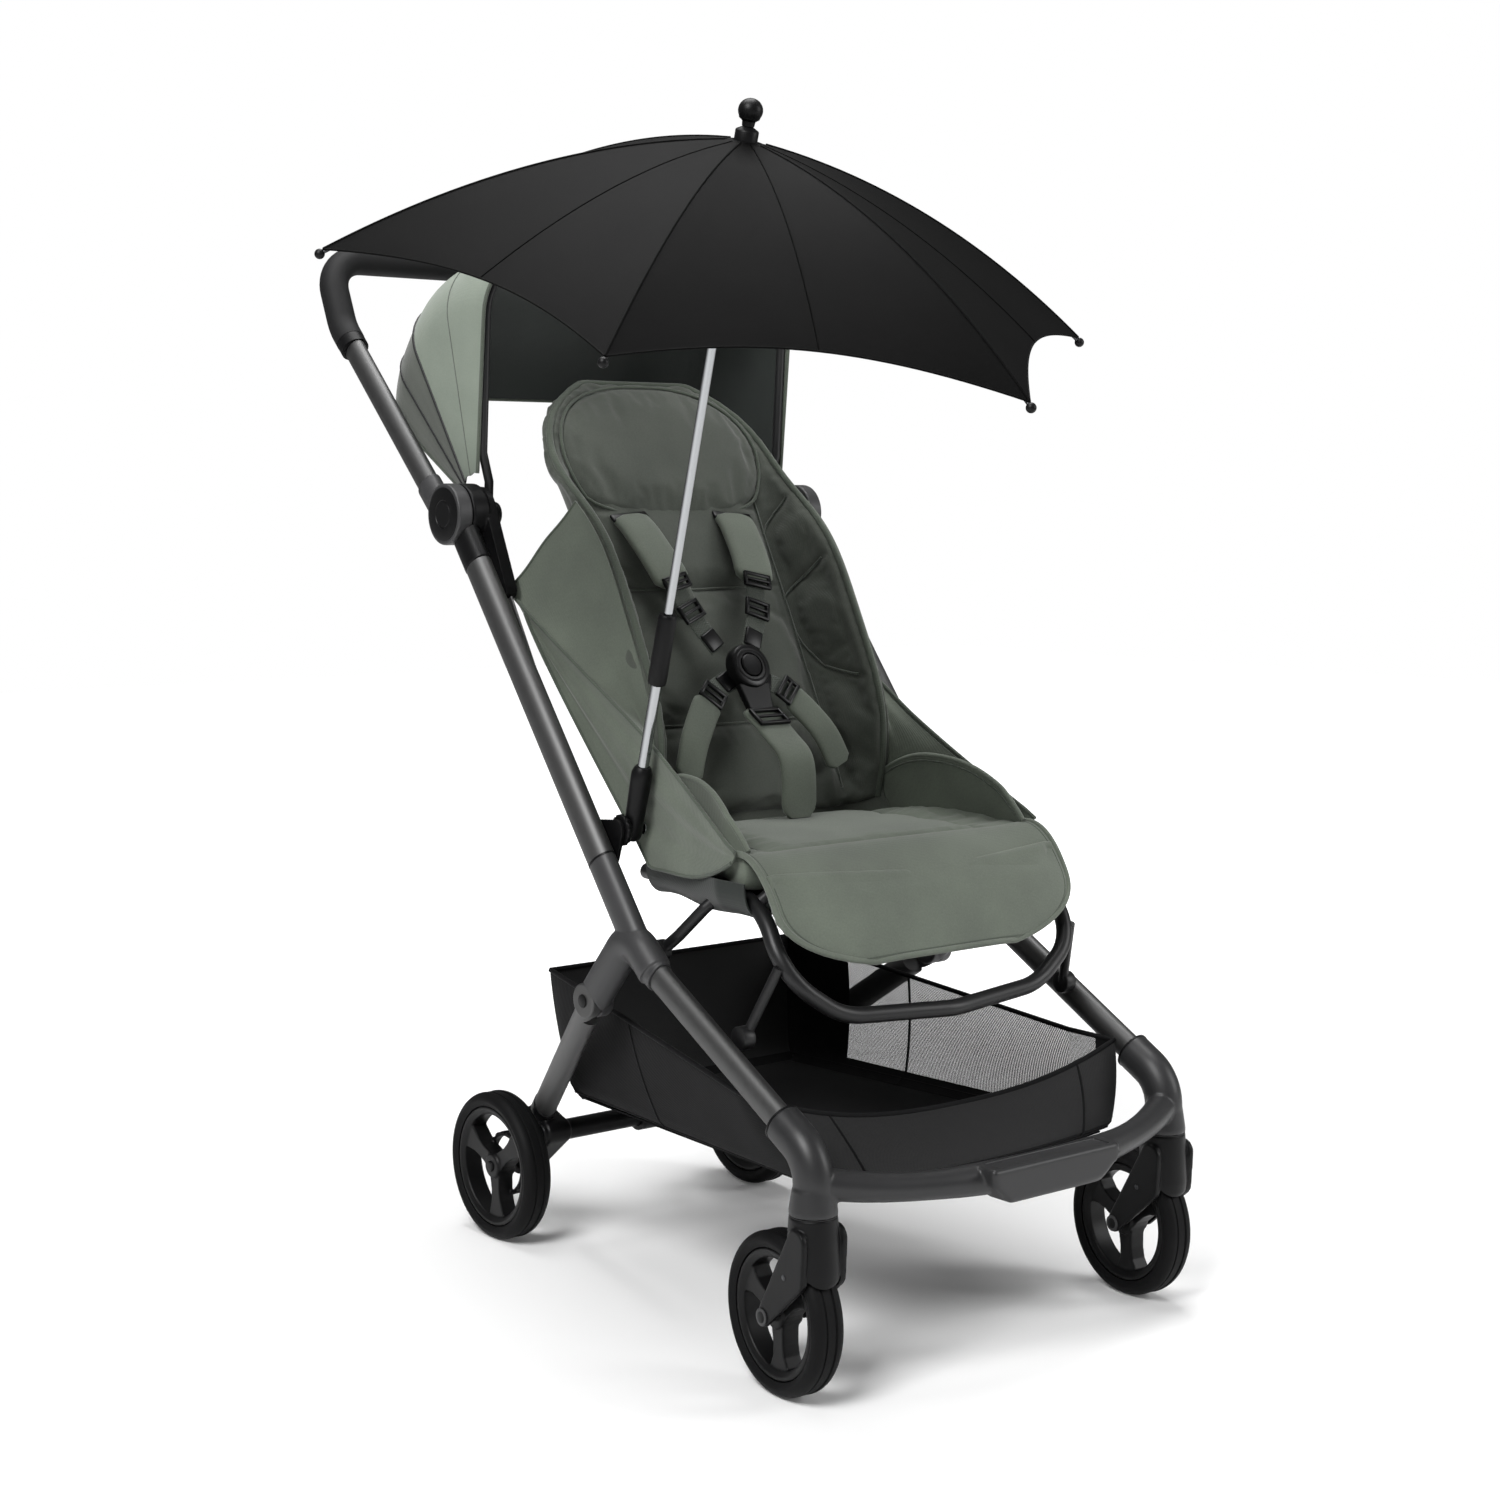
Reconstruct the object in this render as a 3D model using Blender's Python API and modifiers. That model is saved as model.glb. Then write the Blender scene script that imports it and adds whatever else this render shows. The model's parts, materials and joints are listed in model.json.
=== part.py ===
"""Compact folding stroller with a clamp-on parasol.

Metres, +Z up. The front faces -Y and +X is the seated child's left.
The origin is on the floor, in the middle plane, straight below the rear axle.
"right" in a name is the -X side and "left" is the +X side.
"""

import math

import bmesh
import bpy
from mathutils import Euler, Matrix, Vector

# Clearances between neighbouring pieces
GAP = 0.0004
RUNNING_GAP = 0.0006
PARASOL_GAP = 0.0005

# Side frames, seen from the side as (y, z)
TUBE_X = 0.2115
HUB = (-0.011, 0.735)
KNEE = (-0.317, 0.344)
CASTER_Y = -0.557
MID_TUBE = (0.032, 0.023)
SLIM_TUBE = (0.027, 0.019)
MID_TUBE_FOOT = 0.100
KNEE_LOWER = (0.031, 0.024)
KNEE_ARCH = (0.034, 0.030)
LEG_PIVOT = (-0.240, 0.292)
LEG_DISC_RADIUS = 0.0165
LEG_DISC_X = (TUBE_X + GAP, TUBE_X + 0.0120)
LEG_BOSS_X = (TUBE_X - 0.0125, TUBE_X - GAP)
LAP_INNER = TUBE_X - 0.0415
LAP_OUTER = TUBE_X + 0.0285

# Handle and fold hub
HUB_RADIUS = 0.030
HUB_INNER = (TUBE_X - 0.0200, TUBE_X - 0.0012)
HUB_OUTER = (TUBE_X - 0.0003, TUBE_X + 0.0165)
HUB_ARM_X = (HUB_INNER[0] - 0.009, HUB_INNER[0] + 0.004)
HUB_ARM_TIP = (-0.064, 0.662)
HUB_ARM_TIP_RADIUS = 0.009
HANDLE_LINE = ((0.008, 0.732), (0.186, 0.903))
HANDLE_GRIP = 0.030
HANDLE_BAR_Y = 0.243
HANDLE_BAR_Z = 1.000
HANDLE_CORNER = 0.055
HUB_SLEEVE = 0.062
HANDLE_SLEEVE = 0.046
BUTTON_SIZE = (0.034, 0.014, 0.010)
BUTTON_PROUD = 0.0015

# Front cross bar, casters and wheels
FRONT_BAR_BOW = 0.052
FRONT_BAR_Z = 0.180
FRONT_BAR_RADIUS = 0.0115
FRONT_CORNER = (0.036, 0.033)
STEM_Z = 0.165
STEM_RADIUS = 0.0205
CASTER_STEM_RADIUS = 0.0076
FOOTPLATE_WIDTH = 0.150
FOOTPLATE_DEPTH = 0.034
FOOTPLATE_HEIGHT = 0.034
CASTER_TRAIL = 0.042
CASTER_SWIVEL = math.radians(-5)
FRONT_WHEEL_D = 0.140
REAR_WHEEL_D = 0.150
TYRE_WIDTH = 0.031
TYRE_DEPTH = 0.0135
AXLE_RADIUS = 0.005
HUB_CORE_RADIUS = 0.0125
FORK_WALL = 0.0050
FORK_ROOM = 0.00225
FORK_WIDTH = TYRE_WIDTH + 2 * (FORK_ROOM + FORK_WALL)
SPOKES = 3

# Rear legs and axle bar
LEG_TUBE = (0.028, 0.020)
BRACKET_X = (TUBE_X - 0.0925, TUBE_X - 0.0675)
LEG_FOOT = (BRACKET_X[0] + 0.0225, -0.0521, 0.1454)
LEG_SHOE = (0.0298, 0.0213)
LEG_SHOE_LENGTH = 0.041
AXLE_BAR = (-0.052, 0.115)
AXLE_BAR_RADIUS = 0.0105
WHEEL_SIDE_GAP = 0.0035
REAR_WHEEL_X = BRACKET_X[1] + WHEEL_SIDE_GAP + TYRE_WIDTH / 2
BRAKE_TEETH = 18
PEDAL_WIDTH = 0.060
PEDAL_REACH = (0.052, 0.004)

# Seat, as (y, z) in the middle plane
SEAT_FRONT = (-0.420, 0.437)
SEAT_REAR = (-0.237, 0.440)
SEAT_BASE = 0.411
SEAT_HALF = 0.174
SEAT_HALF_REAR = 0.150
SEAT_LIP = 0.048
FRAME_TUBE = 0.0075
STRUT_BOSS = (-0.443, 0.290)
LINK_BOSS = (-0.315, 0.346)
SEAT_BOSS_RADIUS = 0.0105
STRUT_BOSS_X = TUBE_X - SLIM_TUBE[1] / 2 - GAP
LINK_BOSS_X = TUBE_X - KNEE_ARCH[1] / 2 - 0.0005
BACK_PIVOT = (-0.226, 0.412)
BACK_TOP = (0.006, 0.868)
BACK_HALF = 0.148
BACK_FLAT = 0.104
BACK_THICK = 0.022
BACK_HOOP_HALF = 0.092
WING_RISE = 0.082
REST_PIVOT = (-0.4335, 0.4165)
REST_BAR = 0.0055
REST_LENGTH = 0.092
REST_SLOPE = math.radians(-117.6)
REST_HALF = 0.175
REST_THICK = 0.013

# Side panels, by how far out they hang
PANEL_WAIST = 0.1660
PANEL_HUB_X = HUB_ARM_X[0] - 0.0012
PANEL_FRONT_X = SEAT_HALF + 0.0080

# Harness
BUCKLE_RADIUS = 0.0235

# Hood
BOW_HEIGHT = 0.2535
BOW_EYE_X = HUB_ARM_X[0] - 0.0006
BOW_HALF = BOW_EYE_X + 0.0021
BOW_FOOT = BOW_EYE_X - 0.0059
BOW_CORNER = 0.060
BOW_TUBE = 0.0045
BOW_ANGLE = 94
HOOD_REAR = 30
HOOD_THICK = 0.0016

# Basket
BASKET_HALF_REAR = LEG_FOOT[0] + 0.0100
BASKET_HALF_FRONT = TUBE_X - SLIM_TUBE[1] / 2 - 0.0012
BASKET_REAR = -0.078
BASKET_FRONT = -0.503
BASKET_FLOOR_REAR = -0.098
BASKET_FLOOR_FRONT = -0.543
BASKET_FLOOR = 0.160
BASKET_RIM_REAR = 0.287
BASKET_RIM_SIDE = 0.243
BASKET_RIM_FRONT = 0.214
BASKET_WALL = 0.0016

# Parasol, in its own frame: +Z up the shaft, origin on the tilt pin
PARASOL_PIN = (-0.180, -0.2597, 0.4498)
PARASOL_LEAN = (math.radians(17.36), math.radians(-1.40))
SHAFT_LENGTH = 0.6234
SHAFT_FOOT = 0.150
SHAFT_RADIUS = 0.0040
SLEEVE_TUBE_RADIUS = 0.0052
SLEEVE_Z = (0.142, 0.208)
GRIP_Z = (0.012, 0.062)
GRIP_RADIUS = 0.0098
GRIP_FOOT_RADIUS = 0.0090
PIN_RADIUS = 0.0030
KNOB_RADIUS = 0.0145
KNOB_TEETH = 16
RIBS = 6
RIB_PHASE = math.radians(159.0)
RIB_REACH = 0.3388
RIB_DROP = 0.1334
RIB_PIVOT_RADIUS = 0.0105
RIB_THICK = 0.0016
RIB_BELOW = 0.0026
FABRIC_THICK = 0.0008
CLOTH_HOLE = 0.0112
SCALLOP = 0.075
STRETCHER_ON_RIB = 0.34
STRETCHER_THICK = 0.0014
STRETCHER_BELOW = 0.0035
STRETCHER_NOSE = 0.0006
RUNNER_OPEN = 0.082
RUNNER_PIN = 0.0100


def clear_scene():
    for obj in list(bpy.data.objects):
        bpy.data.objects.remove(obj, do_unlink=True)


def new_collection(name):
    made = bpy.data.collections.new(name)
    bpy.context.scene.collection.children.link(made)
    return made


clear_scene()
PARTS = new_collection("stroller")
CUTTERS = new_collection("cutters")


def srgb(code):
    """One sRGB hex colour as linear values."""
    values = [int(code[i : i + 2], 16) / 255 for i in (1, 3, 5)]
    linear = [v / 12.92 if v <= 0.04045 else ((v + 0.055) / 1.055) ** 2.4 for v in values]
    return (*linear, 1.0)


def material(name, code, roughness, metallic=0.0):
    made = bpy.data.materials.new(name)
    made.use_nodes = True
    shader = made.node_tree.nodes["Principled BSDF"]
    shader.inputs["Base Color"].default_value = srgb(code)
    shader.inputs["Roughness"].default_value = roughness
    shader.inputs["Metallic"].default_value = metallic
    return made


LOOKS = {
    "anodised": ("#2b2c2e", 0.42, 0.6),
    "moulding": ("#1d1e1f", 0.55, 0.0),
    "black": ("#121213", 0.50, 0.0),
    "tyre": ("#141415", 0.75, 0.0),
    "rim": ("#1b1b1c", 0.45, 0.0),
    "grip": ("#19191a", 0.70, 0.0),
    "liner": ("#3a3f3a", 0.85, 0.0),
    "sage": ("#5d675c", 0.85, 0.0),
    "webbing": ("#343833", 0.80, 0.0),
    "mesh": ("#101011", 0.90, 0.0),
    "chrome": ("#d5d7d9", 0.12, 1.0),
    "satin": ("#0c0c0d", 0.60, 0.0),
    "steel": ("#3a3b3d", 0.35, 0.9),
}


def finish(obj, look, smooth=True):
    """Gives a piece its own material, and its place among the parts."""
    code, roughness, metallic = LOOKS[look]
    obj.data.materials.clear()
    obj.data.materials.append(material(obj.name, code, roughness, metallic))
    if obj.type == "MESH" and smooth:
        obj.data.shade_smooth()
        obj.data.set_sharp_from_angle(angle=math.radians(40))
    for holder in list(obj.users_collection):
        holder.objects.unlink(obj)
    PARTS.objects.link(obj)
    return obj


def make_cutter(obj):
    for holder in list(obj.users_collection):
        holder.objects.unlink(obj)
    CUTTERS.objects.link(obj)
    obj.hide_render = True
    obj.display_type = "WIRE"
    return obj


def combine(obj, other, operation):
    change = obj.modifiers.new(operation.lower(), "BOOLEAN")
    change.operation = operation
    change.solver = "EXACT"
    change.object = make_cutter(other)
    return obj


def join(obj, *others):
    for other in others:
        combine(obj, other, "UNION")
    return obj


def cut(obj, *others):
    for other in others:
        combine(obj, other, "DIFFERENCE")
    return obj


def empty(name, location, rotation=(0, 0, 0), parent=None):
    made = bpy.data.objects.new(name, None)
    made.location = location
    made.rotation_euler = rotation
    made.empty_display_size = 0.03
    if parent is not None:
        made.parent = parent
    CUTTERS.objects.link(made)
    return made


def object_from(name, data, base=(0, 0, 0), rotation=(0, 0, 0), parent=None):
    made = bpy.data.objects.new(name, data)
    made.location = base
    made.rotation_euler = rotation
    if parent is not None:
        made.parent = parent
    PARTS.objects.link(made)
    return made


def rail(name, points, radius, base=(0, 0, 0), sides=12, radii=None, parent=None, closed=False):
    """A round bar through points given in the row frame, or in the parent's where it has one."""
    curve = bpy.data.curves.new(name, "CURVE")
    curve.dimensions = "3D"
    curve.bevel_depth = radius
    curve.bevel_resolution = (sides - 4) // 2
    curve.use_fill_caps = True
    spline = curve.splines.new("POLY")
    spline.points.add(len(points) - 1)
    spline.use_cyclic_u = closed
    for i, point in enumerate(points):
        local = Vector(point) - Vector(base)
        spline.points[i].co = (*local, 1.0)
        spline.points[i].radius = radii[i] if radii else 1.0
    return object_from(name, curve, base, parent=parent)


def as_mesh(obj):
    """A curve object made into a mesh object of the same name, with its caps welded."""
    bpy.context.view_layer.update()
    evaluated = obj.evaluated_get(bpy.context.evaluated_depsgraph_get())
    data = bpy.data.meshes.new_from_object(evaluated)
    shape = bmesh.new()
    shape.from_mesh(data)
    bmesh.ops.remove_doubles(shape, verts=shape.verts, dist=1e-6)
    shape.to_mesh(data)
    shape.free()
    name, parent, world = obj.name, obj.parent, obj.matrix_world.copy()
    base, turn = obj.location.copy(), obj.rotation_euler.copy()
    bpy.data.objects.remove(obj, do_unlink=True)
    made = object_from(name, data, base, turn, parent)
    made.matrix_world = world
    return made


def flatten_x(obj, share):
    """Squeezes a mesh along X about its own middle line x = 0 of its data."""
    obj.data.transform(Matrix.Diagonal((share, 1, 1, 1)))
    return obj


def oval_tube(name, points, section, base=(0, 0, 0), sides=14, parent=None):
    """A tube that is section[0] high and section[1] wide along X."""
    high, wide = section
    share = wide / high
    origin = Vector(base)
    stretched = []
    for point in points:
        local = Vector(point) - origin
        stretched.append(origin + Vector((local.x / share, local.y, local.z)))
    tube = as_mesh(rail(name, stretched, high / 2, base, sides, parent=parent))
    return flatten_x(tube, share)


def bend(points, radius, steps=5):
    """The corners of a path rounded to a radius."""
    path = [Vector(p) for p in points]
    made = [path[0]]
    for before, corner, after in zip(path, path[1:], path[2:]):
        a = (before - corner).normalized()
        b = (after - corner).normalized()
        if a.angle(b) > math.radians(178):
            made.append(corner)
            continue
        half = a.angle(b) / 2
        reach = radius / math.tan(half)
        reach = min(reach, 0.49 * (before - corner).length, 0.49 * (after - corner).length)
        true_radius = reach * math.tan(half)
        middle = corner + (a + b).normalized() * (true_radius / math.sin(half))
        start = corner + a * reach - middle
        end = corner + b * reach - middle
        turn = start.angle(end)
        for i in range(steps + 1):
            share = i / steps
            direction = start * math.sin((1 - share) * turn) + end * math.sin(share * turn)
            made.append(middle + direction / math.sin(turn))
    made.append(path[-1])
    return made


def turned(name, profile, steps=24, base=(0, 0, 0), rotation=(0, 0, 0), parent=None, ring=False):
    """A profile of (radius, height) points, top to bottom down its outer side, turned about Z."""
    mesh = bpy.data.meshes.new(name)
    points = [(r, 0, z) for r, z in profile]
    count = len(points)
    edges = [(i, i + 1) for i in range(count - 1)]
    if ring:
        edges.append((count - 1, 0))
    mesh.from_pydata(points, edges, [])
    made = object_from(name, mesh, base, rotation, parent)
    screw = made.modifiers.new("turn", "SCREW")
    screw.steps = steps
    screw.render_steps = steps
    screw.use_merge_vertices = True
    screw.merge_threshold = 0.00001
    screw.use_smooth_shade = True
    return made


def plate(name, outline, thickness, base=(0, 0, 0), rotation=(0, 0, 0), parent=None):
    """A flat piece from its outline in its own XY plane, centred on that plane."""
    curve = bpy.data.curves.new(name, "CURVE")
    curve.dimensions = "2D"
    curve.fill_mode = "BOTH"
    curve.extrude = thickness / 2
    spline = curve.splines.new("POLY")
    spline.points.add(len(outline) - 1)
    for i, (x, y) in enumerate(outline):
        spline.points[i].co = (x, y, 0, 1)
    spline.use_cyclic_u = True
    return as_mesh(object_from(name, curve, base, rotation, parent))


def box(name, size, centre, base=None, rotation=(0, 0, 0), bevel=0.0, segments=2, parent=None):
    """A block of a size about a centre, with its object at base."""
    base = centre if base is None else base
    shape = bmesh.new()
    bmesh.ops.create_cube(shape, size=1.0)
    bmesh.ops.scale(shape, vec=size, verts=shape.verts)
    bmesh.ops.rotate(shape, matrix=Euler(rotation).to_matrix(), verts=shape.verts)
    bmesh.ops.translate(shape, vec=Vector(centre) - Vector(base), verts=shape.verts)
    mesh = bpy.data.meshes.new(name)
    shape.to_mesh(mesh)
    shape.free()
    made = object_from(name, mesh, base, parent=parent)
    if bevel:
        edge = made.modifiers.new("edges", "BEVEL")
        edge.width = bevel
        edge.segments = segments
        edge.limit_method = "ANGLE"
    return made


def rod(name, radius, start, end, base=None, sides=24, parent=None, top_radius=None):
    """A round bar or a cone between two points, with its object at base."""
    a, b = Vector(start), Vector(end)
    base = a if base is None else Vector(base)
    axis = b - a
    shape = bmesh.new()
    bmesh.ops.create_cone(
        shape,
        cap_ends=True,
        segments=sides,
        radius1=radius,
        radius2=radius if top_radius is None else top_radius,
        depth=axis.length,
    )
    turn = axis.to_track_quat("Z", "Y").to_matrix()
    bmesh.ops.rotate(shape, matrix=turn, verts=shape.verts)
    bmesh.ops.translate(shape, vec=(a + b) / 2 - base, verts=shape.verts)
    mesh = bpy.data.meshes.new(name)
    shape.to_mesh(mesh)
    shape.free()
    return object_from(name, mesh, base, parent=parent)


def edge_weighted(count):
    """Shares from 0 to 1 with a narrow first and last step, which keeps a soft form's edges firm."""
    inner = count - 2
    narrow = 0.045
    made = [0.0]
    made += [narrow + (1 - 2 * narrow) * i / inner for i in range(inner + 1)]
    made.append(1.0)
    return made


def soft_form(name, front, back, columns, rows, base=(0, 0, 0), levels=1, parent=None):
    """A padded piece from a coarse cage. front(u, v) and back(u, v) place its two faces."""
    shape = bmesh.new()
    bmesh.ops.create_grid(shape, x_segments=columns, y_segments=rows, size=1.0)
    shape.verts.ensure_lookup_table()
    across = edge_weighted(columns)
    along_v = edge_weighted(rows)
    spot = {}
    for vert in shape.verts:
        i = round((vert.co.x + 1) / 2 * columns)
        j = round((vert.co.y + 1) / 2 * rows)
        spot[vert.index] = (across[i], along_v[j])
    count = len(shape.verts)
    faces = list(shape.faces)
    shape.verts.index_update()
    copy = bmesh.ops.duplicate(shape, geom=list(shape.verts) + list(shape.edges) + faces)
    pairs = copy["vert_map"]
    origin = Vector(base)
    shape.verts.ensure_lookup_table()
    originals = [shape.verts[i] for i in range(count)]
    twins = {v: pairs[v] for v in originals}
    for vert in originals:
        u, v = spot[vert.index]
        vert.co = Vector(front(u, v)) - origin
        twins[vert].co = Vector(back(u, v)) - origin
    rims = [e for e in shape.edges if e.is_boundary]
    bmesh.ops.bridge_loops(shape, edges=rims)
    bmesh.ops.recalc_face_normals(shape, faces=shape.faces)
    if shape.calc_volume(signed=True) < 0:
        bmesh.ops.reverse_faces(shape, faces=shape.faces)
    mesh = bpy.data.meshes.new(name)
    shape.to_mesh(mesh)
    shape.free()
    made = object_from(name, mesh, base, parent=parent)
    if levels:
        smooth = made.modifiers.new("soft", "SUBSURF")
        smooth.levels = levels
        smooth.render_levels = levels
    return made


def sheet(name, surface, columns, rows, thickness, base=(0, 0, 0), closed_u=False, parent=None):
    """A thin skin: surface(u, v) gives its middle, and it is as thick as told."""
    shape = bmesh.new()
    grid = []
    origin = Vector(base)
    for j in range(rows + 1):
        line = []
        for i in range(columns + (0 if closed_u else 1)):
            line.append(shape.verts.new(Vector(surface(i / columns, j / rows)) - origin))
        grid.append(line)
    for j in range(rows):
        for i in range(columns):
            k = (i + 1) % columns if closed_u else i + 1
            shape.faces.new((grid[j][i], grid[j][k], grid[j + 1][k], grid[j + 1][i]))
    mesh = bpy.data.meshes.new(name)
    bmesh.ops.remove_doubles(shape, verts=shape.verts, dist=1e-6)
    bmesh.ops.recalc_face_normals(shape, faces=shape.faces)
    shape.to_mesh(mesh)
    shape.free()
    made = object_from(name, mesh, base, parent=parent)
    skin = made.modifiers.new("skin", "SOLIDIFY")
    skin.thickness = thickness
    skin.offset = 0
    return made


def blend_values(a, b, share):
    return a + (b - a) * share


def along(a, b, share):
    return tuple(blend_values(p, q, share) for p, q in zip(a, b))


def direction(a, b):
    d = Vector((b[0] - a[0], b[1] - a[1]))
    return d.normalized()


def side_name(side):
    return "right" if side < 0 else "left"


MID_LINE = direction(KNEE, HUB)
HANDLE_AXIS = direction(*HANDLE_LINE)
LOWER_TOP = (-0.344, 0.329)
LOWER_LINE = direction(KNEE, (-0.517, 0.234))
LOWER_FOOT = (-0.517, 0.234)
HUB_BASE = {s: (s * TUBE_X, HUB[0], HUB[1]) for s in (-1, 1)}


def at(side, spot, x=TUBE_X):
    """A point of the side plane as a point in the row frame."""
    return Vector((side * x, spot[0], spot[1]))


def step_along(spot, line, distance):
    return (spot[0] + line.x * distance, spot[1] + line.y * distance)


def lap_cutter(name, side, centre, inner, outer, radius):
    """Room for the other half of a lapped hinge disc."""
    return rod(
        name,
        radius,
        at(side, centre, min(inner, outer)),
        at(side, centre, max(inner, outer)),
        sides=32,
    )


def side_frame(side):
    end = side_name(side)
    tube_foot = step_along(KNEE, MID_LINE, MID_TUBE_FOOT)

    # Middle tube, from the knee up to the fold hub
    foot = step_along(tube_foot, MID_LINE, GAP)
    top = step_along(HUB, MID_LINE, -HUB_SLEEVE - GAP)
    tube = oval_tube(f"side_tube_{end}", [at(side, foot), at(side, top)], MID_TUBE, at(side, foot))
    finish(tube, "anodised")

    # Fold hub: a sleeve for the middle tube, an inner disc and a bracket arm for the seat side
    sleeve = oval_tube(
        f"hub_housing_{end}",
        [at(side, step_along(top, MID_LINE, GAP)), at(side, HUB)],
        (MID_TUBE[0] + 0.002, MID_TUBE[1] + 0.001),
        HUB_BASE[side],
    )
    disc_ends = [at(side, HUB, x) for x in HUB_INNER]
    disc = rod("hub_disc", HUB_RADIUS, *disc_ends, sides=32)
    arm = hull_plate(
        "hub_arm",
        side,
        [(HUB, 0.027), (HUB_ARM_TIP, HUB_ARM_TIP_RADIUS)],
        HUB_ARM_X,
    )
    join(sleeve, disc, arm)
    cut(sleeve, lap_cutter("hub_room", side, HUB, HUB_INNER[1] + GAP, LAP_OUTER, HUB_RADIUS + 0.001))
    finish(sleeve, "black")

    # Knee joint: sleeves for the middle and lower tubes and an arched arm for the rear leg
    upper = oval_tube(f"leg_joint_{end}", [at(side, tube_foot), at(side, KNEE)], MID_TUBE,
                      at(side, LEG_PIVOT))
    lower_spine = [at(side, step_along(KNEE, LOWER_LINE, -0.012)), at(side, LOWER_TOP)]
    lower_sleeve = oval_tube("lower_sleeve", lower_spine, KNEE_LOWER, at(side, LEG_PIVOT))
    arch_start = step_along(LOWER_TOP, LOWER_LINE, -0.008)
    arch_top = step_along(KNEE, MID_LINE, 0.024)
    arch = bend([at(side, arch_start), at(side, arch_top), at(side, LEG_PIVOT)], 0.030, 3)
    arched = oval_tube("leg_arch", arch, KNEE_ARCH, at(side, LEG_PIVOT))
    boss_ends = [at(side, LEG_PIVOT, x) for x in LEG_BOSS_X]
    boss = rod("leg_boss", LEG_DISC_RADIUS, *boss_ends, sides=20)
    knee = join(upper, lower_sleeve)
    join(knee, arched, boss)
    room_inner = LEG_BOSS_X[1] + GAP
    cut(knee, lap_cutter("leg_room", side, LEG_PIVOT, room_inner, LAP_OUTER, LEG_DISC_RADIUS + 0.001))
    finish(knee, "moulding")

    # Lower tube, from the knee to the front corner
    start = step_along(LOWER_TOP, LOWER_LINE, GAP)
    stop = step_along(LOWER_FOOT, LOWER_LINE, -GAP)
    lower = oval_tube(f"front_tube_{end}", [at(side, start), at(side, stop)], SLIM_TUBE, at(side, start))
    finish(lower, "anodised")


def hull_plate(name, side, discs, xs):
    """A flat tapered arm round two or more discs, between two planes of X."""
    points = []
    for centre, radius in discs:
        for i in range(20):
            angle = 2 * math.pi * i / 20
            points.append((centre[0] + radius * math.cos(angle), centre[1] + radius * math.sin(angle)))
    shape = bmesh.new()
    low, high = sorted(side * x for x in xs)
    base = Vector((low, discs[0][0][0], discs[0][0][1]))
    for x in (low, high):
        for y, z in points:
            shape.verts.new(Vector((x, y, z)) - base)
    found = bmesh.ops.convex_hull(shape, input=shape.verts)
    inside = found["geom_interior"] + found["geom_unused"]
    spare = [g for g in inside if isinstance(g, bmesh.types.BMVert)]
    bmesh.ops.delete(shape, geom=list(set(spare)), context="VERTS")
    mesh = bpy.data.meshes.new(name)
    shape.to_mesh(mesh)
    shape.free()
    return object_from(name, mesh, base)


def handle():
    for side in (-1, 1):
        end = side_name(side)
        foot, top = HANDLE_LINE
        tube = oval_tube(
            f"handle_tube_{end}",
            [at(side, foot), at(side, top)],
            SLIM_TUBE,
            HUB_BASE[side],
        )
        sleeve_top = step_along(foot, HANDLE_AXIS, HANDLE_SLEEVE)
        sleeve_ends = [at(side, foot), at(side, sleeve_top)]
        sleeve = oval_tube("handle_sleeve", sleeve_ends, (0.031, 0.0225), HUB_BASE[side])
        disc_ends = [at(side, HUB, x) for x in HUB_OUTER]
        disc = rod("handle_disc", HUB_RADIUS, *disc_ends, sides=32)
        join(tube, sleeve, disc)
        room_outer = HUB_OUTER[0] - GAP / 2
        cut(tube, lap_cutter("handle_room", side, HUB, LAP_INNER, room_outer, HUB_RADIUS + 0.001))
        finish(tube, "anodised")

    # One padded bar from tube to tube
    start = step_along(HANDLE_LINE[1], HANDLE_AXIS, GAP)
    bar_corner = (HANDLE_BAR_Y, HANDLE_BAR_Z)
    path = [at(-1, start), at(-1, step_along(start, HANDLE_AXIS, 0.034))]
    path += [at(-1, bar_corner), at(1, bar_corner)]
    path += [at(1, step_along(start, HANDLE_AXIS, 0.034)), at(1, start)]
    spine = bend(path, HANDLE_CORNER, 4)
    bar = as_mesh(rail("handlebar", spine, HANDLE_GRIP / 2, (0, HUB[0], HUB[1]), 12))
    middle = Vector((0, HANDLE_BAR_Y, HANDLE_BAR_Z))
    pocket_size = (BUTTON_SIZE[0] + 2 * GAP, BUTTON_SIZE[1] + 2 * GAP, 0.012)
    facing = Euler((math.atan2(HANDLE_AXIS.y, HANDLE_AXIS.x), 0, 0))
    out = Vector((0, HANDLE_AXIS.x, HANDLE_AXIS.y))
    pocket = box("button_pocket", (pocket_size[0], pocket_size[2], pocket_size[1]),
                 middle - out * HANDLE_GRIP / 2, rotation=facing)
    cut(bar, pocket)
    finish(bar, "grip")
    button_centre = middle - out * (HANDLE_GRIP / 2 + BUTTON_PROUD)
    button_size = (BUTTON_SIZE[0], 0.0070, BUTTON_SIZE[1])
    button = box("fold_button", button_size, button_centre, rotation=facing, bevel=0.001)
    finish(button, "moulding", False)


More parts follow.
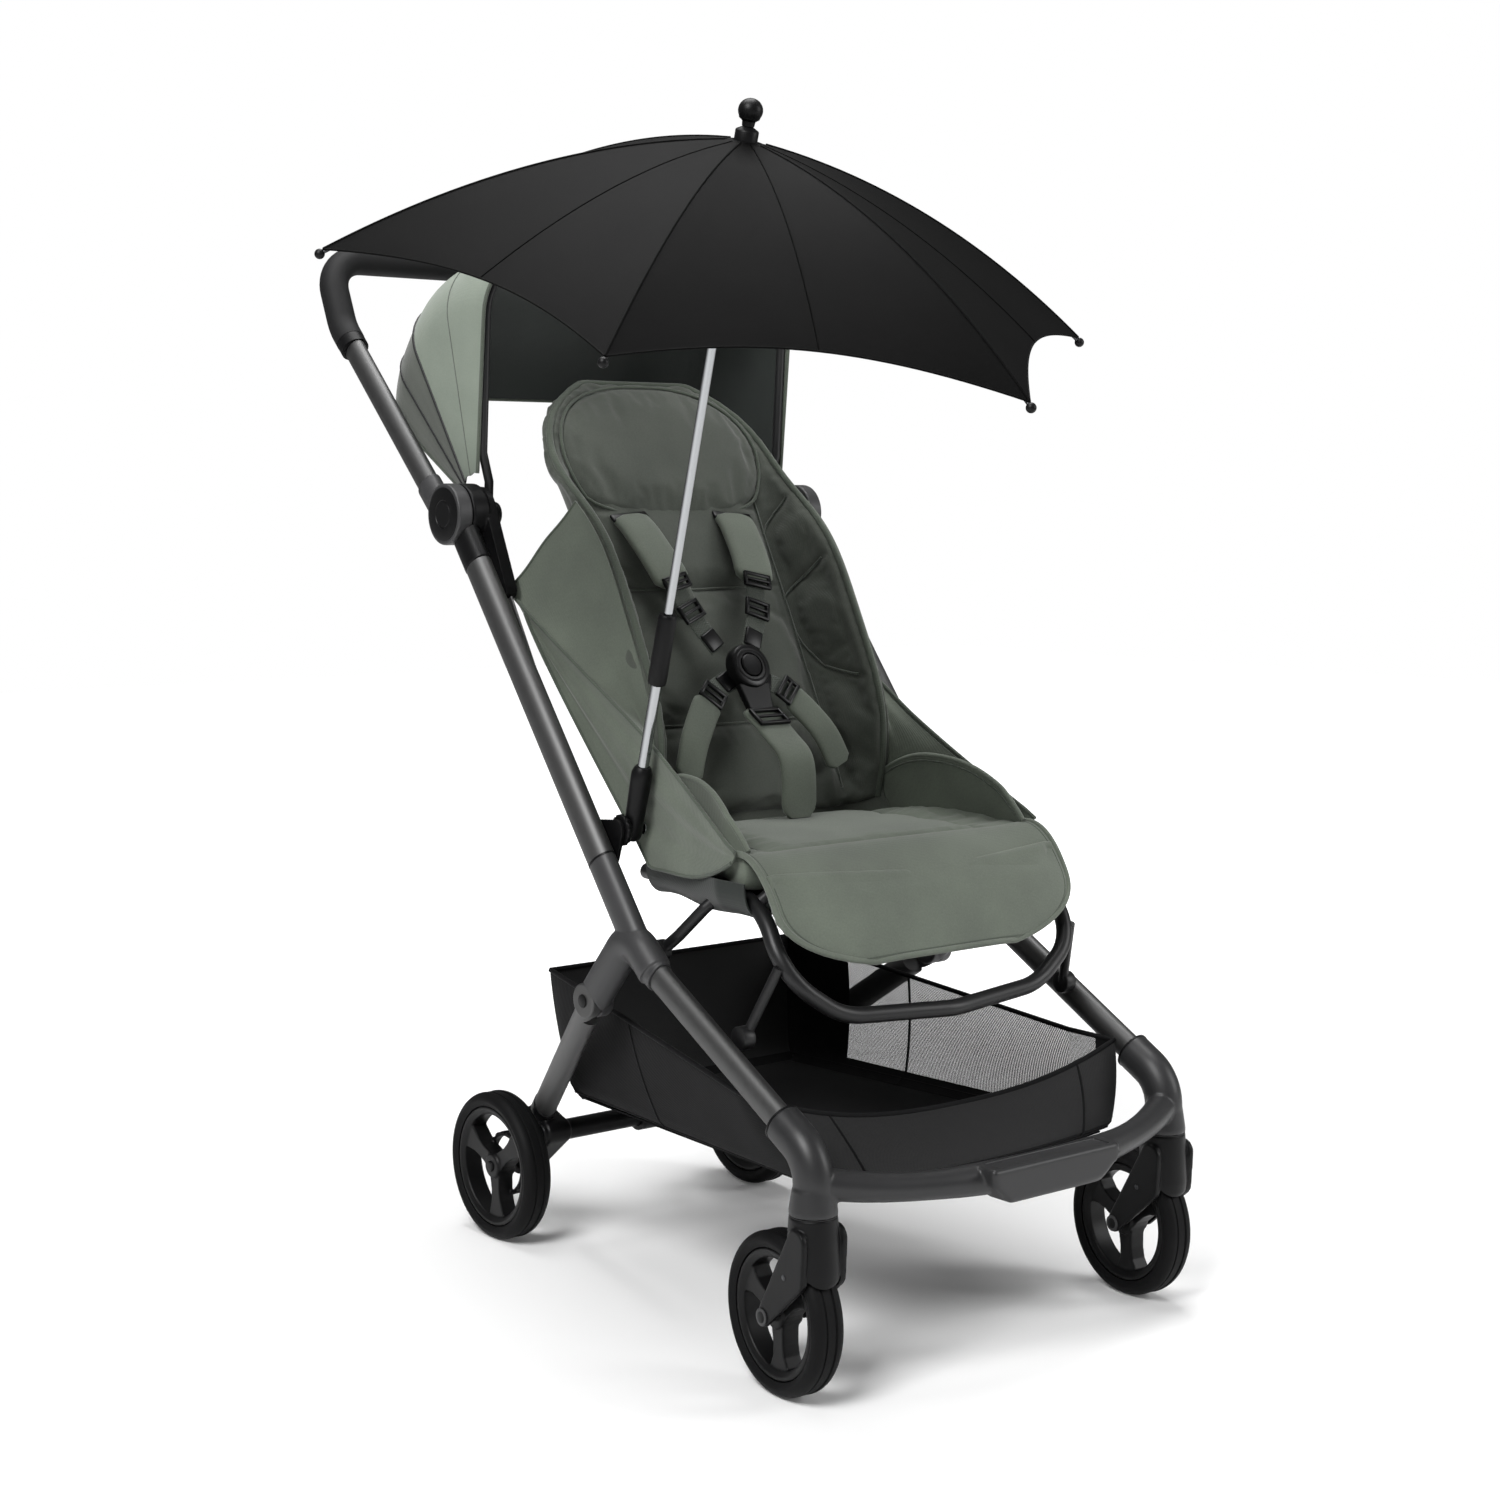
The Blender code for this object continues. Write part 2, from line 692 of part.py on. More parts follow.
def front_bar():
    """The cross bar with its two corner sockets and the footplate, as one moulding."""
    corner = (CASTER_Y, 0.212)
    pieces = []
    for side in (-1, 1):
        path = bend([at(side, LOWER_FOOT), at(side, corner), at(side, (CASTER_Y, STEM_Z + GAP))], 0.040, 4)
        pieces.append(oval_tube("front_corner", path, FRONT_CORNER, (side * TUBE_X, 0, 0), 12))
        socket_foot = at(side, (CASTER_Y, STEM_Z + GAP))
        socket_top = at(side, (CASTER_Y, STEM_Z + 0.022))
        narrow = STEM_RADIUS - 0.003
        pieces.append(rod("stem_socket", STEM_RADIUS, socket_foot, socket_top, sides=20, top_radius=narrow))
    bar = []
    count = 8
    for i in range(count + 1):
        u = -1 + 2 * i / count
        y = CASTER_Y - FRONT_BAR_BOW * (1 - abs(u) ** 2.2)
        z = FRONT_BAR_Z + 0.012 * abs(u) ** 4
        bar.append((u * TUBE_X, y, z))
    cross = as_mesh(rail("front_crossbar", bar, FRONT_BAR_RADIUS, (0, CASTER_Y, FRONT_BAR_Z), 10))
    foot_size = (FOOTPLATE_WIDTH, FOOTPLATE_DEPTH, FOOTPLATE_HEIGHT)
    foot_centre = (0, CASTER_Y - FRONT_BAR_BOW - 0.006, FRONT_BAR_Z - 0.002)
    foot = box("footplate", foot_size, foot_centre, bevel=0.008, segments=2)
    join(cross, *pieces, foot)
    for side in (-1, 1):
        bore_foot = at(side, (CASTER_Y, STEM_Z - 0.01))
        bore_top = at(side, (CASTER_Y, STEM_Z + 0.021))
        cut(cross, rod("stem_bore", CASTER_STEM_RADIUS + RUNNING_GAP, bore_foot, bore_top, sides=16))
    finish(cross, "moulding")


def tyre(name, radius, base, parent):
    """A tyre round X with rounded shoulders and three grooves."""
    half = TYRE_WIDTH / 2
    inner = radius - TYRE_DEPTH
    profile = [
        (inner, half - 0.003),
        (radius - 0.008, half),
        (radius - 0.0025, half - 0.003),
        (radius, half - 0.010),
        (radius, -(half - 0.010)),
        (radius - 0.0025, -(half - 0.003)),
        (radius - 0.008, -half),
        (inner, -(half - 0.003)),
    ]
    made = turned(name, profile, 24, base, (0, math.pi / 2, 0), parent, ring=True)
    return finish(made, "tyre")


def rim(name, radius, base, parent, brake_side=0):
    """A one-piece wheel: outer ring, three spokes, hub, and a toothed ring on a braked wheel."""
    seat = radius - TYRE_DEPTH - GAP
    half = TYRE_WIDTH / 2 - 0.004
    ring = turned(
        name,
        [(seat - 0.0035, half + 0.001), (seat, half), (seat, -half), (seat - 0.0035, -half - 0.001),
         (seat - 0.0085, -half + 0.002), (seat - 0.0085, half - 0.002)],
        24, base, (0, math.pi / 2, 0), parent, ring=True,
    )
    core = turned("rim_core", [(0, half), (HUB_CORE_RADIUS, half), (HUB_CORE_RADIUS, -half), (0, -half)],
                  16, base, (0, math.pi / 2, 0), parent)
    join(ring, core)
    for k in range(SPOKES):
        angle = math.radians(55) + 2 * math.pi * k / SPOKES
        middle = (seat - 0.004) / 2 + 0.002
        size = (2 * half - 0.006, 0.0145, seat - 0.008)
        spoke = box("spoke", size, (0, -middle * math.sin(angle), middle * math.cos(angle)), (0, 0, 0),
                    (angle, 0, 0), parent=parent)
        spoke.location = base
        join(ring, spoke)
    if brake_side:
        outline = []
        for i in range(2 * BRAKE_TEETH):
            r = 0.0335 if i % 2 else 0.0300
            angle = 2 * math.pi * i / (2 * BRAKE_TEETH)
            outline.append((r * math.cos(angle), r * math.sin(angle)))
        teeth = plate("brake_ring", outline, 0.009, base, (0, math.pi / 2, 0), parent)
        teeth.data.transform(Matrix.Translation((0, 0, brake_side * (half - 0.002))))
        join(ring, teeth)
    bore_ends = [(-0.05, 0, 0), (0.05, 0, 0)]
    bore = rod("rim_bore", AXLE_RADIUS + RUNNING_GAP, *bore_ends, (0, 0, 0), 16, parent=parent)
    bore.location = base
    cut(ring, bore)
    return finish(ring, "rim")


def casters():
    for side in (-1, 1):
        end = side_name(side)
        pivot = empty(f"caster_pivot_{end}", (side * TUBE_X, CASTER_Y, 0), (0, 0, CASTER_SWIVEL))
        axle = (0, CASTER_TRAIL, FRONT_WHEEL_D / 2)
        radius = FRONT_WHEEL_D / 2

        # Fork: a tall crown under the corner and an arm down each side of the wheel
        top = STEM_Z - GAP
        crown = turned(
            f"caster_fork_{end}",
            [(0, top), (STEM_RADIUS, top), (STEM_RADIUS + 0.0012, top - 0.020),
             (STEM_RADIUS + 0.0023, top - 0.046), (STEM_RADIUS + 0.0010, top - 0.057),
             (STEM_RADIUS - 0.0050, top - 0.0625), (0, top - 0.0640)],
            18, parent=pivot,
        )
        arm_outline = [((-0.006, top - 0.0200), 0.012), ((-0.004, top - 0.050), 0.012)]
        arm_outline.append(((CASTER_TRAIL, radius), 0.0085))
        arms = []
        for k in (-1, 1):
            inner = FORK_WIDTH / 2 - FORK_WALL
            outer = FORK_WIDTH / 2
            arm = hull_plate("fork_arm", k, arm_outline, (inner, outer))
            arm.parent = pivot
            arms.append(arm)
        stem_ends = [(0, 0, top - 0.01), (0, 0, STEM_Z + 0.018)]
        stem = rod("fork_stem", CASTER_STEM_RADIUS, *stem_ends, (0, 0, 0), 16, parent=pivot)
        join(crown, *arms, stem)
        room_half = TYRE_WIDTH / 2 + FORK_ROOM - 0.00065
        room_ends = [(-room_half, *axle[1:]), (room_half, *axle[1:])]
        cut(crown, rod("wheel_room", radius + 0.0030, *room_ends, (0, 0, 0), 32, parent=pivot))
        pin_half = FORK_WIDTH / 2 + 0.002
        pin_ends = [(-pin_half, *axle[1:]), (pin_half, *axle[1:])]
        join(crown, rod("wheel_pin", AXLE_RADIUS, *pin_ends, (0, 0, 0), 16, parent=pivot))
        finish(crown, "moulding")
        tyre(f"front_tyre_{end}", radius, axle, pivot)
        rim(f"front_rim_{end}", radius, axle, pivot)


def rear_axle():
    """Rear legs, the axle bar with its end brackets, the wheels and the brake pedal."""
    bar_y, bar_z = AXLE_BAR
    radius = REAR_WHEEL_D / 2
    base = (0, LEG_PIVOT[0], LEG_PIVOT[1])
    cross = rod("rear_crossbar", AXLE_BAR_RADIUS, (-BRACKET_X[0] - 0.006, bar_y, bar_z),
                (BRACKET_X[0] + 0.006, bar_y, bar_z), base, 16)
    for side in (-1, 1):
        end = side_name(side)
        leg_start = at(side, LEG_PIVOT)
        leg_foot = Vector((side * LEG_FOOT[0], LEG_FOOT[1], LEG_FOOT[2]))
        line = (leg_foot - leg_start).normalized()
        leg = oval_tube(f"rear_leg_{end}", [leg_start, leg_foot - line * GAP], LEG_TUBE, leg_start)
        disc_ends = [at(side, LEG_PIVOT, x) for x in LEG_DISC_X]
        join(leg, rod("leg_disc", LEG_DISC_RADIUS, *disc_ends, sides=24))
        cut(leg, lap_cutter("leg_clear", side, LEG_PIVOT, 0.170, LEG_DISC_X[0] - GAP, 0.0300))
        finish(leg, "anodised")

        # End bracket: a shoe for the leg, and a gusset down to the wheel pin
        shoe = oval_tube("leg_shoe", [leg_foot, leg_foot + line * LEG_SHOE_LENGTH], LEG_SHOE, leg_foot)
        heel = leg_foot + line * 0.036
        corners = [((bar_y, bar_z), 0.0125), ((0, radius), 0.0135), ((heel.y, heel.z), 0.013)]
        gusset = hull_plate("axle_gusset", side, corners, BRACKET_X)
        pin_start = (side * (BRACKET_X[1] - 0.006), 0, radius)
        pin_end = (side * (REAR_WHEEL_X + TYRE_WIDTH / 2 - 0.002), 0, radius)
        join(cross, shoe, gusset, rod("wheel_stub", AXLE_RADIUS, pin_start, pin_end, base, 20))
        wheel_base = (side * REAR_WHEEL_X, 0, radius)
        tyre(f"rear_tyre_{end}", radius, wheel_base, None)
        rim(f"rear_rim_{end}", radius, wheel_base, None, brake_side=-side)
    finish(cross, "moulding")

    # Brake pedal, hinged on the axle bar
    toe = (bar_y + PEDAL_REACH[0], bar_z + PEDAL_REACH[1])
    ends = [((bar_y, bar_z), AXLE_BAR_RADIUS + 0.005), (toe, 0.0045)]
    pedal = hull_plate("brake_pedal", 1, ends, (-PEDAL_WIDTH / 2, PEDAL_WIDTH / 2))
    pedal.data.transform(Matrix.Translation(pedal.location - Vector((0, bar_y, bar_z))))
    pedal.location = (0, bar_y, bar_z)
    bore_ends = [(-PEDAL_WIDTH, bar_y, bar_z), (PEDAL_WIDTH, bar_y, bar_z)]
    cut(pedal, rod("pedal_bore", AXLE_BAR_RADIUS + RUNNING_GAP, *bore_ends, sides=24))
    finish(pedal, "black")


def seat():
    """The seat's tube frame, its cushion, the backrest and the leg rest."""
    # Tube frame: two rails whose front drops in a U below the leg rest, with two cross bars
    rail_z = SEAT_BASE - GAP - FRAME_TUBE
    rear = Vector((0.140, BACK_PIVOT[0], rail_z))
    front = Vector((0.164, SEAT_FRONT[0] - 0.008, rail_z))
    side_bend = Vector((0.176, -0.474, 0.345))
    low = Vector((0.118, -0.484, 0.305))
    middle = Vector((0.0, -0.499, 0.300))

    def mirrored(point):
        return Vector((-point.x, point.y, point.z))

    path = [mirrored(p) for p in (rear, front, side_bend, low)]
    path += [middle, low, side_bend, front, rear]
    hoop = as_mesh(rail("seat_frame", bend(path, 0.035, 3), FRAME_TUBE, (0, SEAT_REAR[0], rail_z), 8))
    rear_bar = rod("seat_rear_bar", FRAME_TUBE, (-0.141, SEAT_REAR[0] - 0.014, rail_z),
                   (0.141, SEAT_REAR[0] - 0.014, rail_z), sides=10)
    pivot_end = Vector((0.161, -0.424, rail_z))
    pivot_bend = Vector((0.148, *REST_PIVOT))
    pivot_path = [mirrored(pivot_end), mirrored(pivot_bend), pivot_bend, pivot_end]
    pivot_bar = rail("rest_pivot", pivot_path, REST_BAR, sides=10)
    join(hoop, rear_bar, as_mesh(pivot_bar))
    for side in (-1, 1):
        strut_top = Vector((side * 0.1765, -0.468, 0.352))
        boss_ends = [(side * x, *STRUT_BOSS) for x in (STRUT_BOSS_X - 0.0126, STRUT_BOSS_X)]
        strut_foot = (side * (STRUT_BOSS_X - 0.0086), *STRUT_BOSS)
        strut = rod("seat_strut", 0.0045, strut_top, strut_foot, sides=10)
        boss = rod("strut_boss", SEAT_BOSS_RADIUS, *boss_ends, sides=14)
        link_path = [(side * 0.157, -0.366, rail_z), (side * 0.171, -0.356, 0.388)]
        link_path.append((side * (LINK_BOSS_X - 0.012), -0.335, 0.362))
        link_path.append((side * (LINK_BOSS_X - 0.008), -0.318, 0.348))
        link = rail("seat_link", link_path, 0.0055, sides=10)
        pad_ends = [(side * x, *LINK_BOSS) for x in (LINK_BOSS_X - 0.012, LINK_BOSS_X)]
        pad = rod("link_pad", SEAT_BOSS_RADIUS, *pad_ends, sides=14)
        join(hoop, strut, boss, as_mesh(link), pad)
    finish(hoop, "black")
    seat_cushion()
    backrest()
    leg_rest()


def seat_half(v):
    """Half the seat's width from the backrest (0) to the front edge (1)."""
    return blend_values(SEAT_HALF_REAR, SEAT_HALF, min(1.0, v / 0.8) ** 1.5)


def seat_cushion():
    """A cushion with a soft crown, and a lip that stands up along each side."""
    def top(u, v):
        across = 2 * u - 1
        y = blend_values(SEAT_REAR[0], SEAT_FRONT[0], v)
        crown = 0.005 * (1 - across ** 4) * (1 - (2 * v - 1) ** 6)
        edge = max(0.0, (abs(across) - 0.72) / 0.28) ** 1.5
        lip = SEAT_LIP * edge * math.sin(math.pi * max(0.0, (v - 0.10) / 0.90)) ** 0.8
        z = blend_values(SEAT_REAR[1], SEAT_FRONT[1], v) + crown + lip
        return (across * seat_half(v), y, z)

    def base(u, v):
        across = 2 * u - 1
        return (across * (seat_half(v) - 0.002), blend_values(SEAT_REAR[0], SEAT_FRONT[0], v), SEAT_BASE)

    cushion = soft_form("seat_cushion", top, base, 8, 6, (0, *SEAT_REAR))
    finish(cushion, "liner")


def back_spot(v, lift):
    """A point of the backrest's middle line, v up its length and lifted off its rear face."""
    line = direction(BACK_PIVOT, BACK_TOP)
    start = step_along(BACK_PIVOT, line, 0.030)
    y = blend_values(start[0], BACK_TOP[0], v) - line.y * lift
    z = blend_values(start[1], BACK_TOP[1], v) + line.x * lift
    return y, z


def wing_rise(v):
    """How far the side wings stand forward at each height."""
    return WING_RISE * math.exp(-(((v - 0.36) / 0.36) ** 4)) + 0.022 * math.exp(-(((v - 0.85) / 0.18) ** 2))


def back_section(across, v, depth):
    """The liner's cross section: flat in the middle, curling forward into a wing at each side."""
    side = math.copysign(1, across)
    wide = BACK_HALF
    if v > 0.82:
        wide *= math.sqrt(max(0.0, 1 - ((v - 0.82) / 0.215) ** 2.2))
    flat = BACK_FLAT * wide / BACK_HALF
    share = abs(across)
    if share <= 0.6:
        return (side * flat * share / 0.6, depth)
    turn = (share - 0.6) / 0.4
    angle = turn * math.pi / 2
    rise = wing_rise(v) * (1 - math.cos(angle))
    x = flat + (wide - flat) * math.sin(angle)
    lean = math.atan2(wing_rise(v) * math.sin(angle), max(1e-4, (wide - flat) * math.cos(angle)))
    return (side * (x - depth * math.sin(lean)), rise + depth * math.cos(lean))


def backrest():
    base = (0, *BACK_PIVOT)

    # Back frame: a hoop of tube behind the liner, on a hinge bar between the seat rails
    radius = 0.0060
    path = []
    for side, order in ((-1, (0.0, 0.93)), (1, (0.93, 0.0))):
        for v in order:
            path.append((side * BACK_HOOP_HALF, *back_spot(v, -radius - GAP)))
    hoop = as_mesh(rail("backrest_frame", bend(path, 0.04, 3), radius, base, 8))
    hinge_bar = rod("back_hinge", 0.0070, (-0.1326, *BACK_PIVOT), (0.1326, *BACK_PIVOT), sides=12)
    join(hoop, hinge_bar)
    for side in (-1, 1):
        foot_end = (side * BACK_HOOP_HALF, *back_spot(0.01, -radius - GAP))
        join(hoop, rod("back_foot", radius, (side * BACK_HOOP_HALF, *BACK_PIVOT), foot_end, sides=10))
    finish(hoop, "black")

    # Liner with its wings
    def liner_front(u, v):
        x, lift = back_section(2 * u - 1, v, BACK_THICK)
        return (x, *back_spot(v, lift))

    def liner_rear(u, v):
        x, lift = back_section(2 * u - 1, v, 0)
        return (x, *back_spot(v, lift))

    liner = soft_form("backrest_cushion", liner_front, liner_rear, 9, 8, base)
    finish(liner, "liner")


def leg_rest():
    """The panel that hangs from the seat's front bar, wide at the knees and rounded below."""
    line = Vector((math.cos(REST_SLOPE), math.sin(REST_SLOPE)))
    normal = Vector((line.y, -line.x))
    start = step_along(step_along(REST_PIVOT, normal, REST_BAR + GAP), line, -0.007)

    def rest_half(v):
        if v <= 0.35:
            return REST_HALF
        return REST_HALF * math.sqrt(max(0.0, 1 - ((v - 0.35) / 0.72) ** 2.4))

    def rest_spot(v, lift):
        return step_along(step_along(start, line, v * REST_LENGTH), normal, lift)

    def rest_front(u, v):
        across = 2 * u - 1
        lift = REST_THICK + 0.004 * (1 - across ** 4) * math.sin(math.pi * v)
        return (across * rest_half(v), *rest_spot(v, lift))

    def rest_rear(u, v):
        return ((2 * u - 1) * rest_half(v), *rest_spot(v, 0))

    panel = soft_form("leg_rest", rest_front, rest_rear, 6, 5, (0, *REST_PIVOT))
    finish(panel, "sage")


def panel_x(y):
    """How far out the side cloth hangs, drawn in beside the seat and out at both ends."""
    if y > -0.25:
        return blend_values(PANEL_WAIST, PANEL_HUB_X, ((y + 0.25) / 0.198) ** 1.3)
    return blend_values(PANEL_WAIST, PANEL_FRONT_X, min(1.0, (-0.25 - y) / 0.15) ** 1.5)


def side_panels():
    """Cloth from each hub bracket down to the seat's front corner."""
    for side in (-1, 1):
        end = side_name(side)

        def surface(u, v, side=side):
            top_y = blend_values(-0.052, -0.412, u)
            top_z = blend_values(0.664, 0.450, u ** 0.92)
            low_y = blend_values(-0.080, -0.405, u)
            low_z = blend_values(0.640, 0.412, min(1.0, u * 1.75) ** 0.9)
            y = blend_values(top_y, low_y, v)
            z = blend_values(top_z, low_z, v)
            return (side * (panel_x(y) - 0.002 * math.sin(math.pi * v)), y, z)

        panel = sheet(f"side_panel_{end}", surface, 10, 4, 0.0016)
        finish(panel, "sage")


def harness():
    """Webbing over both shoulders, across both hips and up between the legs, with its buckle."""
    straps = []
    shell = BACK_THICK + 0.0032
    plate_v = 0.285
    plate_lift = shell + 0.0190
    for side in (-1, 1):
        path = []
        for v, x, lift in ((0.66, 0.064, 0), (0.61, 0.061, 0.010), (0.52, 0.054, 0.022),
                           (0.42, 0.041, 0.0225), (plate_v + 0.020, 0.016, 0.0205)):
            path.append((side * x, *back_spot(v, shell + lift)))
        straps.append(strap("shoulder_strap", path, 0.036, 0.0050))
        hip = []
        for v, x, lift in ((plate_v - 0.010, 0.012, 0.0205), (0.22, 0.050, 0.022),
                           (0.13, 0.082, 0.020), (0.06, 0.094, 0.012)):
            hip.append((side * x, *back_spot(v, shell + lift)))
        straps.append(strap("hip_strap", hip, 0.024, 0.0034))
    crotch = []
    for v, lift in ((plate_v - 0.020, 0.0205), (0.230, 0.0210), (0.185, 0.033),
                    (0.12, 0.051), (0.055, 0.062)):
        crotch.append((0, *back_spot(v, shell + lift)))
    crotch.append((0, crotch[-1][1] - 0.006, SEAT_REAR[1] + 0.0075))
    straps.append(strap("crotch_strap", crotch, 0.034, 0.0048))

    def buckle_disc(name, radius, low, high, sides=20, top_radius=None):
        ends = [(0, *back_spot(plate_v, lift)) for lift in (low, high)]
        return rod(name, radius, *ends, sides=sides, top_radius=top_radius)

    webbing = buckle_disc("harness_straps", 0.020, plate_lift - 0.0010, plate_lift + 0.0070, 24)
    join(webbing, *straps)
    finish(webbing, "webbing")

    foot = plate_lift + 0.0070 + GAP
    buckle = buckle_disc("harness_buckle", BUCKLE_RADIUS, foot, foot + 0.0120, 28, BUCKLE_RADIUS - 0.002)
    cut(buckle, buckle_disc("buckle_well", 0.0120, foot + 0.0060, foot + 0.0200))
    finish(buckle, "black")
    button = buckle_disc("buckle_button", 0.0120 - RUNNING_GAP, foot + 0.0090, foot + 0.0135)
    finish(button, "black")


def strap(name, path, width, thickness):
    """Flat webbing along a path, level across X."""
    shape = bmesh.new()
    rings = []
    points = [Vector(p) for p in path]
    for i, point in enumerate(points):
        ahead = points[min(i + 1, len(points) - 1)]
        behind = points[max(i - 1, 0)]
        line = (ahead - behind).normalized()
        across = Vector((1, 0, 0))
        across = (across - line * across.dot(line)).normalized()
        up = across.cross(line).normalized()
        ring = []
        for a, b in ((-1, -1), (1, -1), (1, 1), (-1, 1)):
            ring.append(shape.verts.new(point + across * a * width / 2 + up * b * thickness / 2))
        rings.append(ring)
    for first, second in zip(rings, rings[1:]):
        for i in range(4):
            k = (i + 1) % 4
            shape.faces.new((first[i], first[k], second[k], second[i]))
    shape.faces.new(rings[0])
    shape.faces.new(rings[-1])
    bmesh.ops.recalc_face_normals(shape, faces=shape.faces)
    mesh = bpy.data.meshes.new(name)
    shape.to_mesh(mesh)
    shape.free()
    return object_from(name, mesh)


def arch(half, height, corner, foot):
    """Points up one side, over and down the other: (x, distance from the hub line)."""
    corners = [(-half, foot), (-half, height), (half, height), (half, foot)]
    points = [Vector((x, y, 0)) for x, y in corners]
    rounded = bend(points, corner, 4)
    made = [rounded[0], rounded[0].lerp(rounded[1], 0.5)]
    made += rounded[1:-1]
    made += [rounded[-2].lerp(rounded[-1], 0.5), rounded[-1]]
    return [(p.x, p.y) for p in made]


def from_hub(x, reach, angle):
    """A point at a distance from the hub line, leaning back from the front by an angle in degrees."""
    turn = math.radians(angle)
    return (x, HUB[0] + reach * math.cos(turn), HUB[1] + reach * math.sin(turn))


def hood():
    """The bow, hinged on the hubs, and the cloth from the seat's back over to it."""
    profile = arch(BOW_HALF, BOW_HEIGHT, BOW_CORNER, 0.060)
    path = [from_hub(-BOW_FOOT, 0, BOW_ANGLE), from_hub(-BOW_FOOT, 0.032, BOW_ANGLE)]
    path += [from_hub(x, r, BOW_ANGLE) for x, r in profile]
    path += [from_hub(BOW_FOOT, 0.032, BOW_ANGLE), from_hub(BOW_FOOT, 0, BOW_ANGLE)]
    bow = as_mesh(rail("canopy_bow", path, BOW_TUBE, (0, *HUB), 8))
    for side in (-1, 1):
        eye = rod("bow_eye", 0.0120, (side * (BOW_FOOT - 0.009), *HUB), (side * BOW_EYE_X, *HUB), sides=20)
        join(bow, eye)
    finish(bow, "black")

    clear = BOW_TUBE + GAP + HOOD_THICK / 2
    outer = arch(BOW_HALF + clear, BOW_HEIGHT + clear, BOW_CORNER + clear, 0.040)
    count = len(outer) - 1

    def cloth(u, v):
        x, r = outer[round(v * count)]
        angle = blend_values(BOW_ANGLE + 1.5, HOOD_REAR, u)
        puff = 0.006 * math.sin(math.pi * u) * min(1.0, r / BOW_HEIGHT) ** 3
        return from_hub(x * (1 - 0.05 * u ** 3), r * (1 - 0.06 * u ** 4) + puff, angle)

    cover = sheet("canopy_fabric", cloth, 6, count, HOOD_THICK, (0, *HUB))
    finish(cover, "sage")


def basket():
    """An open cloth tub between the side frames: floor, two sides, a tall rear and a low front."""
    shape = bmesh.new()
    rows = [0, 0.14, 0.38, 0.62, 0.86, 1.0]
    columns = [-1, -0.72, -0.26, 0.26, 0.72, 1]

    def rim_spot(c, v):
        half = blend_values(BASKET_HALF_REAR, BASKET_HALF_FRONT, min(1.0, v / 0.86))
        side_z = blend_values(BASKET_RIM_REAR, BASKET_RIM_SIDE, min(1.0, v / 0.86))
        front_z = blend_values(BASKET_RIM_FRONT, BASKET_RIM_SIDE, abs(c) ** 2.5)
        z = front_z if v == 1 else side_z
        return (c * half, blend_values(BASKET_REAR, BASKET_FRONT, v), z)

    def floor_spot(c, v):
        half = blend_values(BASKET_HALF_REAR - 0.0145, BASKET_HALF_FRONT - 0.0328, v)
        y = blend_values(BASKET_FLOOR_REAR, BASKET_FLOOR_FRONT + 0.014 * c * c, v)
        sag = 0.005 * (1 - c * c) * math.sin(math.pi * v)
        return (c * half, y, BASKET_FLOOR + 0.006 * v - sag)

    floor = {}
    for j, v in enumerate(rows):
        for i, c in enumerate(columns):
            floor[(i, j)] = shape.verts.new(floor_spot(c, v))
    last_row, last_column = len(rows) - 1, len(columns) - 1
    for j in range(last_row):
        for i in range(last_column):
            corners = [(i, j), (i + 1, j), (i + 1, j + 1), (i, j + 1)]
            shape.faces.new([floor[c] for c in corners])
    loop = [(i, 0) for i in range(last_column)]
    loop += [(last_column, j) for j in range(last_row)]
    loop += [(i, last_row) for i in range(last_column, 0, -1)]
    loop += [(0, j) for j in range(last_row, 0, -1)]
    rim_verts = [shape.verts.new(rim_spot(columns[i], rows[j])) for i, j in loop]
    for k, spot in enumerate(loop):
        n = (k + 1) % len(loop)
        shape.faces.new((floor[loop[n]], floor[spot], rim_verts[k], rim_verts[n]))
    bmesh.ops.recalc_face_normals(shape, faces=shape.faces)
    mesh = bpy.data.meshes.new("basket")
    shape.to_mesh(mesh)
    shape.free()
    tub = object_from("basket", mesh)
    wall = tub.modifiers.new("wall", "SOLIDIFY")
    wall.thickness = BASKET_WALL
    wall.offset = 0
    finish(tub, "mesh")


def rib_point(share, phase, below=0.0):
    """A point on or below the cloth along one rib; share runs from the pivot out to the tip."""
    r = RIB_PIVOT_RADIUS + (RIB_REACH - RIB_PIVOT_RADIUS) * share
    t = r / RIB_REACH
    z = SHAFT_LENGTH - RIB_DROP * (0.25 * t + 0.75 * t * t) - below
    return Vector((r * math.cos(phase), r * math.sin(phase), z))


def parasol():
    parasol_bracket()
    frame = empty("parasol_frame", PARASOL_PIN, (PARASOL_LEAN[0], PARASOL_LEAN[1], 0))
    lower_parasol(frame)
    upper_parasol(frame)
    for k in range(RIBS):
        parasol_arm(k, frame)
    parasol_cloth(frame)


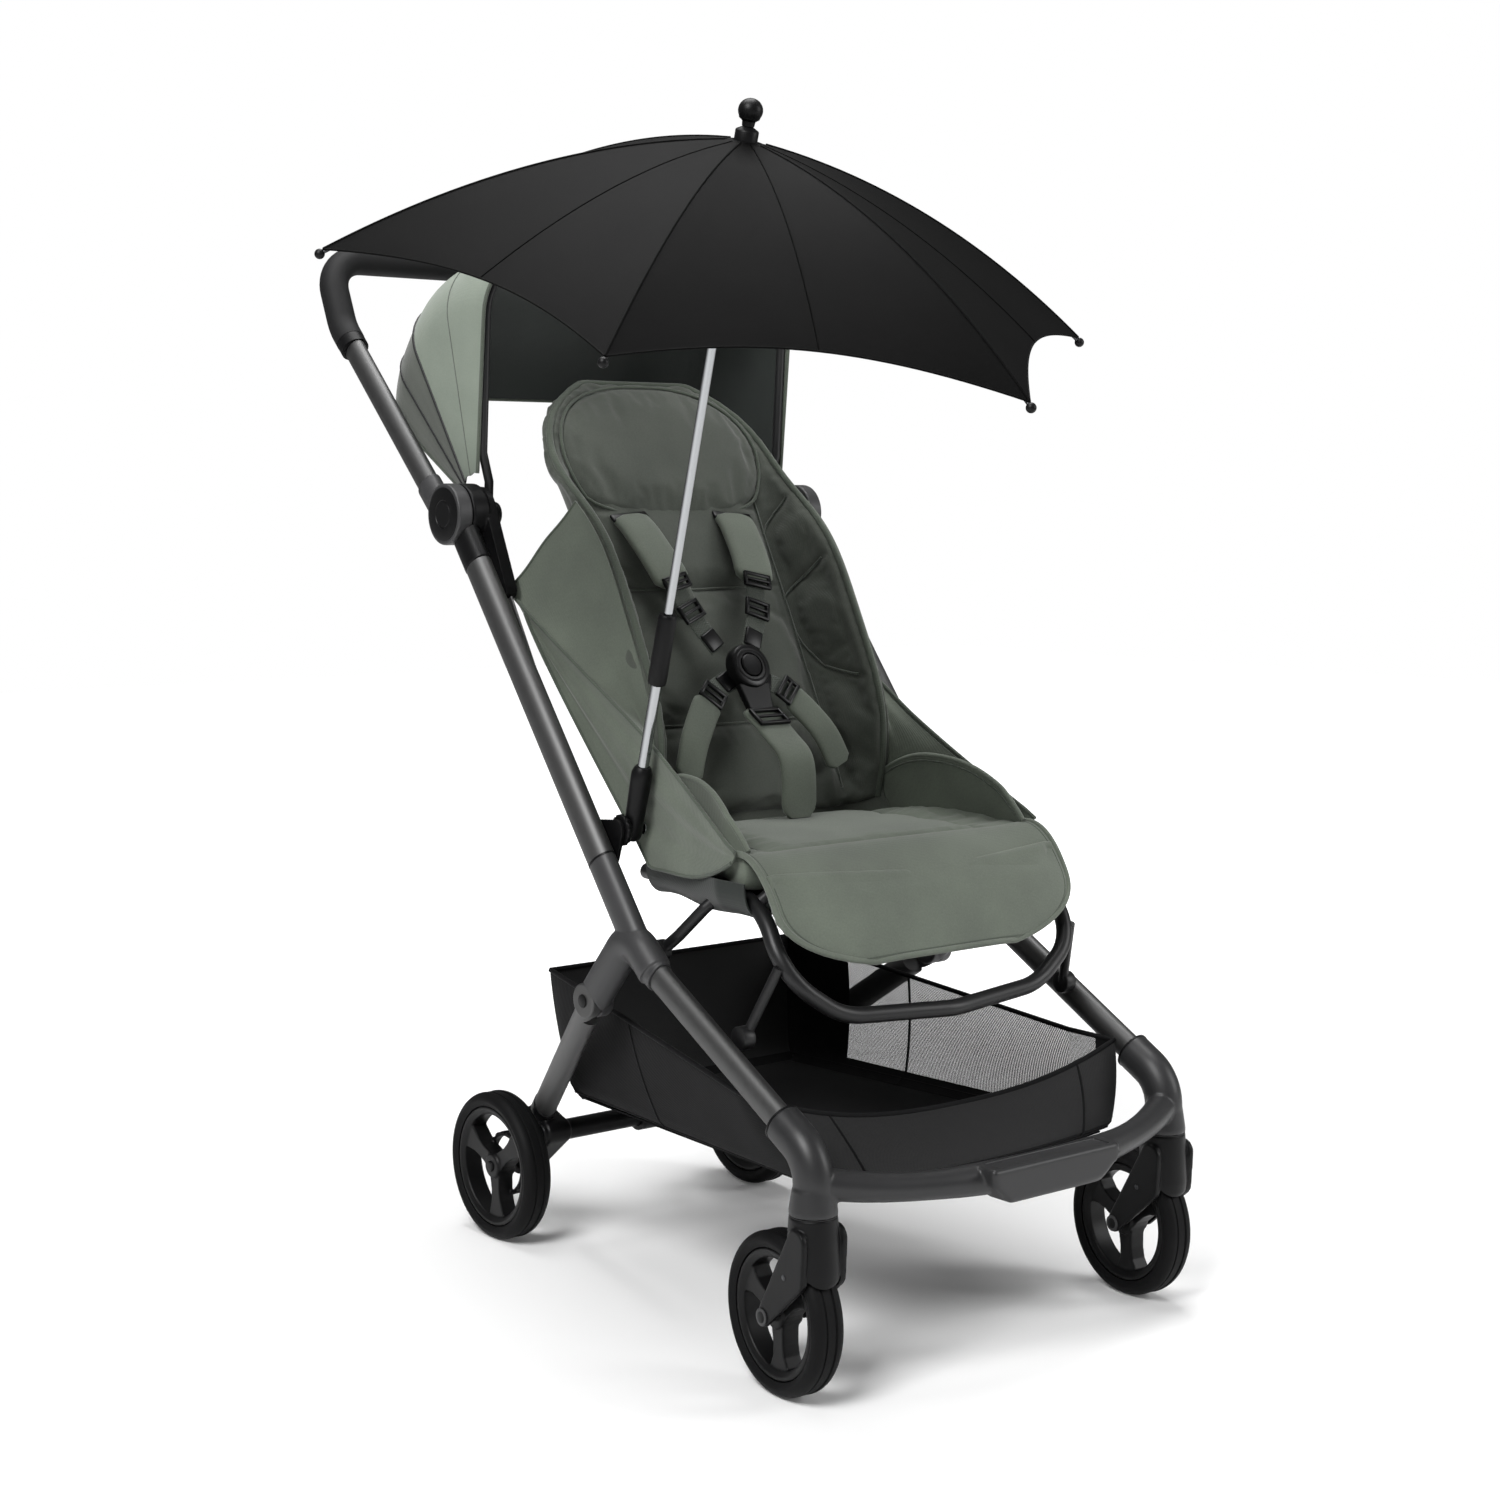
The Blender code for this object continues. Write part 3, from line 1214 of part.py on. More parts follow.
def lower_parasol(frame):
    """The grip on the tilt pin, the outer tube and the locking sleeve, bored for the sliding shaft."""
    grip = turned(
        "parasol_grip",
        [(0, SLEEVE_Z[1]), (0.0078, SLEEVE_Z[1]), (0.0086, SLEEVE_Z[1] - 0.004),
         (0.0086, SLEEVE_Z[0] + 0.003), (0.0075, SLEEVE_Z[0]),
         (SLEEVE_TUBE_RADIUS, SLEEVE_Z[0]), (SLEEVE_TUBE_RADIUS, GRIP_Z[1]),
         (0.0072, GRIP_Z[1]), (GRIP_RADIUS, GRIP_Z[1] - 0.006), (GRIP_FOOT_RADIUS, GRIP_Z[0]),
         (GRIP_FOOT_RADIUS, -0.004), (0.0060, -0.0100), (0, -0.0120)],
        16, parent=frame,
    )
    bore_ends = [(0, 0, GRIP_Z[0]), (0, 0, SLEEVE_Z[1] + 0.01)]
    bore = rod("shaft_bore", SHAFT_RADIUS + PARASOL_GAP, *bore_ends, (0, 0, 0), 20, parent=frame)
    eye_ends = [(-0.03, 0, 0), (0.03, 0, 0)]
    eye = rod("pin_bore", PIN_RADIUS + PARASOL_GAP, *eye_ends, (0, 0, 0), 16, parent=frame)
    cut(grip, bore, eye)
    finish(grip, "black")


def upper_parasol(frame):
    """The sliding shaft with its crown and ball finial, and the runner on it."""
    top = SHAFT_LENGTH
    pivot_z = rib_point(0, 0, RIB_BELOW).z
    shaft = turned(
        "parasol_shaft",
        [(0, top + 0.0340), (0.0055, top + 0.0335), (0.0092, top + 0.0290), (0.0104, top + 0.0235),
         (0.0090, top + 0.0175), (0.0058, top + 0.0140), (0.0052, top + 0.0105), (0.0099, top + 0.0075),
         (0.0099, pivot_z + RIB_THICK + GAP), (0.0060, pivot_z + RIB_THICK - 0.0006),
         (0.0060, pivot_z - 0.0100),
         (SHAFT_RADIUS, pivot_z - 0.0125), (SHAFT_RADIUS, SHAFT_FOOT), (0, SHAFT_FOOT)],
        16, parent=frame,
    )
    finish(shaft, "chrome")
    level = top - RUNNER_OPEN
    runner = turned(
        "parasol_runner",
        [(0.0068, level + 0.010), (0.0070, level + 0.0022), (0.0085, level + 0.0018),
         (0.0085, level - 0.0018), (0.0070, level - 0.0022), (0.0066, level - 0.020),
         (0.0056, level - 0.024),
         (SHAFT_RADIUS + RUNNING_GAP, level - 0.024), (SHAFT_RADIUS + RUNNING_GAP, level + 0.010)],
        16, parent=frame, ring=True,
    )
    finish(runner, "black")


def parasol_arm(k, frame):
    """One rib with its ball tip, and the stretcher that props it."""
    phase = RIB_PHASE + 2 * math.pi * k / RIBS
    radial = Vector((math.cos(phase), math.sin(phase), 0))
    shares = [0.0, 0.14, 0.30, 0.48, 0.66, 0.83, 0.982, 0.989, 1.001, 1.012]
    sizes = [1, 1, 1, 1, 1, 1, 1, 2.2, 2.7, 1.2]
    pivot = rib_point(0, phase, RIB_BELOW)
    holder = empty(f"rib_pivot_{k + 1}", pivot, parent=frame)
    local = [rib_point(s, phase, RIB_BELOW) - pivot for s in shares]
    rib = rail(f"parasol_rib_{k + 1}", local, RIB_THICK, sides=6, radii=sizes, parent=holder)
    finish(rib, "steel")
    joint = rib_point(STRETCHER_ON_RIB, phase, RIB_BELOW + STRETCHER_BELOW) - radial * 0.0012
    low = Vector((0, 0, SHAFT_LENGTH - RUNNER_OPEN)) + radial * RUNNER_PIN
    knuckle = empty(f"stretcher_pivot_{k + 1}", joint, parent=frame)
    line = (low - joint).normalized()
    ends = [-line * STRETCHER_NOSE, low - joint + line * STRETCHER_NOSE]
    bar = rail(f"parasol_stretcher_{k + 1}", ends, STRETCHER_THICK, sides=6, parent=knuckle)
    finish(bar, "steel")


def parasol_cloth(frame):
    """Six panels, each straight from rib to rib, with a hollowed edge."""
    per_panel = 4
    columns = RIBS * per_panel

    def cloth(u, v):
        spot = round(u * columns)
        panel = (spot // per_panel) % RIBS
        share = (spot % per_panel) / per_panel
        s = v * (0.985 - SCALLOP * 4 * share * (1 - share))
        first = RIB_PHASE + 2 * math.pi * panel / RIBS
        if v == 0:
            turn = first + 2 * math.pi / RIBS * share
            return Vector((CLOTH_HOLE * math.cos(turn), CLOTH_HOLE * math.sin(turn), rib_point(0, 0).z))
        return rib_point(s, first).lerp(rib_point(s, first + 2 * math.pi / RIBS), share)

    cover = sheet("parasol_canopy", cloth, columns, 6, FABRIC_THICK, closed_u=True, parent=frame)
    finish(cover, "satin")


def parasol_bracket():
    """A saddle on the right side tube with the tilt pin, and the toothed clamping knob on that pin."""
    pin = Vector(PARASOL_PIN)
    foot = Vector(KNEE)
    spot = foot + MID_LINE * (Vector((pin.y, pin.z)) - foot).dot(MID_LINE)
    face = TUBE_X - MID_TUBE[1] / 2 - GAP
    saddle = hull_plate(
        "parasol_bracket", -1,
        [((spot.x, spot.y), 0.0110), (step_along(spot, MID_LINE, 0.014), 0.0090),
         (step_along(spot, MID_LINE, -0.014), 0.0090), ((pin.y, pin.z), 0.0100)],
        (face - 0.0040, face),
    )
    tip = pin.x + GRIP_RADIUS + 0.0026
    pin_ends = [(-face + 0.002, pin.y, pin.z), (tip - 0.0020, pin.y, pin.z)]
    head_ends = [(pin.x + GRIP_FOOT_RADIUS + 0.0008, pin.y, pin.z), (tip, pin.y, pin.z)]
    pivot = rod("tilt_pin", PIN_RADIUS, *pin_ends, sides=16)
    join(saddle, pivot, rod("tilt_pin_head", 0.0062, *head_ends, sides=16))
    finish(saddle, "black")

    outline = []
    for i in range(4 * KNOB_TEETH):
        r = KNOB_RADIUS if i % 4 < 2 else KNOB_RADIUS - 0.0009
        angle = 2 * math.pi * i / (4 * KNOB_TEETH)
        outline.append((r * math.cos(angle), r * math.sin(angle)))
    start = -face + 0.0040 + GAP
    end = pin.x - GRIP_FOOT_RADIUS - 0.0006
    knob_base = ((start + end) / 2, pin.y, pin.z)
    knob = plate("parasol_knob", outline, end - start, knob_base, (0, math.pi / 2, 0))
    bore_ends = [(start - 0.005, pin.y, pin.z), (end + 0.005, pin.y, pin.z)]
    cut(knob, rod("knob_bore", PIN_RADIUS + GAP, *bore_ends, sides=20))
    finish(knob, "black")


def brace_bars():
    """A thin flat bar behind each middle tube, from the hub bracket to the knee joint."""
    line = direction((-0.069, 0.6545), (-0.272, 0.336))
    top = step_along(HUB_ARM_TIP, line, HUB_ARM_TIP_RADIUS + GAP)
    for side in (-1, 1):
        end = side_name(side)
        start = (side * (TUBE_X - 0.0225), *top)
        low = (side * (TUBE_X - 0.0179), -0.272, 0.336)
        bar = oval_tube(f"link_bar_{end}", [start, low], (0.0095, 0.0040), start, 8)
        finish(bar, "anodised")


for each_side in (-1, 1):
    side_frame(each_side)
handle()
brace_bars()
front_bar()
casters()
rear_axle()
seat()
side_panels()
harness()
hood()
basket()
parasol()
bpy.context.view_layer.update()
print("pieces", len([o for o in PARTS.objects if o.type in {"MESH", "CURVE"}]))
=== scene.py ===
# %% [markdown]
# # A compact folding stroller with a clamp-on parasol
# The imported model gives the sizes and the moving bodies. This notebook dresses it: smooth tubes and
# mouldings, padded cloth, webbing, net and a taut parasol. All lengths are metres, +Z is up, the front
# faces -Y and +X is the seated child's left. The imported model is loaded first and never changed, so
# every new piece can be placed by the same measures.

import json
import math

import bpy
import numpy as np
from mathutils import Euler, Matrix, Vector
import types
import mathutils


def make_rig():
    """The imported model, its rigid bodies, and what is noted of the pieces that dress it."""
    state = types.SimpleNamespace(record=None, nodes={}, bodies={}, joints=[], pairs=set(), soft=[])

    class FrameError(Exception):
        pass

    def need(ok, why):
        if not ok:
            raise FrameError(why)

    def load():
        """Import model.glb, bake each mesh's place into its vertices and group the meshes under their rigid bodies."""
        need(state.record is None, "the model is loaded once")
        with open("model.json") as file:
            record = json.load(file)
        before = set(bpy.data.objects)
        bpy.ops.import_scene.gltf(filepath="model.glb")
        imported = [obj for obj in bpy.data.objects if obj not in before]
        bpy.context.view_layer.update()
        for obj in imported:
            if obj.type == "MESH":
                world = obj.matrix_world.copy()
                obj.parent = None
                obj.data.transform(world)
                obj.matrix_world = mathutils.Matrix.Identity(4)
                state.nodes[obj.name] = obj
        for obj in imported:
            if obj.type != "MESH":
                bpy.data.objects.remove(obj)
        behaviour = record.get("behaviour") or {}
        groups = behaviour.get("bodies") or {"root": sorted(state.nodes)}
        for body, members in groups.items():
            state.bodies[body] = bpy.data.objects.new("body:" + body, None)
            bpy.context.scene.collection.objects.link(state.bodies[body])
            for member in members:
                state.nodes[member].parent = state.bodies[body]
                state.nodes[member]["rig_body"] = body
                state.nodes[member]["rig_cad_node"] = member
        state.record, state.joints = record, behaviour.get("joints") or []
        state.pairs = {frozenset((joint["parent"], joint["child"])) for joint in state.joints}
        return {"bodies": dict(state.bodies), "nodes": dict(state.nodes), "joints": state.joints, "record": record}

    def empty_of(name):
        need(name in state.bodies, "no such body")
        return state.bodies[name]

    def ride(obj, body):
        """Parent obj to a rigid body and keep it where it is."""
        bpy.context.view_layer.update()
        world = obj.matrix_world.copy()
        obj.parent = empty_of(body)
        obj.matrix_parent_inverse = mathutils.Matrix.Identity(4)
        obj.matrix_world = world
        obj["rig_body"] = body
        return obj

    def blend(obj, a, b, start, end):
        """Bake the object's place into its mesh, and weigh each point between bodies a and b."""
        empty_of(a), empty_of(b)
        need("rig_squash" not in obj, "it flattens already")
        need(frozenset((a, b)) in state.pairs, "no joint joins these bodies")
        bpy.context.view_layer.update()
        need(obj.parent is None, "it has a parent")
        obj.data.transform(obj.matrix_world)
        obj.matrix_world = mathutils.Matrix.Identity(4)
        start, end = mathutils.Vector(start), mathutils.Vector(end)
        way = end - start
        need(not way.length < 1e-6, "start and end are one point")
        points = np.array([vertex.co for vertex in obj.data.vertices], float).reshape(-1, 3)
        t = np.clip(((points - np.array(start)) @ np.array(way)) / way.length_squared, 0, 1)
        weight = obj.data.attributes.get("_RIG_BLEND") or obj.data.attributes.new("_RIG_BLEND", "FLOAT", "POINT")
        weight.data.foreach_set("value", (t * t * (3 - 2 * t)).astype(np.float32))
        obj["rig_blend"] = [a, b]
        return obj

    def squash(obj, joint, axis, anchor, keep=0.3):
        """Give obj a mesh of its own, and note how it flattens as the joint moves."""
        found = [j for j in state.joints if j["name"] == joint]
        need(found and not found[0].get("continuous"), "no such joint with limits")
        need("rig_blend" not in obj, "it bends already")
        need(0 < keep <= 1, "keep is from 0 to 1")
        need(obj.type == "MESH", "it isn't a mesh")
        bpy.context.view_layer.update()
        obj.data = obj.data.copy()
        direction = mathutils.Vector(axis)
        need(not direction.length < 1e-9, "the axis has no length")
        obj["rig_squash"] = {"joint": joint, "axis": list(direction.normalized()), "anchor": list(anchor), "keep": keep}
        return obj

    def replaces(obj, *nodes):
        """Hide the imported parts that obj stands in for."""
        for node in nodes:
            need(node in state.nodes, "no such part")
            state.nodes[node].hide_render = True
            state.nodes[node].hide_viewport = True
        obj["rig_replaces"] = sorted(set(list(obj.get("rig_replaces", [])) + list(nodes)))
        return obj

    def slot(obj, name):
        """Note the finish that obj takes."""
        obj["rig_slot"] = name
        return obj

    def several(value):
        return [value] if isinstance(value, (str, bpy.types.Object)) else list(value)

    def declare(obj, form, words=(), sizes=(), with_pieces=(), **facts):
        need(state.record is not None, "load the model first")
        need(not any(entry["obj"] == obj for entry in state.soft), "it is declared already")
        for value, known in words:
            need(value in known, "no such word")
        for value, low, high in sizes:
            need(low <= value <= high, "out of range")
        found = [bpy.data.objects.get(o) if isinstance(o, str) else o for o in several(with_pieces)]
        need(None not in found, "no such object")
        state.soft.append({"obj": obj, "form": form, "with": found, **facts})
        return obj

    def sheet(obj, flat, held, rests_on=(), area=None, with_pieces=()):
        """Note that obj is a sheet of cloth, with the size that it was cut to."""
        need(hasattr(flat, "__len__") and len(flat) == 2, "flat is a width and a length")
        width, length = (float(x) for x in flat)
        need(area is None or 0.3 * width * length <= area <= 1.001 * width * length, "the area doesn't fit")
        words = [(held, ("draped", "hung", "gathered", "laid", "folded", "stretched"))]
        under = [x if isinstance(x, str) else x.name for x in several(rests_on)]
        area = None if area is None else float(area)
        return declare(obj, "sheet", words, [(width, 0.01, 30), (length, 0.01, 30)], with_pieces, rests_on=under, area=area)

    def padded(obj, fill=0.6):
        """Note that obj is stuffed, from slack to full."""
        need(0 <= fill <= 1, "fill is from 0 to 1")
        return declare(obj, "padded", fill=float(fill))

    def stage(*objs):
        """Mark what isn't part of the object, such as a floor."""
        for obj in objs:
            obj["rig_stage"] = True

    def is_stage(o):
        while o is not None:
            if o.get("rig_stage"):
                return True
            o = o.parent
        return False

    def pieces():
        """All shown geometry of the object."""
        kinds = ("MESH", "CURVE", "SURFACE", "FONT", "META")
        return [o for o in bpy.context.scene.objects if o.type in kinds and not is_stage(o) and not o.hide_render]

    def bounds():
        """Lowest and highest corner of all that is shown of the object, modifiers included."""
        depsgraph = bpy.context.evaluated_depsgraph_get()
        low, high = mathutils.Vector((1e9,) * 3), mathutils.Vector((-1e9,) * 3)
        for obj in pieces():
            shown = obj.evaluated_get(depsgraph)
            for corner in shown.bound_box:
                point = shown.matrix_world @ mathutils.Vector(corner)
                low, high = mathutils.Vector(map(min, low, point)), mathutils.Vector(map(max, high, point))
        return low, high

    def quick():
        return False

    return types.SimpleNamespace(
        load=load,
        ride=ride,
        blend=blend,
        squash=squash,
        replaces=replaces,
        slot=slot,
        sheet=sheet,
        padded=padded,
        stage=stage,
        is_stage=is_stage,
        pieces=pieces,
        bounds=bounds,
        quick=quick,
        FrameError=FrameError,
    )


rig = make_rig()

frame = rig.load()
cad_box = [[float(v) for v in corner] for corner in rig.bounds()]
nodes = frame["nodes"]
print("bodies", len(frame["bodies"]), "pieces", len(nodes), "box", cad_box)

# %% [markdown]
# ## Camera
# The photograph was taken from the right front at chest height. A camera fitted to points that can be
# recognised on both gives its place, its aim and its lens, and it is made first so that every later
# step can be judged from the same spot.

# %% Camera
CAMERA_SPOT = Vector((-1.4406, -2.0348, 0.7505))
CAMERA_TURN = math.radians(-38.20)
CAMERA_DOWN = math.radians(5.99)

camera_data = bpy.data.cameras.new("camera")
camera_data.lens = 57.56
camera_data.sensor_width = 36
camera_data.clip_start = 0.05
camera = bpy.data.objects.new("camera", camera_data)
bpy.context.scene.collection.objects.link(camera)
camera.location = CAMERA_SPOT
camera.rotation_euler = (math.pi / 2 - CAMERA_DOWN, 0, CAMERA_TURN)
bpy.context.scene.camera = camera
bpy.context.scene.view_settings.view_transform = "Standard"
print("lens", camera_data.lens, "mm")

# %% [markdown]
# ## Hands
# A few small helpers stand for what a modeller does by hand all the time: drop the selection, pick one
# piece, go into edit mode, apply what has been set up, and shade by the angle between faces. Every
# operator acts on the whole selection, so each helper starts by clearing it.

# %% Selecting and applying
def pick(*pieces):
    if bpy.context.object is not None and bpy.context.object.mode != "OBJECT":
        bpy.ops.object.mode_set(mode="OBJECT")
    bpy.ops.object.select_all(action="DESELECT")
    for piece in pieces:
        piece.select_set(True)
    bpy.context.view_layer.objects.active = pieces[0]


def edit_all(piece):
    pick(piece)
    bpy.ops.object.mode_set(mode="EDIT")
    bpy.ops.mesh.select_all(action="SELECT")


def done():
    bpy.ops.object.mode_set(mode="OBJECT")


def settle(piece):
    """Moves a piece's place, turn and size into its mesh."""
    pick(piece)
    bpy.ops.object.transform_apply(location=True, rotation=True, scale=True)
    return piece


def modify(piece, kind, **settings):
    """Adds a modifier and applies it at once."""
    pick(piece)
    change = piece.modifiers.new(kind.lower(), kind)
    for key, value in settings.items():
        setattr(change, key, value)
    bpy.ops.object.modifier_apply(modifier=change.name)
    return piece


def shade(piece, angle=38):
    pick(piece)
    bpy.ops.object.shade_smooth_by_angle(angle=math.radians(angle))
    return piece


def from_points(name, points, edges=(), faces=()):
    mesh = bpy.data.meshes.new(name)
    mesh.from_pydata([tuple(p) for p in points], list(edges), list(faces))
    made = bpy.data.objects.new(name, mesh)
    bpy.context.scene.collection.objects.link(made)
    return made


def outward(piece, merge=0.0):
    """Joins points closer than merge, if given, and makes every face look outward."""
    edit_all(piece)
    if merge:
        bpy.ops.mesh.remove_doubles(threshold=merge)
    bpy.ops.mesh.normals_make_consistent(inside=False)
    done()
    return piece


def hull(name, points, edge=0.0):
    """The convex hull round points, with bevelled edges."""
    made = from_points(name, points)
    edit_all(made)
    bpy.ops.mesh.convex_hull()
    if edge:
        bpy.ops.mesh.bevel(offset=edge, segments=3, affect="EDGES")
    done()
    return made


def weld(name, pieces):
    """Joins pieces into one mesh."""
    pick(*pieces)
    if len(pieces) > 1:
        bpy.ops.object.join()
    made = bpy.context.object
    made.name = name
    return made


# %% [markdown]
# ## Shapes of a frame maker
# A stroller's frame is drawn tube, turned pins and moulded plastic. Tube is a curve with a round
# section, squeezed where the real tube is oval. Turned pieces are a profile spun about an axis in edit
# mode. Mouldings start as overlapping solids: a fine voxel remesh fuses them and a light smooth gives
# every inner corner the fillet that a mould needs.

# %% Tube, lathe, arm and moulding
def round_path(points, radius, steps=8):
    """A path with its corners rounded to a radius."""
    path = [Vector(p) for p in points]
    made = [path[0]]
    for before, corner, after in zip(path, path[1:], path[2:]):
        a = (before - corner).normalized()
        b = (after - corner).normalized()
        if a.angle(b) > math.radians(177):
            made.append(corner)
            continue
        half = a.angle(b) / 2
        reach = radius / math.tan(half)
        reach = min(reach, 0.49 * (before - corner).length, 0.49 * (after - corner).length)
        middle = corner + (a + b).normalized() * (reach / math.cos(half))
        start = corner + a * reach - middle
        end = corner + b * reach - middle
        turn = start.angle(end)
        for i in range(steps + 1):
            share = i / steps
            line = start * math.sin((1 - share) * turn) + end * math.sin(share * turn)
            made.append(middle + line / math.sin(turn))
    made.append(path[-1])
    return made


def tube(name, points, radius, sides=32, flat=1.0, radii=None, closed=False):
    """A bar along points. flat squeezes its section along X, with its middle line kept in place."""
    base = Vector(points[0]).x
    curve = bpy.data.curves.new(name, "CURVE")
    curve.dimensions = "3D"
    curve.bevel_depth = radius
    curve.bevel_resolution = (sides - 4) // 2
    curve.use_fill_caps = True
    spline = curve.splines.new("POLY")
    spline.points.add(len(points) - 1)
    spline.use_cyclic_u = closed
    for i, point in enumerate(points):
        x, y, z = point
        spline.points[i].co = (base + (x - base) / flat, y, z, 1)
        spline.points[i].radius = radii[i] if radii else 1
    made = bpy.data.objects.new(name, curve)
    bpy.context.scene.collection.objects.link(made)
    pick(made)
    bpy.ops.object.convert(target="MESH")
    made = bpy.context.object
    edit_all(made)
    bpy.ops.mesh.remove_doubles(threshold=0.00001)
    bpy.ops.transform.resize(value=(flat, 1, 1), center_override=(base, 0, 0))
    done()
    return made


def lathe(name, profile, centre=(0, 0, 0), axis=(0, 0, 1), steps=64):
    """A profile of (radius, height) points spun about an axis through centre."""
    points = [(r, 0, h) for r, h in profile]
    made = from_points(name, points, [(i, i + 1) for i in range(len(points) - 1)])
    edit_all(made)
    bpy.ops.mesh.spin(steps=steps, angle=2 * math.pi, center=(0, 0, 0), axis=(0, 0, 1))
    outward(made, 0.000005)
    turn = Vector(axis).to_track_quat("Z", "Y").to_matrix().to_4x4()
    made.matrix_world = Matrix.Translation(centre) @ turn
    return settle(made)


def disc(name, centre, axis, radius, thick, edge=0.001, steps=64):
    """A solid disc whose rims are rounded, from centre along axis."""
    rim = [(radius - edge, 0), (radius - edge * 0.3, edge * 0.3), (radius, edge)]
    profile = [(0, 0)] + rim + [(r, thick - h) for r, h in reversed(rim)] + [(0, thick)]
    return lathe(name, profile, centre, axis, steps)


def arm(name, rounds, low, high, steps=40):
    """The hull round discs given as ((y, z), radius), between x = low and x = high."""
    low, high = sorted((low, high))
    points = []
    for (y, z), radius in rounds:
        for i in range(steps):
            angle = 2 * math.pi * i / steps
            for x in (low, high):
                points.append((x, y + radius * math.cos(angle), z + radius * math.sin(angle)))
    return hull(name, points)


def block(name, size, centre, turn=(0, 0, 0), edge=0.0, steps=3):
    """A cube at its size, with bevelled edges."""
    bpy.ops.object.select_all(action="DESELECT")
    bpy.ops.mesh.primitive_cube_add(size=1, location=centre, rotation=turn)
    made = bpy.context.object
    made.name = name
    made.scale = size
    settle(made)
    if edge:
        edit_all(made)
        bpy.ops.mesh.bevel(offset=edge, segments=steps, affect="EDGES")
        done()
    return made


def moulding(name, pieces, voxel=0.0009, rounds=5):
    """Overlapping solids fused into one moulded body with small fillets."""
    made = weld(name, pieces)
    modify(made, "REMESH", mode="VOXEL", voxel_size=voxel)
    modify(made, "SMOOTH", factor=0.5, iterations=rounds)
    return made


def carve(piece, cutter):
    """Takes one solid out of another."""
    modify(piece, "BOOLEAN", operation="DIFFERENCE", object=cutter, solver="EXACT")
    bpy.data.objects.remove(cutter, do_unlink=True)
    return piece


# %% [markdown]
# ## Finishes
# Each material is named for what the real one is made of and how its surface was made. Colours are
# written as sRGB hex and turned linear in one place. One helper adds a node with its settings and
# links. Patterns are sized in millimetres.

# %% Colour and node helpers
MM = 1000.0


def linear(code):
    values = [int(code[i : i + 2], 16) / 255 for i in (1, 3, 5)]
    return (*[v / 12.92 if v <= 0.04045 else ((v + 0.055) / 1.055) ** 2.4 for v in values], 1.0)


def feed(tree, node, feeds):
    """Links or sets a node's sockets. Another node stands for its own first output."""
    for key, value in feeds.items():
        if isinstance(value, bpy.types.Node):
            value = value.outputs[0]
        if isinstance(value, bpy.types.NodeSocket):
            tree.links.new(value, node.inputs[key])
        else:
            node.inputs[key].default_value = value
    return node


def add(tree, kind, feeds=None, **settings):
    """Adds a node with its settings and links."""
    made = tree.nodes.new("ShaderNode" + kind)
    for key, value in settings.items():
        setattr(made, key, value)
    return feed(tree, made, feeds or {})


def start_material(name, **values):
    made = bpy.data.materials.new(name)
    made.use_nodes = True
    shader = made.node_tree.nodes["Principled BSDF"]
    for key, value in values.items():
        shader.inputs[key.replace("_", " ")].default_value = value
    return made, made.node_tree, shader


def ramp(tree, factor, low, high, at=(0.3, 0.7)):
    """Two colours across a pattern."""
    made = add(tree, "ValToRGB", {"Fac": factor})
    for stop, place, colour in zip(made.color_ramp.elements, at, (low, high)):
        stop.position = place
        stop.color = colour
    return made


# %% [markdown]
# ### Metals and plastics
# The side tubes are aluminium, anodised a dark satin grey: a metal whose gloss is broken by a very fine
# brushed grain. The joints are glass-filled nylon and the small fittings acetal, both with the fine
# spark-eroded grain of a mould. A noise of a fraction of a millimetre drives a shallow bump and a small
# change of roughness, which is what keeps moulded plastic from looking like paint.

# %% Metal and plastic
def moulded(name, colour, roughness, grain_mm=0.5, depth=0.00004, cloudy=0.05, gloss=0.4):
    made, tree, shader = start_material(name, Roughness=roughness, IOR=1.5, Specular_IOR_Level=gloss)
    place = add(tree, "TexCoord").outputs["Object"]
    grain = add(tree, "TexNoise", {"Vector": place, "Scale": MM / grain_mm, "Detail": 3.0})
    cloud = add(tree, "TexNoise", {"Vector": place, "Scale": MM / 45, "Detail": 3.0})
    dark = [v * (1 - cloudy) for v in linear(colour)[:3]]
    light = [v * (1 + cloudy * 2) for v in linear(colour)[:3]]
    tone = ramp(tree, cloud, (*dark, 1), (*light, 1))
    rough = add(tree, "MapRange", {"Value": cloud, "To Min": roughness - 0.05, "To Max": roughness + 0.07})
    bump = add(tree, "Bump", {"Height": grain, "Distance": depth, "Strength": 0.6})
    feed(tree, shader, {"Base Color": tone, "Roughness": rough, "Normal": bump})
    return made


def satin_metal(name, colour, roughness, grain_mm, stretch):
    """Anodised or plated metal with a fine grain drawn out along stretch."""
    made, tree, shader = start_material(name, Metallic=1.0, Roughness=roughness)
    place = add(tree, "TexCoord").outputs["Object"]
    drawn = add(tree, "Mapping", {"Vector": place, "Scale": stretch})
    grain = add(tree, "TexNoise", {"Vector": drawn, "Scale": MM / grain_mm, "Detail": 4.0})
    dark = [0.92 * v for v in linear(colour)[:3]]
    tone = ramp(tree, grain, (*dark, 1), linear(colour))
    rough = add(tree, "MapRange", {"Value": grain, "To Min": roughness - 0.04, "To Max": roughness + 0.05})
    bump = add(tree, "Bump", {"Height": grain, "Distance": 0.00002, "Strength": 0.35})
    feed(tree, shader, {"Base Color": tone, "Roughness": rough, "Normal": bump})
    return made


# Anodised aluminium: metal under a dyed oxide, so dark, satin and never mirror-like
anodised = satin_metal("anodised_aluminium_dark", "#5f5f5f", 0.52, 0.7, (1, 0.15, 0.15))
# Powder-coated steel tube: slightly orange-peeled black
coated = moulded("powder_coated_tube_black", "#121213", 0.42, 1.6, 0.00005)
# Glass-filled nylon, moulded and spark-eroded: the big joints and corners
nylon = moulded("glass_filled_nylon_grey", "#313132", 0.46, 0.6, gloss=0.45)
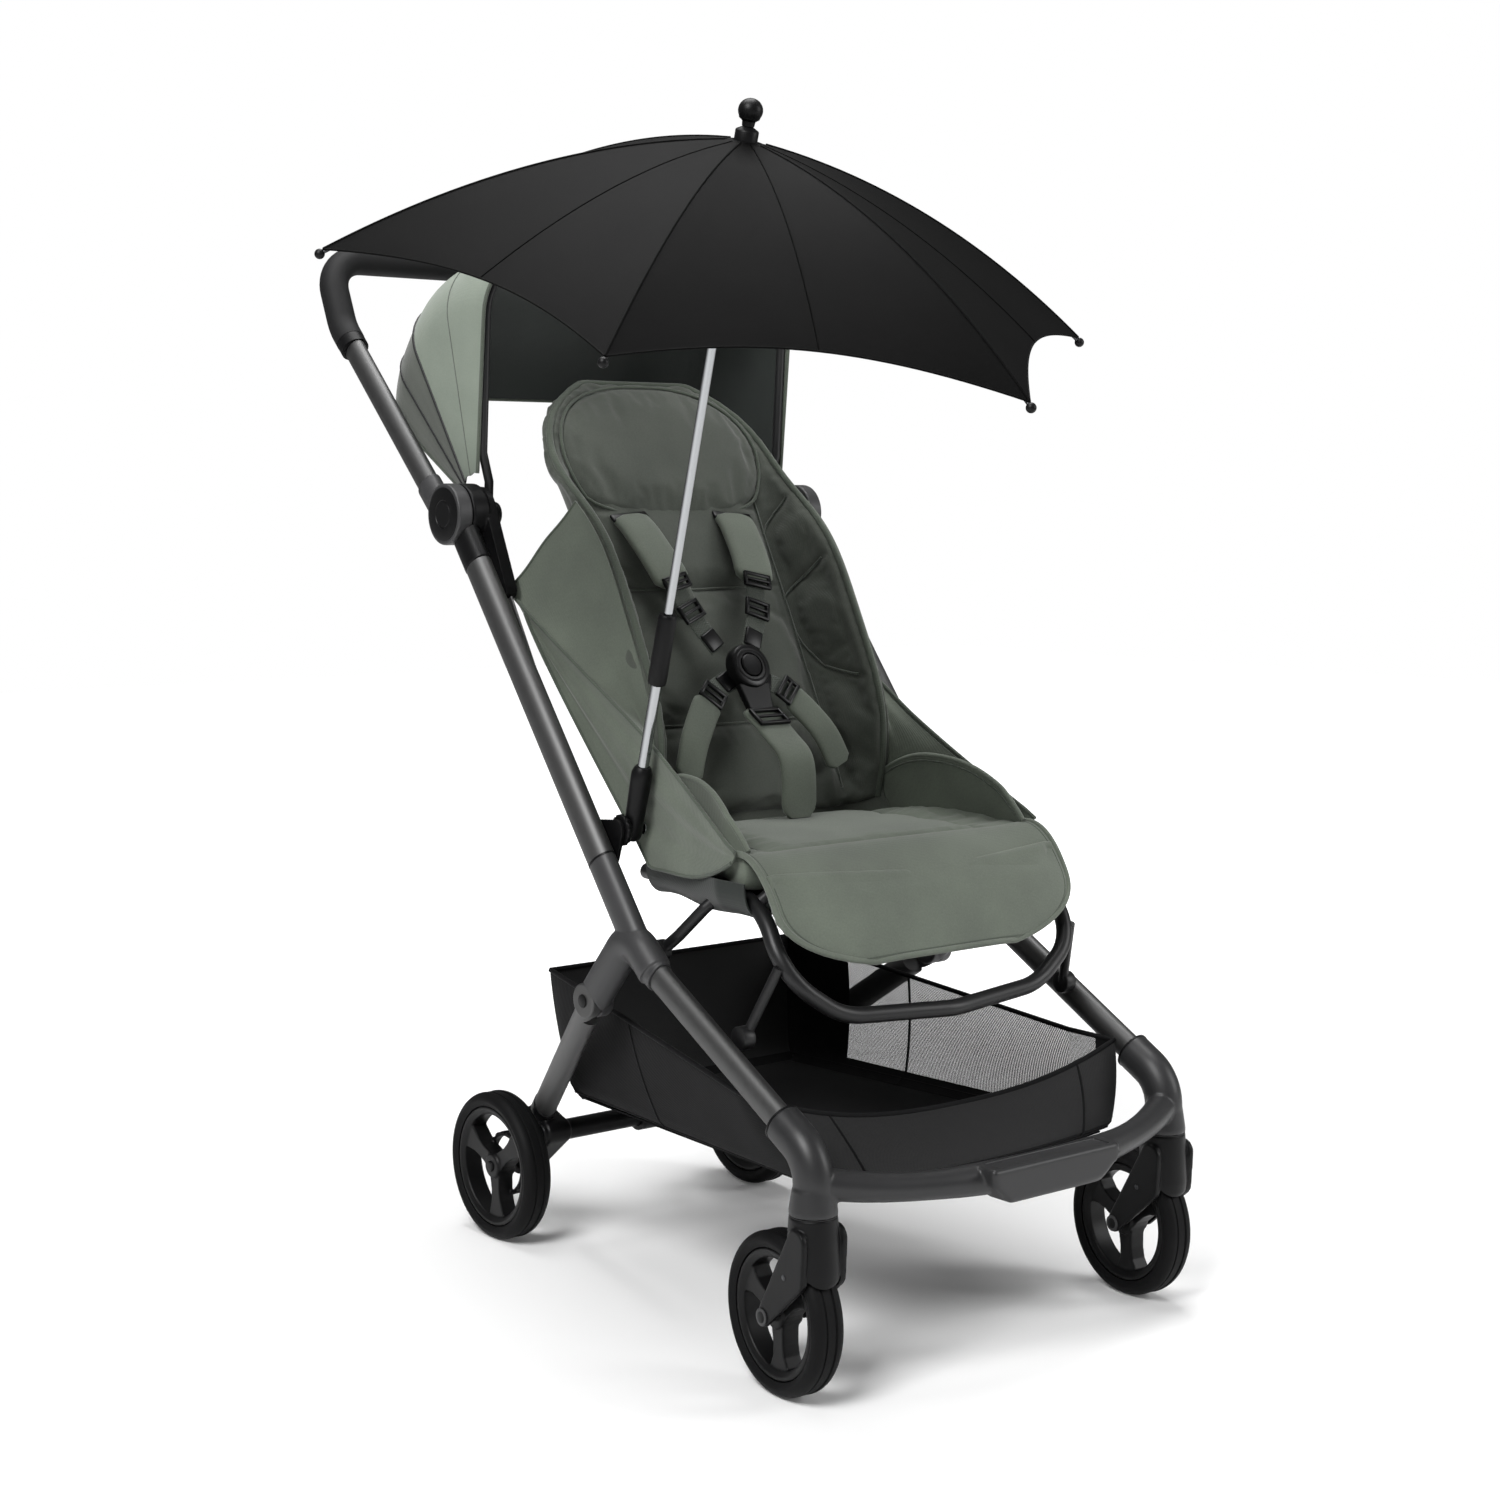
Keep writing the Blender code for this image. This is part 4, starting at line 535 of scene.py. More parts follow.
# The same nylon a shade darker: the bowed bar in front
nylon_dark = moulded("glass_filled_nylon_dark", "#242425", 0.42, 0.6, gloss=0.4)
# The same nylon, black: hubs, brackets and the fork arms
nylon_black = moulded("glass_filled_nylon_black", "#0a0a0b", 0.42, 0.6, gloss=0.18)
# Acetal, moulded smooth: buckles and buttons
acetal = moulded("acetal_black", "#0a0a0b", 0.32, 0.9, 0.00002, gloss=0.3)
# Elastomer skin over foam: the hand grip
grip_rubber = moulded("thermoplastic_rubber_grip", "#121213", 0.66, 0.45, 0.00008, gloss=0.25)
# Foamed polyurethane: the tyres, with tiny closed pores
tyre_foam = moulded("polyurethane_tyre_foam", "#080809", 0.62, 0.8, 0.00009, 0.12, 0.16)
# Polypropylene, moulded satin: the wheel centres
wheel_plastic = moulded("polypropylene_wheel_black", "#0a0a0b", 0.42, 0.7, gloss=0.22)
# Chromed steel tube: a mirror, softened by fine polishing marks along it
chrome = satin_metal("chromed_steel_tube", "#a4a6a8", 0.07, 0.4, (1, 1, 0.05))
# Black-nickelled spring steel: ribs and stretchers
rib_steel = satin_metal("black_nickel_steel", "#4a4b4d", 0.34, 0.5, (1, 1, 0.2))
print("metal and plastic materials", len(bpy.data.materials))

# %% [markdown]
# ### Cloth
# The seat is a heathered polyester: threads of two close greens spun together, so the colour is alive
# from near and calm from afar. The weave is finer than a pixel at this distance, so its bump is drawn
# at 1.1 mm, a little coarser than the real 0.5 mm, and kept shallow. A little sheen lifts the edges, as
# brushed fibres do.

# %% Cloth
def woven(name, dark, light, roughness=0.88, thread_mm=1.1, depth=0.00012, sheen=0.25, slant=(0, 0, 0),
        gloss=0.3):
    made, tree, shader = start_material(
        name, Roughness=roughness, Sheen_Weight=sheen, Sheen_Roughness=0.45, Specular_IOR_Level=gloss
    )
    place = add(tree, "TexCoord").outputs["Object"]
    turned = add(tree, "Mapping", {"Vector": place, "Rotation": slant})
    # A wave repeats about every 0.31 units at scale 1
    wave = {"Vector": turned, "Scale": 0.314 * MM / thread_mm, "Distortion": 0.6}
    warp, weft = [add(tree, "TexWave", wave, bands_direction=way).outputs["Fac"] for way in ("X", "Z")]
    weave = add(tree, "Math", {0: warp, 1: weft}, operation="ADD")
    heather = add(tree, "TexNoise", {"Vector": turned, "Scale": MM / 1.6, "Detail": 4.0, "Roughness": 0.7})
    cloud = add(tree, "TexNoise", {"Vector": turned, "Scale": MM / 60, "Detail": 2.0})
    both = add(tree, "Math", {0: heather, 1: cloud}, operation="ADD")
    half = add(tree, "Math", {0: both, 1: 0.5}, operation="MULTIPLY")
    tone = ramp(tree, half, linear(dark), linear(light), (0.36, 0.64))
    bump = add(tree, "Bump", {"Height": weave, "Distance": depth, "Strength": 0.5})
    fuzz = add(tree, "Bump", {"Height": heather, "Distance": depth, "Strength": 0.35, "Normal": bump})
    feed(tree, shader, {"Base Color": tone, "Normal": fuzz})
    return made


# Heathered polyester, plain weave: the seat, the leg rest and the side cloths
sage = woven("heathered_polyester_sage", "#565c53", "#636a5f")
# The same yarn over foam, a shade greyer: the liner of the backrest
liner = woven("heathered_polyester_liner", "#444842", "#50544d", slant=(math.radians(27), 0, 0))
# Lighter panels of the hood's outside
hood_cloth = woven("heathered_polyester_hood", "#6b7469", "#788175")
# Coated polyester: the hood's dark lining
lining = woven("coated_polyester_lining", "#101613", "#161d19", roughness=0.7, depth=0.00008)
# Grosgrain binding tape round the edges
binding = woven("grosgrain_binding_sage", "#434941", "#4f564c", thread_mm=1.6, depth=0.0002)
# Polyamide oxford with a coated back: the basket's solid panels
oxford = woven("polyamide_oxford_black", "#0d0d0e", "#151516", roughness=0.78, sheen=0.04, gloss=0.08)
# Polyester webbing with a rib across it every two millimetres
webbing = woven("polyester_webbing_grey_green", "#3f443e", "#4d524b", thread_mm=2.0, depth=0.0004)
# Sewing thread, slightly shiny
thread = woven("polyester_thread_sage", "#454a43", "#535951", roughness=0.6, thread_mm=0.8)
# Taffeta: a tight, smooth, slightly shiny weave with a dark coating inside
taffeta = woven("polyester_taffeta_black", "#050505", "#080808", roughness=0.62, thread_mm=0.9,
    depth=0.00004, sheen=0.0, gloss=0.045)
print("materials", len(bpy.data.materials))

# %% [markdown]
# ### Net
# The basket's far side and front are a knitted net, see-through from near. Its holes are drawn by two
# crossed waves in the panel's own plane: where both are low there is no thread, and the surface is
# made clear there. The real holes are under 2 mm; they are drawn a little larger so that they show.

# %% Net
def netting(name, colour, hole_mm, thread_share):
    made, tree, shader = start_material(name, Base_Color=linear(colour), Roughness=0.8)
    place = add(tree, "TexCoord").outputs["Object"]
    split = add(tree, "SeparateXYZ", {"Vector": place}).outputs
    along = add(tree, "Math", {0: split["Y"], 1: split["X"]}, operation="ADD")
    bands = []
    for way in ("ADD", "SUBTRACT"):
        slanted = add(tree, "Math", {0: split["Z"], 1: along}, operation=way)
        # Slanted at 45 degrees, a band is longer than the hole by the root of two
        phase = add(tree, "Math", {0: slanted, 1: 2 * math.pi * MM / (hole_mm * 1.41)}, operation="MULTIPLY")
        wave = add(tree, "Math", {0: phase}, operation="SINE")
        bands.append(add(tree, "Math", {0: wave}, operation="ABSOLUTE"))
    thin = add(tree, "Math", {0: bands[0], 1: bands[1]}, operation="MINIMUM")
    solid = add(tree, "Math", {0: thin, 1: thread_share}, operation="LESS_THAN")
    feed(tree, shader, {"Alpha": solid})
    return made


net = netting("knitted_polyester_net_black", "#1b1b1c", 2.6, 0.50)
dense_net = netting("knitted_polyester_net_dense", "#101011", 2.2, 0.84)

# %% [markdown]
# ### Dressing a piece
# A finished piece gets its material and rides on one body, or it is cloth that bends between two. A
# thin cloth also says what flat strip it was cut from.

# %% Dressing a piece
def wear(piece, material, slot=None, replaced=(), angle=38):
    """Shades a finished piece, gives it its material, and names its slot and the nodes it replaces."""
    settle(piece)
    shade(piece, angle)
    piece.data.materials.clear()
    piece.data.materials.append(material)
    if slot:
        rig.slot(piece, slot)
    if replaced:
        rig.replaces(piece, *replaced)
    return piece


def dress(piece, body, material, slot=None, replaced=(), angle=38):
    """Finishes a piece and sets it on the body that carries it."""
    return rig.ride(wear(piece, material, slot, replaced, angle), body)


def span(piece, body, start, end, material, slot=None, replaced=()):
    """Finishes a piece that follows the main frame at start and another body at end."""
    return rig.blend(wear(piece, material, slot, replaced, 60), "main_frame", body, start=start, end=end)


def flat_size(piece):
    """Half a thin cloth's whole area, which is what it was cut from."""
    return sum(face.area for face in piece.data.polygons) / 2


def sheet(piece, length, held, rests_on, **more):
    """Declares a thin cloth as cut from a strip of its own area, and gives that area."""
    area = flat_size(piece)
    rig.sheet(piece, flat=(area / length, length), held=held, rests_on=rests_on, **more)
    return area


# %% [markdown]
# ## Side frames
# Each side is a middle tube from the knee up to the fold hub, a slimmer tube down to the front corner,
# the knee moulding with its arched arm to the rear leg, and the two halves of the hub. Tubes are drawn
# as oval bars; the knee and the hub are mouldings fused from the same bars and discs.

# %% Measures of the side frame
GAP = 0.0004
TUBE_X = 0.2115
HUB = (-0.011, 0.735)
KNEE = (-0.317, 0.344)
LOWER_TOP = (-0.344, 0.329)
LOWER_FOOT = (-0.517, 0.234)
LEG_PIVOT = (-0.240, 0.292)
HANDLE_FOOT = (0.008, 0.732)
HANDLE_TOP = (0.186, 0.903)
SIDES = ((-1, "right"), (1, "left"))
# A tube's half depth, and its width as a share of its depth
MIDDLE_TUBE = (0.016, 0.023 / 0.032)
END_TUBE = (0.0135, 0.019 / 0.027)


def at(side, spot, x=TUBE_X):
    return Vector((side * x, spot[0], spot[1]))


def toward(a, b, distance, start=None):
    """The point at a distance from start (or a) in the direction from a to b."""
    line = Vector((b[0] - a[0], b[1] - a[1])).normalized()
    start = a if start is None else start
    return (start[0] + line.x * distance, start[1] + line.y * distance)


def oval(name, side, spots, radius, flat, sides=40):
    """An oval bar of one side frame through (y, z) spots."""
    return tube(name, [at(side, spot) for spot in spots], radius, sides, flat)


tube_foot = toward(KNEE, HUB, 0.1004)
tube_top = toward(KNEE, HUB, -0.0624, HUB)
lower_start = toward(KNEE, LOWER_FOOT, GAP, LOWER_TOP)
lower_end = toward(KNEE, LOWER_FOOT, -GAP, LOWER_FOOT)

# %% Tubes of the side frame
for side, end in SIDES:
    middle = oval(f"middle_tube_{end}", side, [tube_foot, tube_top], *MIDDLE_TUBE)
    dress(middle, "main_frame", anodised, "frame_tube", [f"side_tube_{end}"])
    lower = oval(f"lower_tube_{end}", side, [lower_start, lower_end], *END_TUBE)
    dress(lower, "main_frame", anodised, "frame_tube", [f"front_tube_{end}"])
    # A thin dark seal where the tube enters the knee
    spots = [toward(KNEE, HUB, reach, tube_foot) for reach in (-0.0010, 0.0008)]
    seal = oval(f"tube_seal_{end}", side, spots, 0.01615, 0.0233 / 0.0323)
    dress(seal, "main_frame", nylon_black, "black_plastic")

# %% Knee joint
for side, end in SIDES:
    upper = oval("upper", side, [toward(KNEE, HUB, -0.0002, tube_foot), KNEE], *MIDDLE_TUBE, 48)
    sleeve = oval("sleeve", side, [toward(KNEE, LOWER_FOOT, -0.012), LOWER_TOP], 0.0155, 0.024 / 0.031, 48)
    path = [at(side, toward(KNEE, LOWER_FOOT, -0.008, LOWER_TOP)), at(side, toward(KNEE, HUB, 0.024)),
        at(side, LEG_PIVOT)]
    arch = tube("arch", round_path(path, 0.030, 10), 0.017, 48, 0.030 / 0.034)
    boss = disc("boss", at(side, LEG_PIVOT, TUBE_X - 0.0125), (side, 0, 0), 0.0165, 0.0121)
    knee = moulding(f"knee_joint_{end}", [upper, sleeve, arch, boss], rounds=6)
    carve(knee, disc("room", at(side, LEG_PIVOT, TUBE_X), (side, 0, 0), 0.0175, 0.030, 0.0004))
    dress(knee, "main_frame", nylon, "moulding", [f"leg_joint_{end}"])
    cap = disc(f"knee_rivet_{end}", at(side, KNEE, TUBE_X - 0.0185), (-side, 0, 0), 0.0045, 0.0012, 0.0005,
        32)
    dress(cap, "main_frame", chrome)

# %% [markdown]
# The fold hub is two discs face to face. The inner one belongs to the seat side and carries a bracket
# arm; the outer one turns with the handle and shows a stepped round cap. The cap's rings are part of
# its turned profile, since that is how the mould is cut.

# %% Fold hub
HUB_RADIUS = 0.030
for side, end in SIDES:
    sleeve = oval("sleeve", side, [toward(KNEE, HUB, GAP, tube_top), HUB], 0.017, 0.024 / 0.034, 48)
    inner = disc("inner", at(side, HUB, TUBE_X - 0.020), (side, 0, 0), HUB_RADIUS, 0.0188, 0.0015)
    rounds = [(HUB, 0.027), ((-0.064, 0.662), 0.009)]
    bracket = arm("bracket", rounds, side * (TUBE_X - 0.029), side * (TUBE_X - 0.016))
    housing = moulding(f"hub_inner_{end}", [sleeve, inner, bracket])
    carve(housing, disc("room", at(side, HUB, TUBE_X - 0.0008), (side, 0, 0), HUB_RADIUS + 0.001, 0.040,
        0.0004))
    dress(housing, "main_frame", nylon_black, "black_plastic", [f"hub_housing_{end}"])
    bar = tube(f"brace_bar_{end}", [(side * 0.1890, -0.0692, 0.6541), (side * 0.1936, -0.272, 0.336)],
        0.0047, 24, 0.42)
    dress(bar, "main_frame", anodised, "frame_tube", [f"link_bar_{end}"])

for side, end in SIDES:
    top = toward(HANDLE_FOOT, HANDLE_TOP, 0.046)
    rod = oval(f"upper_tube_{end}", side, [toward(HANDLE_FOOT, HANDLE_TOP, 0.0455), HANDLE_TOP], *END_TUBE)
    dress(rod, "handle", anodised, "frame_tube", [f"handle_tube_{end}"])
    sleeve = oval("sleeve", side, [HANDLE_FOOT, top], 0.0155, 0.0225 / 0.031, 48)
    outer = disc("outer", at(side, HUB, TUBE_X - 0.0003), (side, 0, 0), HUB_RADIUS, 0.0160, 0.0015)
    cap = moulding(f"hub_outer_{end}", [sleeve, outer], rounds=4)
    carve(cap, disc("room", at(side, HUB, TUBE_X - 0.0005), (-side, 0, 0), HUB_RADIUS + 0.001, 0.040, 0.0004))
    dress(cap, "handle", nylon, "moulding")
    profile = [(0, 0.0006), (0.0120, 0.0006), (0.0126, 0.0001), (0.0134, 0.0001), (0.0140, 0.0008)]
    profile += [(0.0255, 0.0008), (0.0262, 0.0004), (0.0262, -0.0010), (0, -0.0010)]
    face = lathe(f"hub_cap_{end}", profile, at(side, HUB, TUBE_X + 0.0157), (side, 0, 0), 72)
    dress(face, "handle", nylon_black, "black_plastic")

# %% [markdown]
# ## Push bar
# One aluminium bar bends across from side to side and wears a single foam grip with a rubber skin. The
# grip is a bar along a rounded path. Where it ends, a turned collar of hard plastic holds it. The fold
# button sits in a small pocket.

# %% Push bar
HANDLE_BAR = (0.243, 1.000)
GRIP_RADIUS = 0.015
bar_start = toward(HANDLE_FOOT, HANDLE_TOP, GAP, HANDLE_TOP)
bar_straight = toward(HANDLE_FOOT, HANDLE_TOP, 0.034, bar_start)
grip_start = toward(HANDLE_FOOT, HANDLE_TOP, 0.012, bar_start)
spots = [grip_start, bar_straight, HANDLE_BAR]
path = [at(-1, spot) for spot in spots] + [at(1, spot) for spot in reversed(spots)]
grip = tube("push_bar_grip", round_path(path, 0.055, 14), GRIP_RADIUS, 40)
button_line = Vector((0, HANDLE_TOP[0] - HANDLE_FOOT[0], HANDLE_TOP[1] - HANDLE_FOOT[1])).normalized()
button_turn = (math.atan2(button_line.z, button_line.y), 0, 0)
button_middle = Vector((0, *HANDLE_BAR)) - button_line * GRIP_RADIUS
carve(grip, block("pocket", (0.0348, 0.012, 0.0148), button_middle, button_turn))
dress(grip, "handle", grip_rubber, "grip", ["handlebar"], 30)
for side, end in SIDES:
    collar = oval(f"grip_collar_{end}", side, [bar_start, grip_start], 0.0147, 1.0)
    dress(collar, "handle", nylon_black, "grip")
button_size = (0.034, 0.0070, 0.0096)
button_middle -= button_line * 0.0015
button = block("fold_release_button", button_size, button_middle, button_turn, 0.0012)
dress(button, "fold_button", acetal, "moulding", ["fold_button"])
print("grip length", round(sum((b - a).length for a, b in zip(path, path[1:])), 3))

# %% [markdown]
# ## Front crossbar, casters and wheels
# The front bar is one moulding: a bar that bows forward between two swooping corners, with sockets for
# the casters below them and a footplate in the middle. Its parts overlap and are fused. The footplate
# is bare here: on the real one it has a shallow tray with a raised lip, which is cut out of the top.

# %% Front crossbar
CASTER_Y = -0.557
STEM_Z = 0.165
pieces = []
for side, end in SIDES:
    foot = at(side, (CASTER_Y, STEM_Z + GAP))
    path = round_path([at(side, LOWER_FOOT), at(side, (CASTER_Y, 0.212)), foot], 0.040, 12)
    pieces.append(tube("corner", path, 0.018, 48, 0.033 / 0.036))
    profile = [(0, 0), (0.0205, 0), (0.0205, 0.004), (0.0178, 0.0216), (0, 0.0216)]
    pieces.append(lathe("socket", profile, foot))
bow, swell = [], []
for i in range(49):
    u = -1 + i / 24
    x = u * TUBE_X
    bow.append((x, CASTER_Y - 0.052 * (1 - abs(u) ** 2.2), 0.180 + 0.012 * abs(u) ** 4))
    # Thicker at its ends and behind the footplate
    swell.append(1 + 0.22 * abs(x / TUBE_X) ** 3 + 0.25 * math.exp(-((x / 0.10) ** 4)))
pieces.append(tube("bow", bow, 0.0115, 40, radii=swell))
outline = ((0.077, 0.1935), (0.075, 0.180), (0.056, 0.1615))
corners = [(x * k, y, z) for k in (-1, 1) for x, z in outline for y in (-0.6005, -0.6305)]
pieces.append(hull("plate", corners, 0.004))
front = moulding("front_crossbar", pieces, 0.0012, 6)
for side, end in SIDES:
    carve(front, disc("bore", at(side, (CASTER_Y, STEM_Z - 0.01)), (0, 0, 1), 0.0082, 0.031, 0.0004))
carve(front, block("tray", (0.132, 0.020, 0.005), (0, -0.6165, 0.1945), edge=0.0015))
dress(front, "main_frame", nylon_dark, "moulding", ["front_crossbar"])
for side, end in SIDES:
    spots = [toward(KNEE, LOWER_FOOT, reach, LOWER_FOOT) for reach in (-0.0005, 0.0012)]
    collar = oval(f"corner_collar_{end}", side, spots, 0.01835, 0.0336 / 0.0367)
    dress(collar, "main_frame", nylon_black)
print("front crossbar", len(front.data.polygons), "faces")

# %% [markdown]
# Each wheel is a foamed tyre with a wide groove round its middle, on a moulded centre with three broad
# spokes. The tyre is a turned profile. The centre is a turned ring and hub fused with three waisted
# spokes, so that they flow into the ring with the large radii that show in the photograph.

# %% Wheels
TYRE_HALF = 0.0155
TYRE_DEPTH = 0.0135
FRONT_RADIUS, REAR_RADIUS = 0.070, 0.075
REAR_TRACK = 0.163
TRAIL = 0.042


def mirrored(profile):
    """A closed profile from its half on one side of the wheel's middle."""
    whole = profile + [(r, -h) for r, h in reversed(profile)]
    return whole + whole[:1]


def wheel(name, radius, place, teeth_side=0):
    """A tyre and its centre about X, moved to its place. The rear ones carry brake teeth inside."""
    inner = radius - TYRE_DEPTH
    profile = [(inner, TYRE_HALF - 0.003)]
    for i in range(13):
        angle = math.pi * (0.5 - i / 24)
        profile.append((radius - 0.0085 + 0.0085 * math.sin(math.pi / 2 - angle),
            0.0065 + 0.009 * math.sin(angle)))
    profile += [(radius, 0.0060), (radius - 0.0013, 0.0054), (radius - 0.0013, 0.0040),
        (radius - 0.0003, 0.0034)]
    rubber = lathe(f"tyre_{name}", mirrored(profile), axis=(1, 0, 0), steps=128)
    seat = inner - GAP
    half = TYRE_HALF - 0.004
    profile = [(seat - 0.0085, half - 0.002), (seat - 0.0035, half + 0.0010)]
    profile += [(seat - 0.0006, half + 0.0008), (seat, half - 0.001)]
    ring = lathe("ring", mirrored(profile), axis=(1, 0, 0), steps=96)
    core = disc("core", (-half, 0, 0), (1, 0, 0), 0.0125, 2 * half, 0.0012)
    parts = [ring, core]
    # How far out along a spoke, and how wide it is there
    outline = [(0.0055, 0.0108), (0.014, 0.0082), (0.026, 0.0072), (0.036, 0.0084)]
    outline += [(seat - 0.010, 0.0135), (seat - 0.004, 0.0205)]
    for k in range(3):
        angle = math.radians(55) + 2 * math.pi * k / 3
        c, s = math.cos(angle), math.sin(angle)
        points = []
        for reach, wide in outline:
            for x in (-half + 0.003, half - 0.003):
                for w in (-wide, wide):
                    points.append((x, -reach * s + w * c, reach * c + w * s))
        faces = []
        for i in range(len(outline) - 1):
            a, b = 4 * i, 4 * i + 4
            faces += [(a, a + 1, b + 1, b), (a + 2, b + 2, b + 3, a + 3), (a, b, b + 2, a + 2),
                (a + 1, a + 3, b + 3, b + 1)]
        faces += [(0, 2, 3, 1), (b, b + 1, b + 3, b + 2)]
        parts.append(outward(from_points("spoke", points, faces=faces)))
    if teeth_side:
        x = teeth_side * (half - 0.0020)
        for k in range(18):
            angle = 2 * math.pi * k / 18
            spot = (x, 0.0310 * math.cos(angle), 0.0310 * math.sin(angle))
            parts.append(block("tooth", (0.0090, 0.0034, 0.0056), spot, (angle, 0, 0), 0.0006, 2))
        profile = [(0.0280, -0.0045), (0.0312, -0.0045), (0.0312, 0.0045), (0.0280, 0.0045)]
        parts.append(lathe("band", profile + profile[:1], (x, 0, 0), (1, 0, 0)))
    centre = moulding(f"wheel_centre_{name}", parts)
    carve(centre, disc("bore", (-0.05, 0, 0), (1, 0, 0), 0.0056, 0.10, 0.0004))
    where, end = name.split("_")
    for piece, stuff, kind in ((rubber, tyre_foam, "tyre"), (centre, wheel_plastic, "rim")):
        piece.matrix_world = place
        dress(piece, f"{where}_wheel_{end}", stuff, kind, [f"{where}_{kind}_{end}"])


SWIVEL = Matrix.Rotation(math.radians(-5), 4, "Z")
for side, end in SIDES:
    swung = Matrix.Translation((side * TUBE_X, CASTER_Y, 0)) @ SWIVEL
    wheel(f"front_{end}", FRONT_RADIUS, swung @ Matrix.Translation((0, TRAIL, FRONT_RADIUS)))
    wheel(f"rear_{end}", REAR_RADIUS, Matrix.Translation((side * REAR_TRACK, 0, REAR_RADIUS)), -side)
print("tyre radii", FRONT_RADIUS, REAR_RADIUS)

# %% [markdown]
# A caster's fork has a tall round crown with a wedge-shaped arm down each side of the wheel. The pin
# shows outside as a stepped cap. The crown's neck has the seam ring of its swivel.

# %% Forks
WHEEL_SPOT = (TRAIL, FRONT_RADIUS)
for side, end in SIDES:
    top = STEM_Z - GAP
    profile = [(0, 0), (0.0197, 0), (0.0205, 0.0008), (0.0217, 0.020), (0.0228, 0.046), (0.0222, 0.054)]
    profile += [(0.0196, 0.0600), (0.0150, 0.0632), (0, 0.0640)]
    crown = lathe("crown", [(r, top - down) for r, down in profile])
    outline = [((-0.006, top - 0.020), 0.012), ((-0.004, top - 0.050), 0.012), (WHEEL_SPOT, 0.0085)]
    arms = [arm("arm", outline, k * 0.01775, k * 0.02275) for k in (-1, 1)]
    fork = moulding(f"fork_{end}", [crown] + arms, 0.0010)
    carve(fork, disc("wheel_room", (-0.0171, *WHEEL_SPOT), (1, 0, 0), 0.073, 0.0342, 0.0004))
    profile = [(0.0180, -0.0003), (0.0203, -0.0003), (0.0203, 0.0003), (0.0180, 0.0003)]
    ring = lathe(f"swivel_ring_{end}", profile + profile[:1], (0, 0, STEM_Z - 0.0002))
    stem = disc(f"stem_{end}", (0, 0, top - 0.01), (0, 0, 1), 0.0076, 0.0284, 0.001)
    pin = disc(f"wheel_pin_{end}", (-0.0245, *WHEEL_SPOT), (1, 0, 0), 0.0050, 0.0490, 0.0004, 40)
    extras = [(stem, chrome), (pin, nylon_black), (ring, coated)]
    for k in (-1, 1):
        face = "in" if k == -side else "out"
        cap = disc(f"pin_cap_{end}_{face}", (k * 0.0226, *WHEEL_SPOT), (k, 0, 0), 0.0076, 0.0016, 0.0006, 48)
        spot = (k * 0.0226, 0.010, top - 0.052)
        head = disc(f"screw_{end}_{face}", spot, (k, 0, 0), 0.0024, 0.0006, 0.0003, 24)
        extras += [(cap, nylon), (head, rib_steel)]
    for piece, _ in [(fork, None)] + extras:
        piece.matrix_world = Matrix.Translation((side * TUBE_X, CASTER_Y, 0)) @ SWIVEL
    dress(fork, f"caster_{end}", nylon_black, "moulding", [f"caster_fork_{end}"])
    for piece, stuff in extras:
        dress(piece, f"caster_{end}", stuff)

# %% [markdown]
# ## Rear legs and axle bar
# The rear legs are oval tube that leans in to the axle bar. Their top is pressed flat into an eye on
# the knee's rivet. The axle bar has a moulded bracket at each end that takes the leg's foot, the wheel
# pin and the bar. The brake pedal is a flat paddle on the bar, and it shows from behind.

# %% Rear legs and axle bar
AXLE_BAR = (-0.052, 0.115)
LEG_FOOT, LEG_FOOT_X = (-0.0521, 0.1454), 0.1415
parts = [disc("bar", (-0.150, *AXLE_BAR), (1, 0, 0), 0.0105, 0.300, 0.001, 40)]
for side, end in SIDES:
    start = at(side, LEG_PIVOT)
    foot = at(side, LEG_FOOT, LEG_FOOT_X)
    line = (foot - start).normalized()
    leg = tube("leg", [start, foot - line * GAP], 0.014, 40, 0.020 / 0.028)
    eye = disc("eye", at(side, LEG_PIVOT, TUBE_X + GAP), (side, 0, 0), 0.0165, 0.0116, 0.0012)
    leg = moulding(f"rear_leg_{end}", [leg, eye], rounds=4)
    carve(leg, disc("room", at(side, LEG_PIVOT, TUBE_X), (-side, 0, 0), 0.030, 0.0415, 0.0004))
    dress(leg, "rear_frame", anodised, "frame_tube", [f"rear_leg_{end}"])
    rivet = disc(f"leg_rivet_{end}", at(side, LEG_PIVOT, TUBE_X + 0.0118), (side, 0, 0), 0.0062, 0.0016,
        0.0008, 40)
    dress(rivet, "rear_frame", nylon_black)
    shoe = tube("shoe", [foot, foot + line * 0.041], 0.0149, 40, 0.0213 / 0.0298)
    heel = foot + line * 0.036
    rounds = [(AXLE_BAR, 0.0125), ((0, REAR_RADIUS), 0.0135), ((heel.y, heel.z), 0.013)]
    gusset = arm("gusset", rounds, side * 0.119, side * 0.144)
    pin = disc("pin", (side * 0.138, 0, REAR_RADIUS), (side, 0, 0), 0.005, 0.0385, 0.0005, 40)
    parts += [shoe, gusset, pin]
axle = moulding("rear_crossbar", parts, 0.0012, 6)
dress(axle, "rear_frame", nylon_black, "moulding", ["rear_crossbar"])
pedal = arm("brake_pedal", [(AXLE_BAR, 0.0153), ((0, 0.119), 0.0045)], -0.030, 0.030)
edit_all(pedal)
bpy.ops.mesh.dissolve_limited(angle_limit=math.radians(2))
done()
carve(pedal, disc("bore", (-0.06, *AXLE_BAR), (1, 0, 0), 0.0111, 0.12, 0.0004))
for k in range(5):
    spot = (0, -0.0300 + 0.0052 * k, 0.1302 - 0.00116 * k)
    carve(pedal, block("groove", (0.050, 0.0012, 0.0016), spot, (math.radians(-12), 0, 0)))
dress(pedal, "brake_pedal", nylon_black, "black_plastic", ["brake_pedal"], 30)

